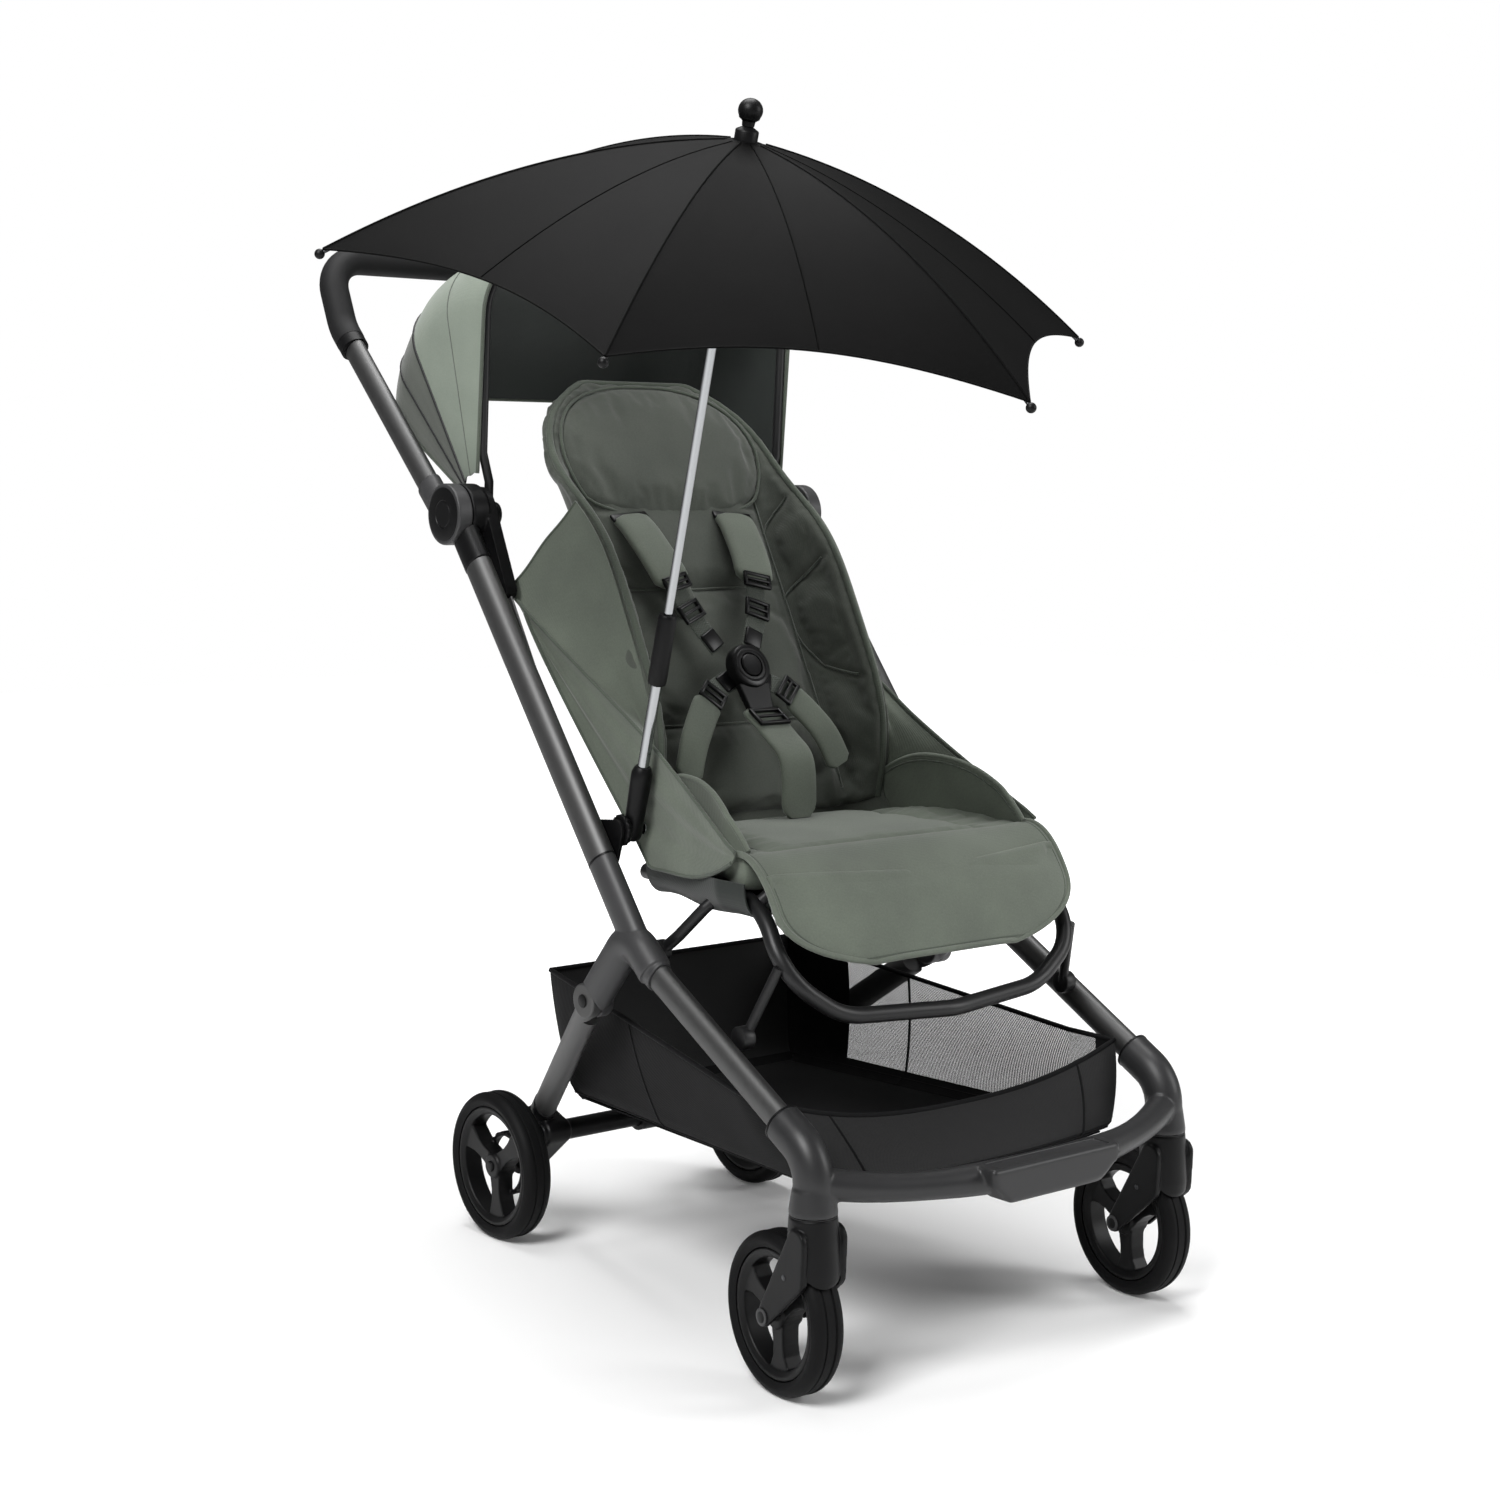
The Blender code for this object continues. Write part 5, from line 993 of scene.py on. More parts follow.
# %% [markdown]
# ## Seat tube, back hoop and hood bow
# The seat hangs on a bent steel hoop whose front drops below the leg rest. Two struts and two short
# links hold it to the side frames. A smaller hoop stiffens the back, and the hood is drawn over a bow of
# thin tube that turns on the hubs. Welds are simply where the bars run into each other.

# %% Bent steel
BACK_PIVOT = (-0.226, 0.412)
BACK_TOP = (0.006, 0.868)
REST_PIVOT = (-0.4335, 0.4165)
RAIL_Z = 0.4031
STRUT_X, LINK_X = 0.2016, 0.1960


def both_sides(half, middle=()):
    """A path from the right side to the left, from its left half."""
    return [(-x, y, z) for x, y, z in half] + list(middle) + half[::-1]


rail = [(0.140, -0.226, RAIL_Z), (0.164, -0.428, RAIL_Z), (0.176, -0.474, 0.345), (0.118, -0.484, 0.305)]
hoop = round_path(both_sides(rail, [(0, -0.499, 0.300)]), 0.075, 14)
pivot = round_path(both_sides([(0.161, -0.424, RAIL_Z), (0.148, *REST_PIVOT)]), 0.012)
bars = [tube("hoop", hoop, 0.0075, 24), tube("rear_bar", both_sides([(0.141, -0.251, RAIL_Z)]), 0.0075, 24)]
bars.append(tube("pivot_bar", pivot, 0.0055, 24))
for side, end in SIDES:
    strut_foot = at(side, (-0.443, 0.290), STRUT_X - 0.0126)
    strut = [at(side, (-0.468, 0.352), 0.1765), at(side, (-0.443, 0.290), STRUT_X - 0.0086)]
    link = [at(side, (-0.366, RAIL_Z), 0.157), at(side, (-0.356, 0.388), 0.171)]
    link += [at(side, (-0.335, 0.362), LINK_X - 0.012), at(side, (-0.318, 0.348), LINK_X - 0.008)]
    bars.append(tube("strut", strut, 0.0045, 20))
    bars.append(disc("boss", strut_foot, (side, 0, 0), 0.0105, 0.0126, 0.0015, 40))
    bars.append(tube("link", round_path(link, 0.012), 0.0055, 20))
    pad_spot = at(side, (-0.315, 0.346), LINK_X - 0.012)
    bars.append(disc("pad", pad_spot, (side, 0, 0), 0.0105, 0.012, 0.0015, 40))
dress(weld("seat_hoop", bars), "main_frame", coated, "seat_tube", ["seat_frame"])


def back_spot(v, lift):
    """A point of the backrest's middle line, v up its length and lifted off its rear face."""
    line = Vector((BACK_TOP[0] - BACK_PIVOT[0], BACK_TOP[1] - BACK_PIVOT[1])).normalized()
    start = toward(BACK_PIVOT, BACK_TOP, 0.030)
    y = start[0] + (BACK_TOP[0] - start[0]) * v - line.y * lift
    z = start[1] + (BACK_TOP[1] - start[1]) * v + line.x * lift
    return y, z


HOOP_X, HOOP_LIFT = 0.092, -0.0064
path = both_sides([(HOOP_X, *back_spot(0, HOOP_LIFT)), (HOOP_X, *back_spot(0.93, HOOP_LIFT))])
bars = [tube("hoop", round_path(path, 0.04, 10), 0.006, 24)]
bars.append(disc("hinge", (-0.1326, *BACK_PIVOT), (1, 0, 0), 0.007, 0.2652, 0.001, 32))
for side, end in SIDES:
    foot = [(side * HOOP_X, *BACK_PIVOT), (side * HOOP_X, *back_spot(0.01, HOOP_LIFT))]
    bars.append(tube("foot", foot, 0.006, 24))
dress(weld("back_hoop", bars), "backrest", coated, "seat_tube", ["backrest_frame"])

BOW_HALF, BOW_FOOT, BOW_HEIGHT, BOW_CORNER, BOW_RADIUS = 0.184, 0.176, 0.2535, 0.060, 0.0045
BOW_ANGLE, HOOD_REAR = 94, 30


def from_hub(x, reach, angle):
    """A point at a distance from the hub line, leaning back from the front by an angle in degrees."""
    turn = math.radians(angle)
    return Vector((x, HUB[0] + reach * math.cos(turn), HUB[1] + reach * math.sin(turn)))


def arch(half, height, corner, foot, steps=10):
    corners = [Vector((x, r, 0)) for x, r in ((-half, foot), (-half, height), (half, height), (half, foot))]
    return [(p.x, p.y) for p in round_path(corners, corner, steps)]


spots = [(-BOW_FOOT, 0), (-BOW_FOOT, 0.032)] + arch(BOW_HALF, BOW_HEIGHT, BOW_CORNER, 0.060)
spots += [(BOW_FOOT, 0.032), (BOW_FOOT, 0)]
bars = [tube("bow", [from_hub(x, r, BOW_ANGLE) for x, r in spots], BOW_RADIUS, 20)]
for side, end in SIDES:
    bars.append(disc("eye", (side * (BOW_FOOT - 0.009), *HUB), (side, 0, 0), 0.0120, 0.0149, 0.001, 48))
dress(weld("hood_bow_tube", bars), "hood_bow", coated, "black_plastic", ["canopy_bow"])

# %% [markdown]
# ## Padding
# Each pad starts as a closed form between a front and a back surface, made a little too small. It is
# remeshed evenly and blown up as cloth with air pressure and no gravity. The points along its seams are
# held, so the cloth rises between them as wadding does between sewn lines. No point may go further
# than a few millimetres. Then it is subdivided once, the seams are pressed in, and a cord of piping or
# a row of thread is laid into each of them.

# %% Padding helpers
from mathutils.kdtree import KDTree


def shell(name, front, rear, columns=48, rows=48):
    """A closed form between two surfaces, each a function of (u, v) from 0 to 1."""
    points, faces = [], []
    wide = columns + 1
    count = wide * (rows + 1)
    for surface in (front, rear):
        for j in range(rows + 1):
            points += [surface(i / columns, j / rows) for i in range(wide)]
    for j in range(rows):
        for i in range(columns):
            a = j * wide + i
            faces.append((a, a + 1, a + wide + 1, a + wide))
            faces.append((count + a, count + a + wide, count + a + wide + 1, count + a + 1))
    rim = list(range(columns)) + [j * wide + columns for j in range(rows)]
    rim += [rows * wide + i for i in range(columns, 0, -1)] + [j * wide for j in range(rows, 0, -1)]
    for a, b in zip(rim, rim[1:] + rim[:1]):
        faces.append((b, a, count + a, count + b))
    return outward(from_points(name, points, faces=faces), 0.00002)


def near(lines, step=0.002):
    """A search tree of points a step apart along some lines."""
    points = []
    for line in lines:
        for a, b in zip(line, line[1:]):
            a, b = Vector(a), Vector(b)
            count = max(1, int((b - a).length / step))
            points += [a.lerp(b, i / count) for i in range(count)]
        points.append(Vector(line[-1]))
    tree = KDTree(len(points))
    for i, point in enumerate(points):
        tree.insert(point, i)
    tree.balance()
    return tree


def coordinates(piece):
    flat = np.empty(len(piece.data.vertices) * 3)
    piece.data.vertices.foreach_get("co", flat)
    return flat.reshape(-1, 3)


def puff(piece, seams, voxel=0.005, cap=0.006, pressure=4.0, inset=0.0015, hold=0.005):
    """Blows a pad up between its sewn lines."""
    edit_all(piece)
    bpy.ops.transform.shrink_fatten(value=-inset)
    done()
    modify(piece, "REMESH", mode="VOXEL", voxel_size=voxel)
    modify(piece, "SMOOTH", factor=0.5, iterations=3)
    rest = coordinates(piece)
    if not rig.quick():
        tree = near(seams)
        sewn = piece.vertex_groups.new(name="sewn")
        sewn.add([v.index for v in piece.data.vertices if tree.find(v.co)[2] < hold], 1, "REPLACE")
        pick(piece)
        cloth = piece.modifiers.new("cloth", "CLOTH")
        cloth.settings.effector_weights.gravity = 0
        cloth.settings.use_pressure = True
        cloth.settings.uniform_pressure_force = pressure
        cloth.settings.vertex_group_mass = "sewn"
        cloth.settings.shrink_min = -0.025
        cloth.settings.quality = 5
        for number in range(1, 21):
            bpy.context.scene.frame_set(number)
        bpy.ops.object.modifier_apply(modifier="cloth")
        bpy.context.scene.frame_set(1)
        moved = coordinates(piece) - rest
        length = np.linalg.norm(moved, axis=1, keepdims=True)
        moved *= np.minimum(1, cap / np.maximum(length, 1e-9))
        piece.data.vertices.foreach_set("co", (rest + moved).ravel())
        piece.data.update()
        print(piece.name, "rose", round(float(length.max()) * 1000, 1), "mm at most")
    modify(piece, "SUBSURF", levels=1)
    return piece


def press(piece, lines, depth=0.003, width=0.0045):
    """Pushes the surface in along sewn lines."""
    tree = near(lines)
    for vertex in piece.data.vertices:
        gap = tree.find(vertex.co)[2]
        if gap < 3 * width:
            vertex.co -= vertex.normal * depth * math.exp(-((gap / width) ** 2))
    piece.data.update()


def lay(name, piece, line, radius, sides=10, sink=0.2):
    """A cord laid on a piece's surface along a line."""
    spots = []
    for point in line:
        _, spot, normal, _ = piece.closest_point_on_mesh(Vector(point))
        spots.append(spot + normal * radius * (1 - 2 * sink))
    smooth = spots[:]
    for i in range(1, len(spots) - 1):
        smooth[i] = (spots[i - 1] + spots[i] * 2 + spots[i + 1]) / 4
    return tube(name, smooth, radius, sides)


# %% Sheets
def surface_sheet(name, spot, columns, rows, thick=0.0014, wrap=False):
    """A thin cloth on a function of (u, v), each from 0 to 1. wrap joins its last column to its first."""
    points, faces = [], []
    wide = columns if wrap else columns + 1
    for j in range(rows + 1):
        points += [spot(i / columns, j / rows) for i in range(wide)]
    for j in range(rows):
        for i in range(columns):
            a, b = j * wide + i, j * wide + (i + 1) % wide
            faces.append((a, b, b + wide, a + wide))
    made = from_points(name, points, faces=faces)
    return modify(made, "SOLIDIFY", thickness=thick, offset=0)


# %% [markdown]
# ### Backrest liner
# The liner is one padded shell: flat behind the child, curling forward into a wing at each side. Two
# curved seams part the back from the wings, two straight ones cross the back, and three more quilt
# each wing. Its whole edge is bound with tape. The headrest is a second pad with rounded corners,
# sewn on with piping. It is left bare.

# %% Liner
BACK_HALF, BACK_FLAT, BACK_THICK = 0.148, 0.104, 0.022


def wing_rise(v):
    return 0.082 * math.exp(-(((v - 0.36) / 0.36) ** 4)) + 0.022 * math.exp(-(((v - 0.85) / 0.18) ** 2))


def back_point(across, v, depth):
    """A point of the liner: across from -1 to 1, v up its length, depth off its rear face."""
    side = math.copysign(1, across)
    wide = BACK_HALF
    if v > 0.74:
        wide *= math.sqrt(max(0.0, 1 - ((v - 0.74) / 0.272) ** 2.5))
    flat = BACK_FLAT * wide / BACK_HALF
    share = abs(across)
    if share <= 0.6:
        return Vector((side * flat * share / 0.6, *back_spot(v, depth)))
    angle = (share - 0.6) / 0.4 * math.pi / 2
    rise = wing_rise(v) * (1 - math.cos(angle))
    lean = math.atan2(wing_rise(v) * math.sin(angle), max(1e-4, (wide - flat) * math.cos(angle)))
    x = flat + (wide - flat) * math.sin(angle) - depth * math.sin(lean)
    return Vector((side * x, *back_spot(v, rise + depth * math.cos(lean))))


def on_back(spots, depth=BACK_THICK, steps=16):
    """A smooth line over the liner's front through (across, v) spots."""
    flat = round_path([Vector((a, v, 0)) for a, v in spots], 0.05, 6)
    made = []
    for a, b in zip(flat, flat[1:]):
        made += [back_point(*a.lerp(b, i / steps)[:2], depth) for i in range(steps)]
    return made + [back_point(*flat[-1][:2], depth)]


# From where the back meets the wing, and then three across the wing
WING_SEAMS = (
    ((0.50, 0.95), (0.60, 0.80), (0.62, 0.55), (0.64, 0.30), (0.60, 0.02)),
    ((0.61, 0.62), (0.78, 0.66), (0.96, 0.69)),
    ((0.625, 0.47), (0.97, 0.52)),
    ((0.63, 0.40), (0.80, 0.30), (0.965, 0.24)),
)
liner_seams = [on_back([(side * a, v) for a, v in spots]) for side in (-1, 1) for spots in WING_SEAMS]
liner_seams += [on_back([(-0.60, v), (0, v - 0.004), (0.60, v)]) for v in (0.50, 0.20)]
edge_line = [back_point(-1, v / 60, 0.011) for v in range(59)]
edge_line += [back_point(-1 + a / 20, 0.978, 0.011) for a in range(1, 40)]
edge_line += [back_point(1, (58 - v) / 60, 0.011) for v in range(59)]


def liner_face(depth):
    return lambda u, v: back_point(2 * u - 1, v * 0.985, depth)


body = shell("backrest_liner", liner_face(BACK_THICK - 0.001), liner_face(0.0012), 72, 60)
puff(body, liner_seams + [edge_line], 0.0055, 0.005, 3.0, 0.0012, 0.006)
press(body, liner_seams, 0.0026, 0.0040)
dress(body, "backrest", liner, "liner_cloth", ["backrest_cushion"], 60)
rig.padded(body, fill=0.7)
for k, line in enumerate(liner_seams):
    dress(lay(f"liner_piping_{k + 1}", body, line[::3], 0.0011), "backrest", thread)
dress(lay("liner_binding", body, edge_line[::2], 0.0036, 14, 0.45), "backrest", binding)

# %% Headrest
HEAD_SPOKES, HEAD_RINGS = 72, 14
HEAD_MIDDLE, HEAD_HALF, HEAD_REACH = 0.812, 0.152, 0.80


def head_point(r, k, lift):
    """A point of a rounded square, narrower below, r out from its middle on spoke k."""
    angle = 2 * math.pi * k / HEAD_SPOKES
    c, s = math.cos(angle), math.sin(angle)
    reach = 1 / (abs(c) ** 3 + abs(s) ** 3) ** (1 / 3)
    across = HEAD_REACH * reach * c * (1 - 0.16 * max(0, -s))
    return back_point(across * r, HEAD_MIDDLE + HEAD_HALF * reach * s * r, lift)


points, faces = [head_point(0, 0, BACK_THICK + 0.0105)], []
for r in range(1, HEAD_RINGS + 1):
    share = r / HEAD_RINGS
    lift = BACK_THICK + 0.0005 + 0.009 * (1 - share**4) ** 0.7
    points += [head_point(share, k, lift) for k in range(HEAD_SPOKES)]
under = len(points)
points.append(head_point(0, 0, BACK_THICK - 0.006))
points += [head_point(1, k, BACK_THICK - 0.006) for k in range(HEAD_SPOKES)]
for k in range(HEAD_SPOKES):
    after = (k + 1) % HEAD_SPOKES
    faces.append((0, 1 + k, 1 + after))
    for r in range(HEAD_RINGS):
        a, b = 1 + r * HEAD_SPOKES + k, 1 + r * HEAD_SPOKES + after
        below = r == HEAD_RINGS - 1
        faces.append((a, under + 1 + k, under + 1 + after, b) if below
            else (a, a + HEAD_SPOKES, b + HEAD_SPOKES, b))
    faces.append((under, under + 1 + after, under + 1 + k))
pad = outward(from_points("headrest_pad", points, faces=faces))
rim = [head_point(1, k, BACK_THICK + 0.001) for k in range(HEAD_SPOKES)]
puff(pad, [rim], 0.0045, 0.004, 2.0, 0.0005, 0.006)
dress(pad, "backrest", liner, "liner_cloth", angle=60)
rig.padded(pad, fill=0.8)
dress(tube("headrest_piping", rim, 0.0017, 12, closed=True), "backrest", binding)
print("liner", len(body.data.vertices), "headrest", len(pad.data.vertices))

# %% [markdown]
# ### Seat cushion and leg rest
# The seat pad has a soft crown and a low lip along each side. Its cover is the lighter sage. The leg
# rest hangs in front of it, wide at the knees and rounded below.

# %% Seat
SEAT_FRONT = (-0.420, 0.437)
SEAT_REAR = (-0.237, 0.440)


def mix(a, b, share):
    return a + (b - a) * share


def seat_half(v):
    return mix(0.150, 0.174, min(1.0, v / 0.8) ** 1.5)


def seat_top(across, v, rise=0.0):
    crown = 0.005 * (1 - across**4) * (1 - (2 * v - 1) ** 6)
    edge = max(0.0, (abs(across) - 0.72) / 0.28) ** 1.5
    lip = 0.014 * edge * math.sin(math.pi * max(0.0, (v - 0.03) / 0.97)) ** 0.75
    y, z = [mix(a, b, v) for a, b in zip(SEAT_REAR, SEAT_FRONT)]
    return Vector((across * seat_half(v), y, z + crown + lip + rise))


def seat_half_at(y):
    return seat_half(min(1.0, max(0.0, (y - SEAT_REAR[0]) / (SEAT_FRONT[0] - SEAT_REAR[0]))))


def seat_base(across, v):
    top = seat_top(across, v)
    return Vector((across * (seat_half(v) - 0.002), top.y, 0.4118))


seams = [[seat_top(side * 0.72, v / 24) for v in range(1, 24)] for side in (-1, 1)]
lips = [[seat_top(side, v / 30) for v in range(1, 31)] for side in (-1, 1)]
seat = shell("seat_pad", lambda u, v: seat_top(2 * u - 1, v), lambda u, v: seat_base(2 * u - 1, v), 60, 36)
puff(seat, seams + lips, 0.005, 0.0045, 3.0, 0.0015)
press(seat, seams, 0.003, 0.005)
dress(seat, "main_frame", sage, "liner_cloth", ["seat_cushion"], 60)
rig.padded(seat, fill=0.7)
for k, line in enumerate(seams):
    dress(lay(f"seat_seam_{k + 1}", seat, line, 0.0009), "main_frame", thread)

# %% [markdown]
# A soft flap stands up along each side of the seat, highest near the back. It is two layers of the
# cover sewn together round a thin foam and piped along the top, and the piping runs on into the
# outline of the leg rest.

# %% Seat flaps
FLAP_HEIGHT, FLAP_PEAK = 0.054, 0.36


def flap_high(u):
    if u < FLAP_PEAK:
        return FLAP_HEIGHT * (1 - 0.42 * ((FLAP_PEAK - u) / FLAP_PEAK) ** 2)
    return FLAP_HEIGHT * (1 - ((u - FLAP_PEAK) / (1 - FLAP_PEAK)) ** 2.4)


for side, end in SIDES:
    def seat_flap(u, v, side=side, lift=0.0):
        y = mix(-0.236, -0.4135, u)
        x = seat_half_at(y) - 0.0035 - 0.004 * math.sin(0.5 * math.pi * v)
        return Vector((side * x, y, 0.4350 + (flap_high(u) + 0.0100) * v + lift))

    wing = surface_sheet(f"seat_flap_{end}", seat_flap, 60, 20, 0.0042)
    dress(wing, "main_frame", sage, angle=60)
    edge = tube(f"seat_flap_piping_{end}", [seat_flap(u / 60, 1.0) for u in range(61)], 0.0027, 12)
    dress(edge, "main_frame", sage)
    # Just inside the piping a thin cord of the darker binding cloth runs as a sewn seam. It is drawn dark as a painted
    # shadow line under the piping.
    inward = Vector((-side * 0.0022, 0, 0))
    line = [seat_flap(u / 60, 1.0, lift=-0.0050) + inward for u in range(1, 58)]
    seam = tube(f"seat_flap_seam_shade_line_{end}", line, 0.0010, 8)
    dress(seam, "main_frame", binding)
    area = sheet(wing, 0.18, "stretched", [seat], with_pieces=[edge, seam])
    print(end, "seat flap", round(area, 4), "m2")

# %% [markdown]
# The liner's lower edge runs on down into the crease behind the seat pad. This short piece of the same
# cloth follows both: it is blended between the backrest and the seat's frame.

# %% Cloth in the crease
def crease(u, v):
    across = mix(-1.0, 1.0, u)
    high = back_point(across, 0.02, 0.010)
    low = Vector((across * 0.150, -0.2345 - 0.030 * max(0.0, abs(across) - 0.6) / 0.4, 0.4200))
    slack = Vector((0, 0.004, 0)) * math.sin(math.pi * v)
    return high.lerp(low, v) + slack


fold = surface_sheet("liner_crease", crease, 60, 12, 0.0014)
span(fold, "backrest", (0, -0.2345, 0.420), (0, -0.215, 0.445), liner)
print("crease", round(sheet(fold, 0.03, "stretched", [body, seat]), 4), "m2")

# %% Leg rest
REST_HALF, REST_ROUND, REST_LENGTH = 0.175, 0.35, 0.092
slope = math.radians(-117.6)
REST_LINE = Vector((math.cos(slope), math.sin(slope)))
REST_NORMAL = Vector((REST_LINE.y, -REST_LINE.x))
REST_START = Vector(REST_PIVOT) + REST_NORMAL * 0.0059 + REST_LINE * -0.007


def rest_point(across, v, lift):
    wide = REST_HALF
    if v > REST_ROUND:
        wide *= math.sqrt(max(0.0, 1 - ((v - REST_ROUND) / 0.72) ** 2.4))
    y, z = REST_START + REST_LINE * (v * REST_LENGTH) + REST_NORMAL * lift
    return Vector((across * wide, y, z))


def rest_front(across, v):
    return rest_point(across, v, 0.013 + 0.004 * (1 - across**4) * math.sin(math.pi * v))


def rest_rear(across, v):
    return rest_point(across, v, 0.0008)


outline = [rest_front(-1, v / 40) for v in range(40)]
outline += [rest_point(-1 + a / 20, 0.985, 0.011) for a in range(41)]
outline += [rest_front(1, (39 - v) / 40) for v in range(40)]
rest = shell("leg_rest_pad", lambda u, v: rest_front(2 * u - 1, v), lambda u, v: rest_rear(2 * u - 1, v),
    60, 30)
puff(rest, [outline], 0.0045, 0.004, 3.0, 0.0015)
dress(rest, "leg_rest", sage, "sage_cloth", ["leg_rest"], 60)
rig.padded(rest, fill=0.75)
print("seat", len(seat.data.vertices), "leg rest", len(rest.data.vertices))

# %% [markdown]
# The seat's cover runs on over the front edge and down the whole leg rest as one piece of cloth, piped
# along its outline, with a line of stitches inside the piping. The stitches are drawn in the darker binding
# cloth as a painted shadow line beside the piping. It is blended between the seat's frame and the leg
# rest, so it follows both.

# %% Front apron
BEND, REST_TOP = 0.42, 0.34


def apron(u, v):
    """u across, v from the seat's pad over its front edge (0 to BEND) and down the leg rest."""
    across = 2 * u - 1
    off = Vector((0, *REST_NORMAL)) * (0.0035 * (1 - across**6) - 0.0010 * across**6)
    if v > BEND:
        return rest_front(across, mix(REST_TOP, 0.995, (v - BEND) / (1 - BEND))) + off
    high = seat_top(across, 0.93, 0.0015)
    low = rest_front(across, REST_TOP) + off
    drop = 0.30 * max(0.0, high.z - 0.447)
    over = Vector((mix(high.x, low.x, 0.45), SEAT_FRONT[0] - 0.016, high.z + 0.0035 - drop))
    share = v / BEND
    a, b = high.lerp(over, share), over.lerp(low, share)
    return a.lerp(b, share) + Vector((0, -0.0010, 0.0006)) * math.sin(math.pi * share) * math.sin(7 * across)


cover = surface_sheet("seat_front_apron", apron, 72, 60, 0.0016)


def apron_outline(steps, inset, start, stop, low):
    """Down the cover's right edge, along its lower edge and up its left edge."""
    down = [mix(start, stop, v / steps) for v in range(steps + 1)]
    line = [apron(inset, v) for v in down]
    line += [apron(mix(inset, 1 - inset, u / 40), low) for u in range(1, 40)]
    return line + [apron(1 - inset, v) for v in reversed(down)]


piping = tube("apron_piping", apron_outline(60, 0.0, 0.0, 1.0, 1.0), 0.0029, 12)
# The stitch cord inside the piping is drawn dark as a painted shadow line beside the piping.
stitch_shade_line = tube("apron_stitch_shade_line", apron_outline(50, 0.017, 0.02, 0.965, 0.968), 0.0012, 8)
for piece, stuff in ((cover, sage), (piping, sage), (stitch_shade_line, binding)):
    span(piece, "leg_rest", (0, -0.420, 0.440), (0, -0.447, 0.405), stuff)
area = sheet(cover, 0.12, "stretched", [seat, rest], with_pieces=[piping, stitch_shade_line])
print("apron", round(area, 4), "m2")

# %% [markdown]
# Below the seat pad a darker cloth wraps each rail of the seat's hoop, so that the tube lies in a
# sleeve.

# %% Rail sleeves
for side, end in SIDES:
    def sleeve_cloth(u, v, side=side):
        y = mix(-0.246, -0.424, u)
        turn = math.pi * v
        x = seat_half_at(y) - 0.0155 + 0.0205 * math.cos(turn)
        z = 0.4190 - 0.0330 * math.sin(turn) ** 0.8
        return Vector((side * x, y, z + 0.002 * math.sin(9 * u) * math.sin(turn)))

    sling = surface_sheet(f"rail_sleeve_{end}", sleeve_cloth, 40, 24, 0.0014)
    dress(sling, "main_frame", lining, angle=60)
    print(end, "rail sleeve", round(sheet(sling, 0.18, "hung", ["seat_frame", seat]), 4), "m2")

# %% [markdown]
# ## Side cloths
# A cloth runs from each hub bracket down to the seat's front corner and closes the side. It hangs a
# little loose, so a few long soft folds run along it and fade out at both ends. Its upper and lower
# edges are bound with tape.

# %% Side cloths
SIDE_REAR, SIDE_FRONT = (-0.052, 0.664), (-0.414, 0.446)


def hem(name, spots, radius, body, material, sides=10):
    return dress(tube(name, spots, radius, sides), body, material)


def panel_x(y):
    if y > -0.25:
        return mix(0.1660, 0.1813, ((y + 0.25) / 0.198) ** 1.3)
    return mix(0.1660, 0.1820, min(1.0, (-0.25 - y) / 0.15) ** 1.5)


for side, end in SIDES:
    def cloth(u, v, side=side):
        corner = max(0.0, (u - 0.74) / 0.26) ** 2
        y = mix(mix(SIDE_REAR[0], SIDE_FRONT[0], u), mix(-0.080, -0.409, u), v)
        low = mix(0.640, 0.414, min(1.0, u * 1.75) ** 0.9) + 0.022 * corner
        z = mix(mix(SIDE_REAR[1], SIDE_FRONT[1], u**0.92), low, v)
        loose = math.sin(math.pi * u) ** 0.7 * math.sin(math.pi * v)
        fold = 0.0022 * math.sin(9.5 * v + 2.2 * u) * loose + 0.0009 * math.sin(23 * v - 4 * u) * loose
        return Vector((side * (panel_x(y) - 0.002 * math.sin(math.pi * v) - fold), y, z))

    side_cloth = surface_sheet(f"side_cloth_{end}", cloth, 90, 40)
    dress(side_cloth, "main_frame", sage, "sage_cloth", [f"side_panel_{end}"], 60)
    tapes = []
    for k, v in enumerate((0.0, 1.0)):
        line = [cloth(u / 60, v) for u in range(61)]
        tapes.append(hem(f"side_binding_{end}_{k + 1}", line, 0.0019, "main_frame", binding))
    area = sheet(side_cloth, 0.42, "stretched", [f"hub_housing_{end}", "seat_cushion"], with_pieces=tapes)
    print(end, "side cloth", round(area, 4), "m2")

# %% [markdown]
# Between each wing and its side cloth a gusset closes the corner. It folds when the back reclines, so it
# is blended between the backrest and the seat's frame, and it hangs in one slack fold.

# %% Gussets
for side, end in SIDES:
    def gusset(u, v, side=side):
        wing = back_point(side * 0.99, mix(0.03, 0.66, u), 0.004)
        along = mix(0.80, 0.0, u**0.8)
        y, z = mix(SIDE_REAR[0], -0.412, along), mix(SIDE_REAR[1], 0.450, along**0.92) - 0.003
        edge = Vector((side * (panel_x(y) - 0.0030), y, z))
        slack = math.sin(math.pi * v) * (0.006 + 0.010 * math.sin(math.pi * u))
        ripple = Vector((0, 0, 0.0012 * math.sin(11 * v + 3 * u)))
        return wing.lerp(edge, v) + Vector((-side * 0.3, 0.9, -0.3)) * slack + ripple

    web = surface_sheet(f"side_gusset_{end}", gusset, 60, 24, 0.0014)
    tape = tube(f"gusset_binding_{end}", [gusset(1.0, v / 20) for v in range(21)], 0.0017, 10)
    for piece, stuff in ((web, sage), (tape, binding)):
        span(piece, "backrest", (side * 0.181, -0.10, 0.60), (side * 0.140, -0.13, 0.62), stuff)
    area = sheet(web, 0.40, "hung", [f"side_cloth_{end}", body], with_pieces=[tape])
    print(end, "gusset", round(area, 4), "m2")

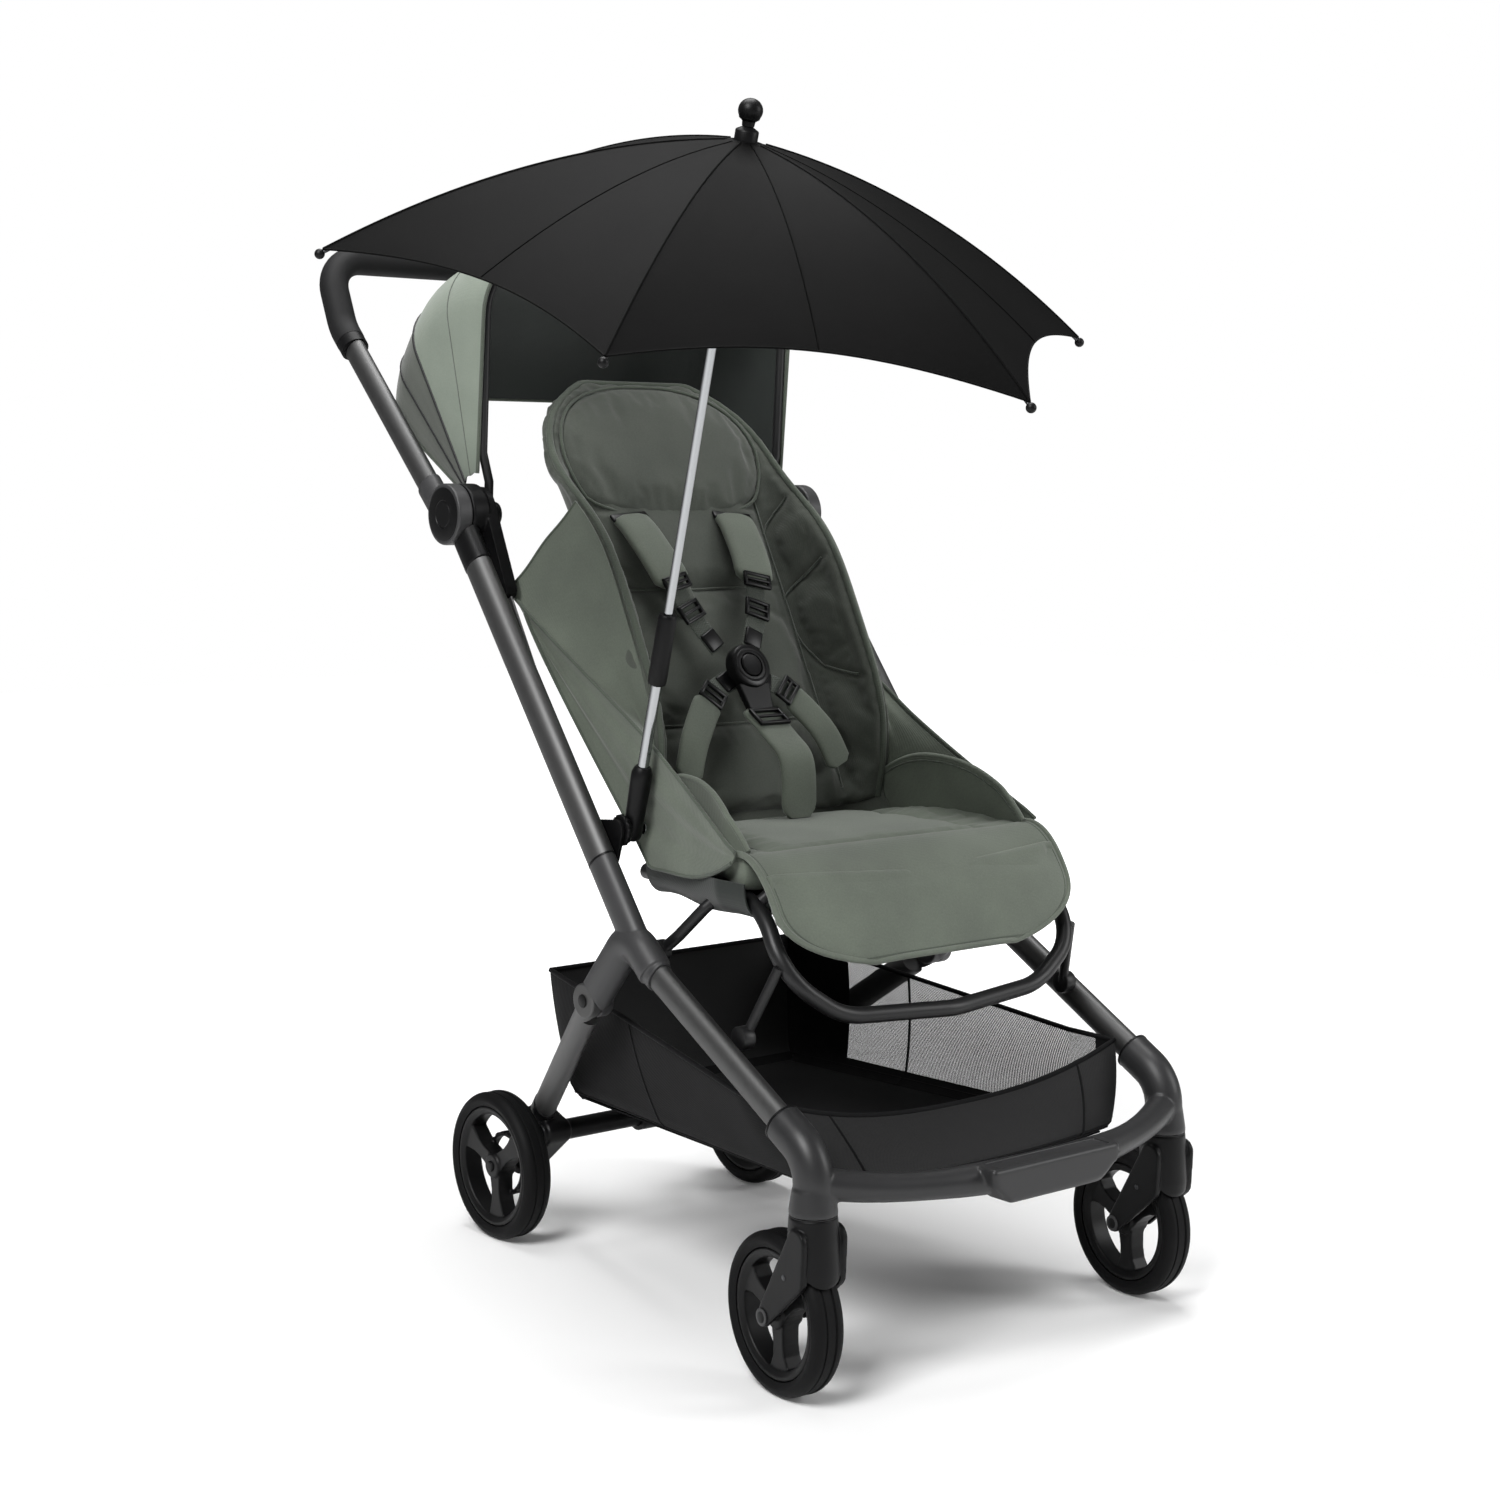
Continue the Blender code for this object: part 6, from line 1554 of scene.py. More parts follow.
# %% [markdown]
# ## Hood
# The hood is one continuous curved cloth from the bow over to the seat's back, with a dark coated
# lining inside. Its front two thirds are the light sage and its rear third is a darker panel beyond a
# zip. A bound hem wraps the bow. The cloth follows the bow when the hood is drawn forward, so it is
# blended between the seat's frame and the bow, and the same goes for its zip, seams and lining.

# %% Hood
CLEAR = BOW_RADIUS + GAP + 0.0008


def hood_spot(u, share, lift=0.0):
    """u from the bow (0) to the rear (1), share along the arch, lift off the cloth."""
    spot = share * (len(HOOD_ARCH) - 1)
    i = min(int(spot), len(HOOD_ARCH) - 2)
    x, r = [mix(a, b, spot - i) for a, b in zip(HOOD_ARCH[i], HOOD_ARCH[i + 1])]
    angle = mix(BOW_ANGLE + 1.5, HOOD_REAR, u)
    puffed = math.sin(math.pi * u) * (0.006 * min(1.0, r / BOW_HEIGHT) ** 3 + 0.0012
        * math.sin(5 * math.pi * u))
    grow = 1 + lift / BOW_HEIGHT
    return from_hub(x * (1 - 0.05 * u**3) * grow, (r * (1 - 0.06 * u**4) + puffed) * grow, angle)


dense = arch(BOW_HALF + CLEAR, BOW_HEIGHT + CLEAR, BOW_CORNER + CLEAR, 0.040, 16)
HOOD_ARCH = []
for (x1, r1), (x2, r2) in zip(dense, dense[1:]):
    count = max(1, round(math.hypot(x2 - x1, r2 - r1) / 0.008))
    HOOD_ARCH += [(mix(x1, x2, i / count), mix(r1, r2, i / count)) for i in range(count)]
HOOD_ARCH.append(dense[-1])
columns = len(HOOD_ARCH) - 1
outside = surface_sheet("hood_cloth", lambda u, v: hood_spot(v, u), columns, 44, 0.0014)
inside = surface_sheet("hood_lining", lambda u,
    v: hood_spot(mix(0.015, 0.99, v), mix(0.004, 0.996, u), -0.0026), columns, 44, 0.0008)
zip_cord = moulded("zip_coil_black", "#121213", 0.5, 1.2, 0.0001)
HOOD_ZIP = 0.62
cords = []
for name, u, radius, stuff in (
    ("hood_hem_front", 0.0, 0.0020, binding), ("hood_seam", 0.30, 0.0008, thread),
    ("hood_zip", HOOD_ZIP, 0.0017, zip_cord),
    ("hood_zip_lower", 0.80, 0.0014, zip_cord), ("hood_hem_rear", 1.0, 0.0018, binding),
):
    cords.append((tube(name, [hood_spot(u, i / 90, 0.0008) for i in range(91)], radius, 10), stuff))
for k, share in enumerate((0.36, 0.64)):
    line = [hood_spot(mix(0.02, 0.98, i / 40), share, 0.0008) for i in range(41)]
    cords.append((tube(f"hood_roof_seam_{k + 1}", line, 0.0008, 8), thread))
hood_ends = ((0, HUB[0] + 0.13, 0.85), (0, HUB[0] + 0.004, 0.85))
span(outside, "hood_bow", *hood_ends, hood_cloth, "sage_cloth", ["canopy_fabric"])
for piece, stuff in [(inside, lining)] + cords:
    span(piece, "hood_bow", *hood_ends, stuff)
# Below the zip the outside is the darker cloth
outside.data.materials.append(liner)
for face in outside.data.polygons:
    _, y, z = face.center
    if math.degrees(math.atan2(z - HUB[1], y - HUB[0])) < mix(BOW_ANGLE + 1.5, HOOD_REAR, HOOD_ZIP):
        face.material_index = 1
held_by = ["canopy_bow", "hub_housing_left", "hub_housing_right"]
area = sheet(outside, 0.30, "stretched", held_by, with_pieces=[cord for cord, _ in cords])
area_in = sheet(inside, 0.30, "stretched", ["canopy_bow"])
print("hood cloth", round(area, 4), "m2, lining", round(area_in, 4))

# %% [markdown]
# ## Harness
# Five straps meet in a round buckle. Each shoulder has a padded sleeve over its webbing, which ends in
# a plastic ring and a ladder adjuster; the hip and crotch straps have shorter pads. Straps are drawn as
# flat bands with rounded edges along a smooth path, since a remesh would eat them. A second flap hangs
# beside the right shoulder, as in the photograph.

# %% Straps
def smooth_path(points, steps=8):
    """A smooth curve through points."""
    path = [Vector(p) for p in points]
    path = [path[0] * 2 - path[1]] + path + [path[-1] * 2 - path[-2]]
    made = []
    for a, b, c, d in zip(path, path[1:], path[2:], path[3:]):
        for i in range(steps):
            t = i / steps
            made.append(0.5 * (2 * b + (c - a) * t + (2 * a - 5 * b + 4 * c - d) * t * t
                + (3 * b - a - 3 * c + d) * t**3))
    return made + [path[-2]]


def strap_turn(line):
    """The directions across a strap that runs along line, and off its face."""
    across = Vector((1, 0, 0))
    across = (across - line * across.dot(line)).normalized()
    return across, across.cross(line).normalized()


def band(name, path, width, thick, round_ends=False):
    """A flat strap along a path, level across X, with soft edges."""
    points, faces, ring = [], [], 24
    # How square the section is: 2 is an oval
    lens = 2.6
    count = len(path)
    for i, point in enumerate(path):
        line = (path[min(i + 1, count - 1)] - path[max(i - 1, 0)]).normalized()
        across, up = strap_turn(line)
        wide = width
        if round_ends:
            left = min(i, count - 1 - i) / (count - 1)
            wide *= min(1, 0.62 + 0.38 * math.sqrt(min(1, left / 0.06)))
        for k in range(ring):
            angle = 2 * math.pi * k / ring
            c, s = math.cos(angle), math.sin(angle)
            a = math.copysign(abs(c) ** (2 / lens * 0.55), c) * wide / 2
            b = math.copysign(abs(s) ** (2 / lens), s) * thick / 2
            points.append(point + across * a + up * b)
    for i in range(count - 1):
        for k in range(ring):
            a, b = i * ring + k, i * ring + (k + 1) % ring
            faces.append((a, b, b + ring, a + ring))
    faces += [tuple(range(ring - 1, -1, -1)), tuple((count - 1) * ring + k for k in range(ring))]
    return outward(from_points(name, points, faces=faces))


SHELL = BACK_THICK + 0.0032
PLATE_V = 0.285


def spot(v, x, lift):
    """A point above the liner: v up its length, x across, lifted off its front."""
    return Vector((x, *back_spot(v, SHELL + lift)))


def strap_path(spots, side):
    """A smooth line through (v, x, lift) spots on one side of the liner."""
    return smooth_path([spot(v, side * x, lift) for v, x, lift in spots])


def clip(piece, line, share, lift):
    """Sets a plastic fitting on a strap, with its Y along the strap and its Z off it."""
    i = min(int(share * (len(line) - 1)), len(line) - 2)
    along = (line[i + 1] - line[i]).normalized()
    across, up = strap_turn(along)
    if up.y > 0:
        across, up = -across, -up
    turn = Matrix((across, along, up)).transposed().to_4x4()
    piece.matrix_world = Matrix.Translation(line[i] + up * lift) @ turn
    return dress(piece, "backrest", acetal)


def ladder(name, wide, tall, line, share, lift=0.002):
    """A ladder adjuster: a plastic frame with a cross bar."""
    bars = [block("bar", (wide, 0.0040, 0.0042), (0, k * tall / 2, 0), edge=0.0012) for k in (-1, 1)]
    bars += [block("bar", (0.0038, tall + 0.003, 0.0042), (k * (wide / 2 - 0.0019), 0, 0), edge=0.0012)
        for k in (-1, 1)]
    bars.append(block("bar", (wide - 0.003, 0.0030, 0.0030), (0, 0, 0.0006), edge=0.0009))
    return clip(weld(name, bars), line, share, lift)


def strap_pad(name, path, width, thick, material=sage, slot=None, fill=0.5):
    """A padded sleeve or flap along a strap."""
    pad = band(name, path, width, thick, True)
    dress(pad, "backrest", material, slot, angle=60)
    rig.padded(pad, fill=fill)


WEBBING = (0.022, 0.0022)
SHOULDER = ((0.655, 0.064, 0.001), (0.61, 0.061, 0.010), (0.52, 0.054, 0.020), (0.42, 0.041, 0.0215),
    (0.335, 0.020, 0.0205))
HIP = ((PLATE_V - 0.016, 0.018, 0.0200), (0.235, 0.046, 0.0215), (0.15, 0.078, 0.0200),
    (0.075, 0.094, 0.0120))
FLAP = ((0.635, 0.052, 0.0005), (0.58, 0.046, 0.0040), (0.50, 0.034, 0.0050), (0.425, 0.028, 0.0035))
for side, end in SIDES:
    shoulder = strap_path(SHOULDER, side)
    cut = int(len(shoulder) * 0.60)
    strap_pad(f"shoulder_pad_{end}", shoulder[: cut + 1], 0.044, 0.0100, slot="webbing")
    dress(band(f"shoulder_webbing_{end}", shoulder[cut - 2 :], *WEBBING), "backrest", webbing)
    ladder(f"shoulder_ring_{end}", 0.032, 0.012, shoulder, 0.60, 0.0045)
    ladder(f"shoulder_adjuster_{end}", 0.028, 0.016, shoulder, 0.76)
    slot = block(f"strap_slot_{end}", (0.046, 0.010, 0.0040), (0, 0, 0), edge=0.0018)
    clip(slot, shoulder, 0.02, 0.0008)
    hip = strap_path(HIP, side)
    dress(band(f"hip_webbing_{end}", hip[:14], *WEBBING), "backrest", webbing)
    strap_pad(f"hip_pad_{end}", hip[9:], 0.031, 0.0075)
    ladder(f"hip_adjuster_{end}", 0.028, 0.015, hip, 0.36, 0.0035)
    for name, line, share in (("shoulder", shoulder, 0.94), ("hip", hip, 0.06)):
        tongue = block(f"{name}_tongue_{end}", (0.019, 0.020, 0.0052), (0, 0, 0), edge=0.0018)
        clip(tongue, line, share, 0.0010)
strap_pad("shoulder_flap_right", strap_path(FLAP, -1), 0.028, 0.0050, liner, fill=0.4)

crotch = [spot(v, 0, l) for v, l in ((PLATE_V - 0.055, 0.0205), (0.185, 0.030), (0.12, 0.048),
    (0.055, 0.060))]
crotch.append(Vector((0, crotch[-1].y - 0.004, SEAT_REAR[1] + 0.0078)))
crotch = smooth_path(crotch)
strap = band("crotch_webbing", crotch, 0.024, 0.0024)
pad = band("crotch_pad", crotch[6:], 0.041, 0.0076, True)
ladder("crotch_adjuster", 0.037, 0.020, crotch, 0.36, 0.0062)
span(strap, "backrest", crotch[-1], crotch[8], webbing, replaced=["harness_straps"])
span(pad, "backrest", crotch[-1], crotch[8], sage)
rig.padded(pad, fill=0.5)

# %% [markdown]
# The buckle is a round housing whose body runs on down to the crotch strap. A well in its middle holds
# the release button, and a thin ring lies round it.

# %% Buckle
# The straps' own lift, the tongues' thickness and the gap
BUCKLE_LIFT = 0.0190 + 0.0070 + GAP
low = spot(PLATE_V, 0, BUCKLE_LIFT)
out_way = (spot(PLATE_V, 0, 1) - spot(PLATE_V, 0, 0)).normalized()
profile = [(0, 0), (0.0222, 0), (0.0235, 0.0014), (0.0235, 0.0062), (0.0218, 0.0108), (0.0196, 0.0120)]
profile += [(0.0130, 0.0120), (0.0122, 0.0060), (0, 0.0060)]
housing = lathe("housing", profile, low, out_way, 96)
dress(housing, "backrest", acetal, "black_plastic", ["harness_buckle"], 30)
TAIL = ((0.036, 0.0190), (0.070, 0.0125), (0.098, 0.0135))
corners = [spot(PLATE_V - dv, x, BUCKLE_LIFT + lift) for dv,
    w in TAIL for x in (-w, w) for lift in (0.0005, 0.0080)]
dress(moulding("buckle_tail", [hull("tail", corners)], 0.0008, 6), "backrest", acetal)
profile = [(0.0150, 0.0119), (0.0158, 0.0125), (0.0172, 0.0125), (0.0180, 0.0118)]
dress(lathe("buckle_ring", profile + profile[:1], low, out_way, 96), "backrest", nylon_black)
profile = [(0, 0.0090), (0.0106, 0.0090), (0.0113, 0.0096), (0.0113, 0.0124), (0.0100, 0.0134),
    (0.0070, 0.0130), (0, 0.0124)]
button = lathe("buckle_release", profile, low, out_way, 72)
dress(button, "buckle_button", nylon_black, "black_plastic", ["buckle_button"], 30)

# %% [markdown]
# ## Basket
# The basket hangs between the side frames: solid cloth for its floor, its rear and the rear half of its
# sides, and a see-through net further forward. All its walls are one curved surface round the floor,
# which bellies a little between its hems. Its rim and its lower edge are bound.

# %% Basket
BASKET_FLOOR = 0.160
HALF_REAR, HALF_FRONT = 0.1515, 0.2008
RIM_REAR, RIM_FRONT, RIM_MIDDLE = 0.287, 0.243, 0.214
RIM_Y, FLOOR_Y = (-0.078, -0.503), (-0.098, -0.543)


def rim_spot(c, v):
    """A point of the rim: c across from -1 to 1, v from the rear to the front."""
    share = min(1.0, v / 0.86)
    z = mix(RIM_MIDDLE, RIM_FRONT, abs(c) ** 2.5) if v > 0.999 else mix(RIM_REAR, RIM_FRONT, share)
    return Vector((c * mix(HALF_REAR, HALF_FRONT, share), mix(*RIM_Y, v), z))


def floor_spot(c, v):
    wide = mix(HALF_REAR - 0.0145, HALF_FRONT - 0.0328, v)
    y = mix(FLOOR_Y[0], FLOOR_Y[1] + 0.014 * c * c, v)
    return Vector((c * wide, y, BASKET_FLOOR + 0.006 * v - 0.005 * (1 - c * c) * math.sin(math.pi * v)))


loop = [(-1 + i / 15, 0.0) for i in range(30)] + [(1, i / 36) for i in range(36)]
loop += [(1 - i / 20, 1.0) for i in range(40)] + [(-1, 1 - i / 36) for i in range(36)]


def wall(u, v, grow=0.0):
    """u round the tub, v from the floor up to the rim."""
    c, s = loop[round(u * len(loop)) % len(loop)]
    low, high = floor_spot(c, s), rim_spot(c, s)
    out = Vector((c if 0 < s < 1 else 0.25 * c, -1 if s == 1 else (1 if s == 0 else 0), 0))
    belly = 0.0045 * math.sin(math.pi * v) ** 0.8 + grow
    round_foot = 0.010 * max(0.0, 1 - v / 0.12) ** 2
    return low.lerp(high, v) + out * (belly - round_foot)


# The front is the dense net and most of the left side is the open one, above a solid lowest strip
NET_LOW, NET_REAR, NET_FRONT = 0.111, 7 / 36, 33.5 / 36
walls = surface_sheet("basket_walls", wall, len(loop), 18, 0.0012, True)
dress(walls, "main_frame", oxford, "basket_cloth", ["basket"], 60)
walls.data.materials.append(net)
walls.data.materials.append(dense_net)
for face in walls.data.polygons:
    x, y, z = face.center
    front = face.normal.y < -0.6
    along = (-y - 0.088) / 0.435
    low = BASKET_FLOOR + 0.006 * along
    rim = mix(RIM_REAR, RIM_FRONT, min(1.0, along / 0.86))
    if front:
        rim = mix(RIM_MIDDLE, RIM_FRONT, min(1.0, abs(x) / 0.19) ** 2.5)
    up = (z - low) / (rim - low)
    rear, length = -mix(FLOOR_Y[0], RIM_Y[0], up), mix(0.445, 0.425, up)
    if up > NET_LOW and front:
        face.material_index = 2
    elif up > NET_LOW and x > 0 and NET_REAR < (-y - rear) / length < NET_FRONT:
        face.material_index = 1
base = surface_sheet("basket_floor", lambda u, v: floor_spot(mix(-0.96, 0.96, u), mix(0.012, 0.988, v)), 30,
    36, 0.0016)
dress(base, "main_frame", oxford, angle=60)
around = [i / len(loop) for i in range(len(loop) + 1)]
tapes = [hem("basket_rim_tape", [wall(u, 1) for u in around], 0.0024, "main_frame", oxford, 12)]
tapes.append(hem("basket_floor_piping", [wall(u, 0.05, 0.0004) for u in around], 0.0013, "main_frame",
    oxford))
for k, i in enumerate((44, 71, 101, 128)):
    line = [wall(i / len(loop), v / 16, 0.0006) for v in range(17)]
    tapes.append(hem(f"basket_seam_{k + 1}", line, 0.0013, "main_frame", oxford))
area = sheet(walls, 0.12, "hung", ["link_bar_left", "link_bar_right", "front_crossbar"], with_pieces=tapes)
area_in = sheet(base, 0.43, "hung", ["front_crossbar", walls])
print("basket walls", round(area, 4), "m2, floor", round(area_in, 4), "m2")

# %% [markdown]
# ## Parasol
# The parasol clamps on the right side tube. Its saddle, knob, grip and sleeve are black mouldings, its
# shaft is chromed tube, and its six ribs are black nickelled steel with a ball at each tip. All of it
# is modelled in the parasol's own frame, upright on the tilt pin, and then leaned as one.

# %% Parasol hardware
PIN = Vector((-0.180, -0.2597, 0.4498))
STAND = Matrix.Translation(PIN) @ Euler((math.radians(17.36), math.radians(-1.40), 0)).to_matrix().to_4x4()
SHAFT, REACH, DROP = 0.6234, 0.3388, 0.1334
RUNNER, RIB_BELOW = SHAFT - 0.082, 0.0026


def stand(piece, body, material, slot=None, replaced=(), angle=38):
    piece.matrix_world = STAND
    return dress(piece, body, material, slot, replaced, angle)


def rib_phase(k):
    """The direction of rib k, counted from 0."""
    return math.radians(159.0) + 2 * math.pi * k / 6


def rib_point(share, phase, below=0.0):
    """A point of a rib's curve, share of the way from the crown to the tip."""
    r = 0.0105 + (REACH - 0.0105) * share
    t = r / REACH
    return Vector((r * math.cos(phase), r * math.sin(phase),
        SHAFT - DROP * (0.25 * t + 0.75 * t * t) - below))


middle_spot = toward(KNEE, HUB,
    (Vector(PIN.yz) - Vector(KNEE)).dot((Vector(HUB) - Vector(KNEE)).normalized()))
# The inner face of the side tube
face_x = TUBE_X - 0.0115 - GAP
rounds = [(middle_spot, 0.011)] + [(toward(KNEE, HUB, reach, middle_spot), 0.009)
    for reach in (0.014, -0.014)]
plate = arm("plate", rounds + [((PIN.y, PIN.z), 0.010)], -face_x, -face_x + 0.004)
pin = disc("pin", (-face_x + 0.002, PIN.y, PIN.z), (1, 0, 0), 0.003, 0.0286, 0.0003, 32)
saddle = moulding("clamp_saddle", [plate, pin], 0.0006, 3)
dress(saddle, "main_frame", nylon_black, "black_plastic", ["parasol_bracket"])
head_cap = disc("tilt_pin_head", (PIN.x + 0.0098, PIN.y, PIN.z), (1, 0, 0), 0.0062, 0.0024, 0.0008, 40)
dress(head_cap, "main_frame", chrome)
knob_low, knob_high = -face_x + 0.0044, PIN.x - 0.0096
knob_wide = knob_high - knob_low
parts = [disc("knob", (knob_low, PIN.y, PIN.z), (1, 0, 0), 0.0138, knob_wide, 0.0016, 96)]
for k in range(16):
    angle = 2 * math.pi * k / 16
    rise = Vector((0, math.cos(angle), math.sin(angle))) * 0.0136
    middle = Vector((knob_low + knob_wide / 2, PIN.y, PIN.z)) + rise
    parts.append(block("tooth", (knob_wide * 0.82, 0.0022, 0.0026), middle, (angle, 0, 0), 0.0006, 2))
knob = moulding("clamp_knob", parts, 0.0006, 3)
carve(knob, disc("bore", (knob_low - 0.005, PIN.y, PIN.z), (1, 0, 0), 0.0034, 0.05, 0.0002, 40))
dress(knob, "parasol_knob", nylon_black, "black_plastic", ["parasol_knob"])

profile = [(0.0044, 0.208), (0.0074, 0.208), (0.0080, 0.2072), (0.0086, 0.204), (0.0086, 0.145)]
profile += [(0.0081, 0.1425), (0.0060, 0.1420), (0.0052, 0.1410), (0.0046, 0.1410)]
stand(lathe("locking_sleeve", profile + profile[:1], steps=72), "parasol_lower", nylon_black)
profile = [(0.0045, 0.1415), (0.0052, 0.1415), (0.0052, 0.0600), (0.0045, 0.0600)]
stand(lathe("outer_tube", profile + profile[:1]), "parasol_lower", chrome)
profile = [(0.0045, 0.062), (0.0068, 0.062), (0.0078, 0.0608), (0.0097, 0.0560), (0.0098, 0.0500)]
profile += [(0.0094, 0.030), (0.0090, 0.012), (0.0090, -0.004), (0.0084, -0.0070), (0.0060, -0.0102)]
profile += [(0, -0.0120), (0, 0.012), (0.0045, 0.012)]
handle = lathe("clamp_grip", profile + profile[:1], steps=72)
carve(handle, disc("eye", (-0.03, 0, 0), (1, 0, 0), 0.0035, 0.06, 0.0002, 40))
stand(handle, "parasol_lower", nylon_black, "black_plastic", ["parasol_grip"])

pivot_z = rib_point(0, 0, RIB_BELOW).z
profile = [(0, SHAFT + 0.006), (0.0058, SHAFT + 0.006), (0.0058, pivot_z - 0.010), (0.0040, pivot_z - 0.0125)]
profile += [(0.0040, 0.150), (0, 0.150)]
stand(lathe("shaft_tube", profile), "parasol_upper", chrome, "chrome_tube", ["parasol_shaft"])
profile = [(0.0040, SHAFT + 0.0110), (0.0094, SHAFT + 0.0080), (0.0099, SHAFT + 0.0070)]
profile += [(0.0099, pivot_z + 0.0020), (0.0060, pivot_z + 0.0014)]
stand(lathe("crown_notch", profile + profile[:1]), "parasol_upper", nylon_black)
profile = [(0.0040, 0.0100), (0.0052, 0.0112), (0.0056, 0.0150), (0.0086, 0.0172)]
for degrees in range(-30, 90, 12):
    angle = math.radians(degrees)
    profile.append((0.0104 * math.cos(angle), 0.0238 + 0.0100 * math.sin(angle)))
profile = [(r, SHAFT + h) for r, h in profile + [(0, 0.0338)]]
stand(lathe("finial_ball", profile), "parasol_upper", nylon_black)
profile = [(0.0046, 0.010), (0.0064, 0.010), (0.0070, 0.0092), (0.0070, 0.0026), (0.0085, 0.0018)]
profile += [(0.0085, -0.0018), (0.0070, -0.0026), (0.0066, -0.020), (0.0058, -0.024), (0.0046, -0.024)]
profile = [(r, RUNNER + h) for r, h in profile + profile[:1]]
stand(lathe("runner", profile), "parasol_runner", nylon_black, "black_plastic", ["parasol_runner"])

# %% Ribs and stretchers
arc = [math.radians(degrees) for degrees in range(-90, 91, 15)]
ball = [(0.0042 * math.cos(a), 0.0042 * math.sin(a)) for a in arc]
for k in range(6):
    phase = rib_phase(k)
    radial = Vector((math.cos(phase), math.sin(phase), 0))
    rib, stretcher = f"parasol_rib_{k + 1}", f"parasol_stretcher_{k + 1}"
    rod = tube(f"rib_{k + 1}", [rib_point(s / 24 * 0.985, phase, RIB_BELOW) for s in range(25)], 0.0016, 12)
    stand(rod, rib, rib_steel, "rib_steel", [rib])
    tip = lathe(f"rib_ball_{k + 1}", ball, rib_point(0.992, phase, RIB_BELOW), radial)
    stand(tip, rib, nylon_black)
    joint = rib_point(0.34, phase, 0.0061) - radial * 0.0012
    low_end = Vector((0, 0, RUNNER)) + radial * 0.0100
    bar = tube(f"stretcher_{k + 1}", [joint, low_end], 0.0014, 12)
    stand(bar, stretcher, rib_steel, "rib_steel", [stretcher])

# %% [markdown]
# ### Parasol cloth
# Six taut panels of coated taffeta are sewn edge to edge over the ribs. Between two ribs a panel is
# pulled nearly straight and sags inward a little, its outer edge hollows in a curve, and a seam runs
# down its middle. Each half panel rides on its own rib, so that the cloth closes with the ribs: it is
# squashed toward the rib while the rib folds, as slack cloth gathers.

# %% Parasol cloth
CLOTH_HOLE, SCALLOP = 0.0112, 0.075
HALF_STEPS, DEEP = 14, 34


def canopy_spot(k, share, v, lift=0.0):
    """share from rib k (0) to rib k + 1 (1), v from the crown out to the edge."""
    first = rib_phase(k)
    s = v * (0.985 - SCALLOP * 4 * share * (1 - share))
    taut = rib_point(s, first, -lift).lerp(rib_point(s, first + math.pi / 3, -lift), share)
    ring = first + math.pi / 3 * share
    hole = Vector((CLOTH_HOLE * math.cos(ring), CLOTH_HOLE * math.sin(ring), rib_point(0, 0).z + lift))
    reach = min(1.0, v / 0.05)
    sag = 0.0030 * math.sin(math.pi * share) * math.sin(math.pi * min(1.0, v * 1.02)) ** 0.8
    return hole.lerp(taut, reach) - Vector((0, 0, sag * reach))


# A half gore tapers to the crown, so the strip that it was cut from is nearly twice as wide
GORE_LENGTH, GORE_SPREAD = 0.33, 1.9
whole = 0
for k in range(6):
    rib, phase = f"parasol_rib_{k + 1}", rib_phase(k)
    tangent = Vector((-math.sin(phase), math.cos(phase), 0))
    gather = {"axis": STAND.to_3x3() @ tangent, "anchor": STAND @ rib_point(0.0, phase), "keep": 0.09}
    for part, before in (("a", 1), ("b", 0)):
        # Half a begins in the middle of the gore before the rib, and half b ends in the middle after it
        def half_gore(u, v, lift=0.0, k=k, before=before):
            return canopy_spot(k - before, before / 2 + u / 2, v, lift)

        cloth = surface_sheet(f"parasol_panel_{k + 1}_{part}", half_gore, HALF_STEPS, DEEP, 0.0007)
        stand(cloth, rib, taffeta, "parasol_cloth", ["parasol_canopy"] if (k, part) == (0, "a") else [], 60)
        line = [half_gore(1 - before, v / 30, GAP) for v in range(1, 31)]
        sewn = []
        if part == "a":
            down = [half_gore(1, v / 30, GAP) for v in range(1, 31)]
            sewn.append(stand(tube(f"parasol_rib_seam_{k + 1}_a", down, 0.0010, 8), rib, taffeta))
        middle = stand(tube(f"parasol_mid_seam_{k + 1}_{part}", line, 0.0006, 8), rib, taffeta)
        line = [half_gore(u / 14, 1.0) for u in range(15)]
        edge = stand(tube(f"parasol_hem_{k + 1}_{part}", line, 0.0009, 8), rib, taffeta)
        for piece in (cloth, middle, edge):
            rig.squash(piece, f"{rib}_fold", **gather)
        area = flat_size(cloth)
        whole += area
        flat = (area / GORE_LENGTH * GORE_SPREAD, GORE_LENGTH)
        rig.sheet(cloth, flat=flat, area=area, held="stretched", rests_on=[rib],
            with_pieces=sewn + [middle, edge])
print("parasol cloth", round(whole, 4), "m2")

# %% [markdown]
# ## Floor, backdrop and light
# A plain white floor, as in a product photograph. What the camera and see-through faces see of the
# world is plain white, while the light itself comes from a large soft source at the upper left front,
# a weaker one from the right and a wide one overhead.

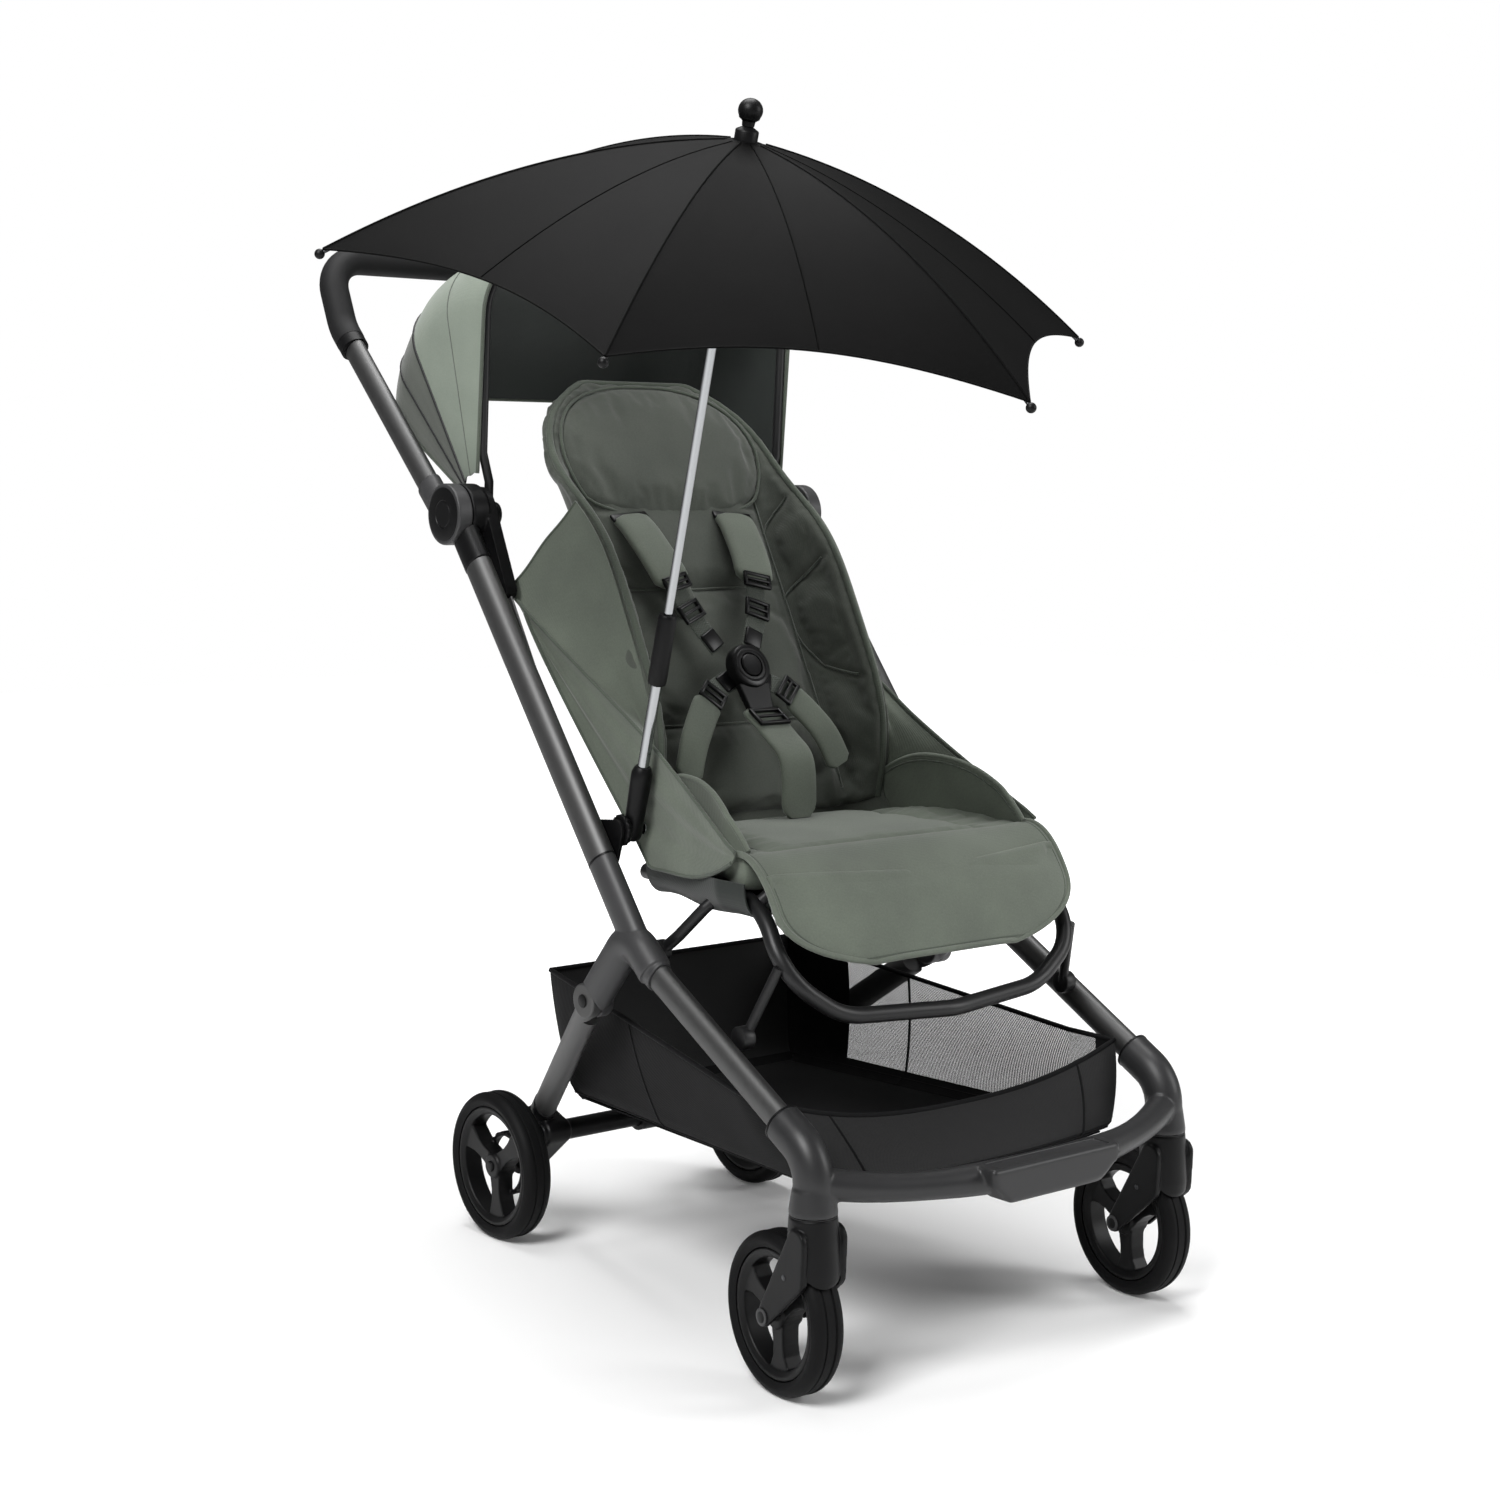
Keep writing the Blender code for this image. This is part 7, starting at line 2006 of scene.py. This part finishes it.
# %% Studio
world = bpy.data.worlds.new("white_studio")
bpy.context.scene.world = world
world.use_nodes = True
sky = world.node_tree
sky.nodes["Background"].inputs["Color"].default_value = (1, 1, 1, 1)
rays = add(sky, "LightPath").outputs
seen = add(sky, "Math", {0: rays["Is Camera Ray"], 1: rays["Is Transmission Ray"]}, operation="MAXIMUM")
power = add(sky, "MapRange", {"Value": seen, "To Min": 0.16, "To Max": 1.0})
feed(sky, sky.nodes["Background"], {"Strength": power})

paper, tree, shader = start_material("studio_paper_white", Base_Color=(0.93, 0.93, 0.93, 1), Roughness=0.9,
    Specular_IOR_Level=0.1)
rays = add(tree, "LightPath").outputs
place = add(tree, "TexCoord").outputs["Object"]
away = add(tree, "VectorMath", {0: place}, operation="LENGTH").outputs["Value"]
# The lamps fall off with distance, so the paper's own glow takes over away from the object
spread = {"Value": away, "From Min": 0.6, "From Max": 2.2, "To Min": 0.05, "To Max": 1.0}
glow = add(tree, "MapRange", spread, interpolation_type="SMOOTHSTEP")
seen = add(tree, "Math", {0: rays["Is Camera Ray"], 1: glow}, operation="MULTIPLY")
feed(tree, shader, {"Emission Color": (1, 1, 1, 1), "Emission Strength": seen})
bpy.ops.object.select_all(action="DESELECT")
bpy.ops.mesh.primitive_plane_add(size=14, location=(0, 0, 0))
floor = bpy.context.object
floor.name = "studio_floor"
settle(floor)
floor.data.materials.append(paper)
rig.stage(floor)


def area_light(name, place, aim, size, watts):
    data = bpy.data.lights.new(name, "AREA")
    data.shape = "RECTANGLE"
    data.size, data.size_y = size
    data.energy = watts
    lamp = bpy.data.objects.new(name, data)
    bpy.context.scene.collection.objects.link(lamp)
    lamp.location = place
    lamp.rotation_euler = (Vector(aim) - Vector(place)).to_track_quat("-Z", "Y").to_euler()


area_light("key_softbox", (-2.4, -1.4, 2.8), (0, -0.2, 0.5), (1.4, 1.4), 122)
area_light("fill_softbox", (1.9, -2.4, 1.5), (0, -0.2, 0.5), (1.0, 1.6), 34)
area_light("top_softbox", (0.1, 0.1, 3.2), (0, -0.2, 0.4), (1.9, 1.9), 84)

# %% [markdown]
# ## Sizes and finish
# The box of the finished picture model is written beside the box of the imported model.

# %% Sizes
seen_box = [[float(v) for v in corner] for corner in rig.bounds()]
with open("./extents.json", "w") as out:
    json.dump({"cad": cad_box, "visual": seen_box}, out)
print("cad", cad_box, "visual", seen_box)
